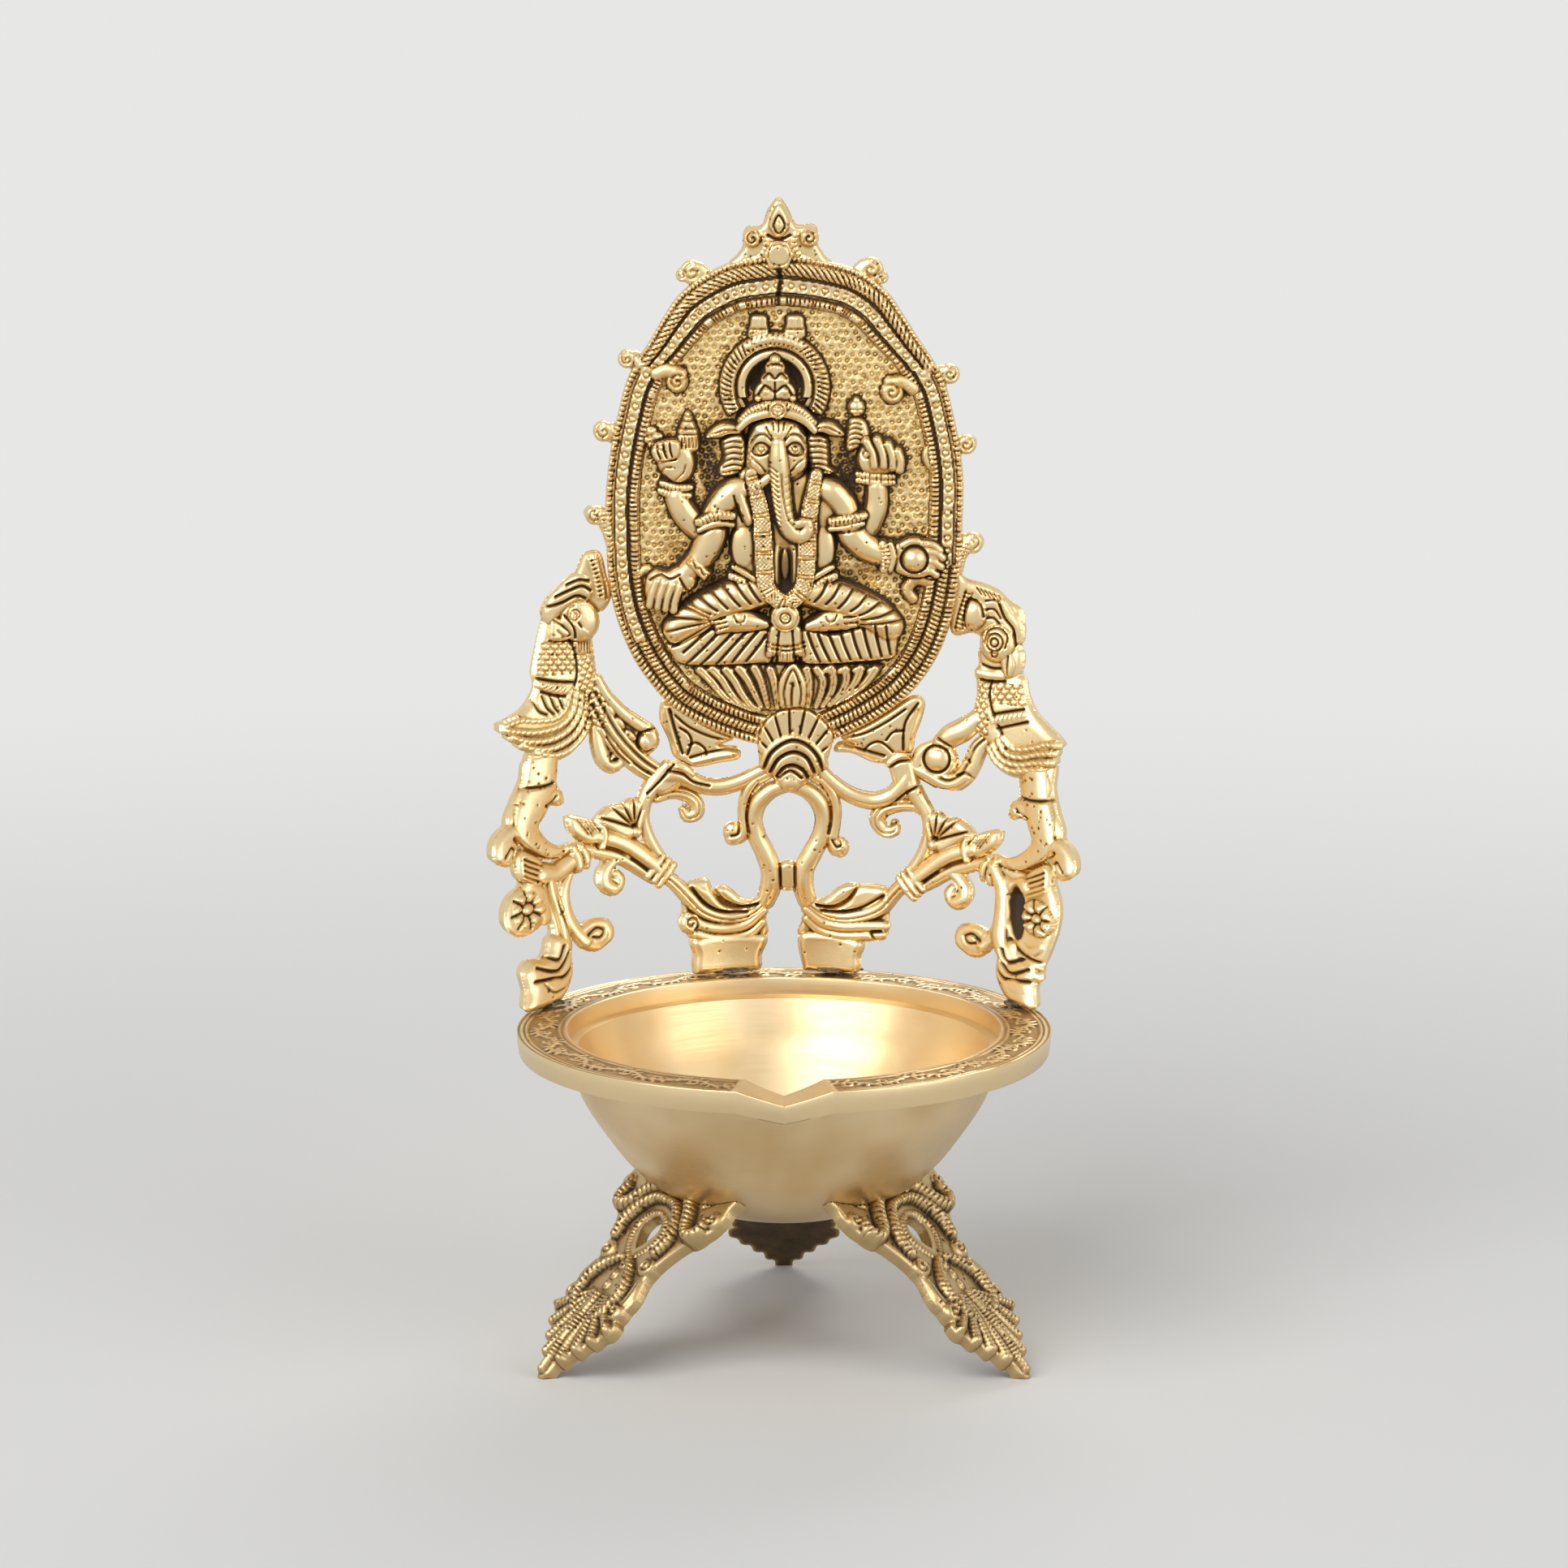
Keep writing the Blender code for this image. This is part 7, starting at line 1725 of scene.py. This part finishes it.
    stem(s, [(13.8, 135.6, 1.2), (18.2, 136.2, 1.5), (23.2, 137.4, 1.2)], 0.9, 8.3, rope=(1.2, 0.6, 0))
    stem(s, [(13.4, 133.6, 0.7), (18, 134, 0.8), (23, 135.2, 0.7)], 0.9, 8.5)
    groove(s, [(14.2, 132.2), (18.4, 132.6), (22.8, 133.6)], 0.3, 0.6)
    stem(s, [(28.8, 129, 1.2), (29.8, 125.4, 1.5), (29, 121.6, 1.2)], 0.9, 7.6, rope=(1.15, 0.6, 0))
    stem(s, [(31, 129, 0.8), (31.8, 125.2, 1.0), (31, 121.6, 0.8)], 0.9, 7.6)
    plate(s, [(31.6, 128.4), (36, 129.6), (41, 129.2), (45, 128.2), (46, 124.4), (44.4, 120.6), (39, 118.8),
              (34, 119.8), (31.6, 122.2)], 1.8, 5.2, soft=2.4)
    for points in ([(40.4, 129), (43.4, 128.6), (45.4, 127)], [(42, 126.6), (44.4, 126.2), (46.2, 124.8)],
                   [(41.8, 124), (44.2, 123.4), (45.8, 122.2)], [(40.6, 121.2), (42.8, 120.8), (44.4, 119.8)],
                   [(34.4, 128.4), (36.8, 129.6), (39, 129.6)]):
        stem(s, [(*point, 1.15) for point in points], 1.3, 5.8)
    boss(s, 38, 124.4, (3.7, 3.6), 3.0, 6.2)
    ring(s, 38, 124.4, 3.9, 0.3, -0.9)

    # ears
    plate(s, [(-18, 159.4), (-12.4, 161), (-11, 156), (-12.2, 150), (-17.6, 148.4), (-19.2, 150.4),
          (-17.6, 154)], 2.2, 4.0, soft=2)
    plate(s, [(7, 160.6), (12.2, 160.2), (13.2, 155.4), (13.4, 151.6), (15.4, 149.8), (9, 149.2), (7, 154)],
          2.2, 4.0, soft=2)
    for number in range(6):
        z = 159 - 1.7 * number
        cutLines(s, 0.26, 0.8, [(-17.8, z - 0.9), (-14.6, z), (-12.2, z - 0.4)], [(7.6, z), (10.4, z + 0.2),
                 (13.4, z - 0.6)])
    plate(s, [(-22.8, 160.2), (-20.4, 163), (-16.8, 164.4), (-12.8, 163.6), (-12.4, 161.4), (-16, 161),
              (-19.4, 159.8)], 2.2, 5.2, soft=1.6)
    plate(s, [(8, 161.4), (8.4, 163.8), (12, 165), (15.4, 163.8), (17.6, 160.8), (14.4, 160.4), (11, 161.6)],
          2.2, 5.2, soft=1.6)
    cutLines(s, 0.28, 0.7, [(-22, 160.8), (-17, 162.4), (-13, 162.4)], [(9, 162.6), (12.6, 163.2),
             (16.6, 161)])
    stem(s, [(-11.6, 149, 1.4), (-8, 151.6, 1.4), (-4.4, 149, 1.2)], 0.9, 6.2)

    # head
    plate(s, [(-10.8, 151), (-10.6, 156.4), (-10, 161), (-8.4, 164.6), (-2, 166), (4, 164.6), (6.2, 161),
              (6.8, 156), (6.4, 151), (3.4, 147.8), (-1.6, 146.6), (-7.2, 148.4)], 4.0, 5.6, soft=5.6)
    boss(s, -6.4, 153, (3.4, 3.6), 1.6, 8.0)
    boss(s, 3.4, 153.4, (3.2, 3.6), 1.6, 8.0)
    for middle, side in ((-6.6, -1), (3.2, 1)):
        boss(s, middle, 157.2, (1.9, 1.5), 1.0, 9.3)
        groove(s, [(middle + 2.6 * side, 156.2), (middle + 1.2 * side, 158.6), (middle - 0.8 * side, 158.9),
                   (middle - 2.5 * side, 157.2), (middle - 1.2 * side, 155.6), (middle + 1 * side, 155.3)],
               0.26, 0.8, closed=True)
        ring(s, middle, 157.2, 0.85, 0.22, -0.6)
        groove(s, [(middle + 3.2 * side, 158.4), (middle + 1.6 * side, 160.8), (middle - 1 * side, 161.4),
                   (middle - 3 * side, 159.6)], 0.3, 0.8)
        groove(s, [(middle + 2.8 * side, 154.6), (middle + 0.6 * side, 152.8), (middle - 1.2 * side, 150.6)],
               0.3, 0.7)
    cutLines(s, 0.26, 0.7, [(-1.7, 158.4), (-3.8, 160.8), (-5.2, 163.6)], [(-1.5, 158.4), (0.6, 160.8),
             (2.2, 163.6)], [(-3, 162.6), (-3.2, 164.8)], [(-1.6, 162.2), (-1.6, 165)], [(-0.2, 162.6),
             (0, 164.8)])
    stem(s, [(-1.7, 158.6, 2.2), (-1.6, 154.6, 2.9), (-1.3, 150, 3.0), (-1.0, 145.4, 2.9), (-0.4, 140.6, 2.8),
             (0.6, 136, 2.7), (2.2, 132.8, 2.5), (4.8, 131.6, 2.3), (6.8, 133.2, 2.1), (6.8, 135.4, 1.8)],
         1.0, 8.8)
    for number in range(12):
        z = 151.6 - 1.5 * number
        x = -1.2 + 0.09 * number
        groove(s, [(x - 3.0, z + 0.7), (x - 0.7, z - 0.9)], 0.26, 0.7)
    groove(s, [(-0.8, 150), (-0.2, 143), (1.2, 137), (3.6, 134)], 0.3, 0.6)
    for number in range(7):
        z = 149 - 2.1 * number
        groove(s, [(0.6 + 0.1 * number, z), (2.2 + 0.1 * number, z + 0.7)], 0.24, 0.4)
    boss(s, 4.6, 135.4, (2.6, 1.5), 1.6, 9.4, turn=20)
    stem(s, [(-8.6, 145.4, 1.2), (-6.6, 147, 1.4), (-4.4, 148.8, 1.3)], 0.9, 8.6)
    groove(s, [(-7.6, 145), (-8.6, 146.6)], 0.3, 0.6)

    # headband and crown
    for x, z, wide, tall, lift in ((-2.6, 172.8, 6.0, 4.6, 5.6), (-2.6, 176.6, 4.2, 3.4, 5.8),
                                   (-2.6, 180, 3.0, 3.0, 5.8), (-2.6, 182.6, 1.7, 1.8, 5.8)):
        boss(s, x, z, (wide, tall), 2.2, lift)
    for points in ([(-7.6, 172.4), (-5.4, 175.4), (-2.6, 173.6), (0.2, 175.4), (2.4, 172.4)],
                   [(-6, 177.4), (-4.2, 179), (-2.6, 177.4), (-1, 179), (0.8, 177.4)],
                   [(-4.8, 181), (-2.6, 181.8), (-0.4, 181)], [(-2.6, 176.4), (-2.6, 171)]):
        groove(s, points, 0.32, 0.9)
    for x, z in ((-7.6, 171.6), (-5.4, 173.6), (0.4, 173.6), (2.6, 171.6), (-4.2, 177), (-1, 177),
                 (-3.6, 180.4), (-1.6, 180.4)):
        boss(s, x, z, (0.95, 0.95), 0.9, 7.2)
    stem(s, [(-13, 163, 1.0), (-10, 165.8, 1.2), (-6, 167.2, 1.3), (-1.8, 167.6, 1.3), (2.4, 167, 1.3),
             (6.2, 165.2, 1.2), (8.8, 162.4, 1.0)], 0.95, 8.0)
    stem(s, [(-12.6, 165.2, 1.0), (-9.4, 168, 1.3), (-5.6, 169.4, 1.4), (-1.8, 169.8, 1.4), (2, 169.2, 1.4),
             (5.6, 167.4, 1.3), (8.6, 164.6, 1.0)], 0.95, 7.8, rope=(1.05, 0.6, 0))
    boss(s, -1.8, 168.6, (2.7, 2.7), 1.3, 9.2, crown=4)
    ring(s, -1.8, 168.6, 1.7, 0.28, -0.7)
    ring(s, -1.8, 168.6, 0.75, 0.22, -0.4)

    # garland down both sides of the chest and round the lap
    stem(s, [(-9.6, 149.6, 1.8), (-8, 144, 2.3), (-6.6, 137.6, 2.5), (-6, 130, 2.7), (-5.6, 121.6, 2.7),
             (-4.6, 115.6, 2.5), (0.4, 111.8, 2.5), (5.2, 115.6, 2.5), (6.4, 121.6, 2.7), (6.8, 130, 2.7),
             (7.4, 138, 2.5), (8.4, 144, 2.2), (9.4, 149.4, 1.8)], 0.42, 8.2, crown=5)
    line = smoothLine([(-9.6, 149.6), (-8, 144), (-6.6, 137.6), (-6, 130), (-5.6, 121.6), (-4.6, 115.6),
                       (0.4, 111.8), (5.2, 115.6), (6.4, 121.6), (6.8, 130), (7.4, 138), (8.4, 144),
                       (9.4, 149.4)], step=0.5)
    found = measure(s, line, 2.6)
    panel = np.mod(found["along"], 5.6)
    near = (found["near"] < 2.3) & (s["top"] > 8.2) & (s["top"] < 9.9)
    bars = np.exp(-((panel - 0.5) / 0.26) ** 2) + np.exp(-((panel - 1.6) / 0.26) ** 2)
    weave = (np.clip(np.cos(2 * math.pi * (found["along"] + found["side"]) / 1.25), 0, 1) ** 4
             + np.clip(np.cos(2 * math.pi * (found["along"] - found["side"]) / 1.25), 0, 1) ** 4)
    s["top"] -= np.where(near, 0.6 * bars + np.where(panel > 2.1, 0.35 * weave, 0), 0)
    s["top"] -= np.where(near, 0.4 * np.exp(-((found["near"] - 1.95) / 0.2) ** 2), 0)
    # a slot sunk in the belly inside the garland, painted dark as shade
    slot = np.exp(-(((s["x"] - 0.4) / 1.9) ** 4 + ((s["z"] - 121) / 6.6) ** 4))
    s["top"] -= 2.6 * slot
    s["stainAndShade"] = np.maximum(s["stainAndShade"], 0.6 * slot)
    boss(s, 0.3, 123, (1.2, 4.6), 1.2, 5.6, crown=4)

    # belt and pleated apron
    plate(s, [(-3.4, 105), (-4.8, 99.6), (-5, 95.4), (-1.8, 96), (-1.6, 94.2), (3, 94.2), (3.2, 96), (6, 95.6),
              (5.2, 100), (4.2, 105)], 1.8, 6.4, soft=1.2)
    cutLines(s, 0.34, 0.9, [(-1.4, 104), (-2.2, 95.6)], [(2.4, 104), (3, 95.4)], [(-5, 98.6), (0.6, 97.6),
             (6, 98.6)], [(-5, 99.8), (0.6, 98.9), (5.8, 99.8)])
    for number in range(10):
        x = -4.4 + 1.05 * number
        groove(s, [(x, 97), (x, 94.6)], 0.2, 0.5)
    boss(s, 0.4, 107.4, (4.3, 4.3), 1.6, 7.6, crown=5)
    ring(s, 0.4, 107.4, 3.5, 0.28, -0.5)
    ring(s, 0.4, 107.4, 1.5, 0.28, -0.7)
    ring(s, 0.4, 107.4, 0.6, 0.22, -0.4)
    lumpy(s, 51, 0.1, 2.5)
    pit(s, 52, 130, 0.5)
    return s


def levelsOf(sheet, others):
    # the height of everything else round a casting, for the dirt and painted shade beside it
    around = np.full(sheet["x"].shape, -9.0)
    for other in others:
        i = np.round((sheet["x"] - other["x"][0, 0]) / other["cell"]).astype(int)
        j = np.round((sheet["z"] - other["z"][0, 0]) / other["cell"]).astype(int)
        within = (i >= 0) & (j >= 0) & (i < other["x"].shape[0]) & (j < other["x"].shape[1])
        i, j = np.where(within, i, 0), np.where(within, j, 0)
        level = np.where(within & (other["edge"][i, j] < 0), other["top"][i, j], -9)
        around = np.maximum(around, level)
    return around


def makeMedallion():
    parts = {"ground": drawGround(), "border": drawBorder(), "halo": drawHalo(), "lotus": drawLotus(),
             "figure": drawFigure()}
    nodes = {"ground": "medallion_plate", "border": "medallion_border", "halo": "halo",
             "lotus": "lotus_seat", "figure": "ganesha_figure"}
    for name, sheet in parts.items():
        others = [other for key, other in parts.items() if key != name]
        sheet["around"] = levelsOf(sheet, others)
    # the ground and border reach the back of the plate, and the rest stands on the ground
    backs = {"ground": openwork["back"] + 0.01, "border": openwork["back"]}
    for name, sheet in parts.items():
        back = backs.get(name, medallion["ground"] - 0.1)
        material = groundBrass if name == "ground" else castBrass
        castSheet(sheet, "medallion" + name.title(), [nodes[name]], back=back, material=material, flatBack=True)


makeMedallion()
finishCasting(drawCrest(), "crestFinial", ["crest"], 27, 20)


# Solder, puddled round the feet of the plate
def makeSolderPads():
    for number, name in enumerate(("solder_inner_left", "solder_inner_right", "solder_outer_left",
                                   "solder_outer_right")):
        low, high = (np.array(corner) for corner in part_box(name))
        middle, half = (low + high) / 2, (high - low) / 2
        bpy.ops.object.select_all(action="DESELECT")
        bpy.ops.mesh.primitive_ico_sphere_add(subdivisions=6, radius=1)
        pad = bpy.context.object
        pad.name = name.replace("solder_", "solderPad_")

        def puddle(spots):
            turn = np.arctan2(spots[:, 1], spots[:, 0])
            uneven = (0.84 + 0.07 * np.sin(3 * turn + number) + 0.05 * np.sin(7 * turn + 2 * number)
                      + 0.03 * np.sin(13 * turn + number))
            lumps = 0.8 + 0.2 * np.sin(9 * spots[:, 0] + number) * np.sin(7 * spots[:, 1] + number)
            tall = np.sign(spots[:, 2]) * np.abs(spots[:, 2]) ** 0.5 * lumps
            flat = np.stack([spots[:, 0] * uneven, spots[:, 1] * uneven, tall], axis=1)
            return middle + flat * half * (0.86, 0.8, 1)

        moveMesh(pad.data, puddle)
        pad.data.shade_smooth()
        pad.data.materials.append(solderMetal)
        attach(pad, "root")
        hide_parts(name)
    print("solder placed")


makeSolderPads()


# Floor and light
studio = {"floor": (0.80, 0.80, 0.79, 1), "floorSize": 14, "fadeFrom": 0.25, "fadeTo": 1.1,
          "world": 0.25, "backdrop": (0.80, 0.80, 0.79, 1), "aim": (0, 0, 0.15)}
lamps = {"keyLamp": {"place": (-1.2, -1.5, 1.7), "size": (2.2, 1.6), "power": 41.0},
         "fillLamp": {"place": (1.7, -1.2, 1.1), "size": (1.8, 1.5), "power": 14.0},
         "backLamp": {"place": (0.3, 1.3, 1.2), "size": (0.9, 0.5), "power": 6.0}}


def seenDirectly(tree):
    # one where the backdrop is looked at or mirrored, and not where it lights the lamp
    path = addNode(tree, "ShaderNodeLightPath")
    total = path.outputs["Is Camera Ray"]
    for name in ("Is Glossy Ray", "Is Transmission Ray"):
        add = addNode(tree, "ShaderNodeMath", operation="MAXIMUM")
        tree.links.new(total, add.inputs[0])
        tree.links.new(path.outputs[name], add.inputs[1])
        total = add.outputs[0]
    return total


def makeFloor():
    material, tree, shader = newMaterial("paleFloor", studio["floor"])
    shader.inputs["Base Color"].default_value = studio["floor"]
    shader.inputs["Roughness"].default_value = 0.9
    spot = addNode(tree, "ShaderNodeTexCoord").outputs["Object"]
    away = addNode(tree, "ShaderNodeVectorMath", operation="LENGTH")
    tree.links.new(spot, away.inputs[0])
    far = addNode(tree, "ShaderNodeMath", operation="MULTIPLY")
    fade = ramp(tree, away.outputs["Value"], studio["fadeFrom"], studio["fadeTo"])
    tree.links.new(fade, far.inputs[0])
    tree.links.new(seenDirectly(tree), far.inputs[1])
    glow = addNode(tree, "ShaderNodeEmission", Color=studio["backdrop"], Strength=1.0)
    blend = addNode(tree, "ShaderNodeMixShader")
    tree.links.new(far.outputs[0], blend.inputs[0])
    tree.links.new(shader.outputs[0], blend.inputs[1])
    tree.links.new(glow.outputs[0], blend.inputs[2])
    tree.links.new(blend.outputs[0], tree.nodes["Material Output"].inputs["Surface"])
    bpy.ops.object.select_all(action="DESELECT")
    bpy.ops.mesh.primitive_plane_add(size=studio["floorSize"], location=(0, 0, 0))
    floor = bpy.context.object
    floor.name = "floor"
    floor.data.materials.append(material)


def addLamp(name, place, size, power):
    bpy.ops.object.light_add(type="AREA", location=place)
    light = bpy.context.object
    light.name = name
    light.data.shape = "RECTANGLE"
    light.data.size, light.data.size_y = size
    light.data.energy = power
    light.rotation_euler = (Vector(studio["aim"]) - Vector(place)).to_track_quat("-Z", "Y").to_euler()


makeFloor()
for name, values in lamps.items():
    addLamp(name, **values)

world = bpy.data.worlds.new("studio")
world.use_nodes = True
sky = world.node_tree.nodes["Background"]
sky.inputs["Strength"].default_value = 1.0
plain = mixColor(world.node_tree, seenDirectly(world.node_tree), (*[studio["world"]] * 3, 1),
                 studio["backdrop"])
world.node_tree.links.new(plain, sky.inputs["Color"])
bpy.context.scene.world = world
bpy.context.scene.view_settings.view_transform = "Standard"

print("lamp dressed")
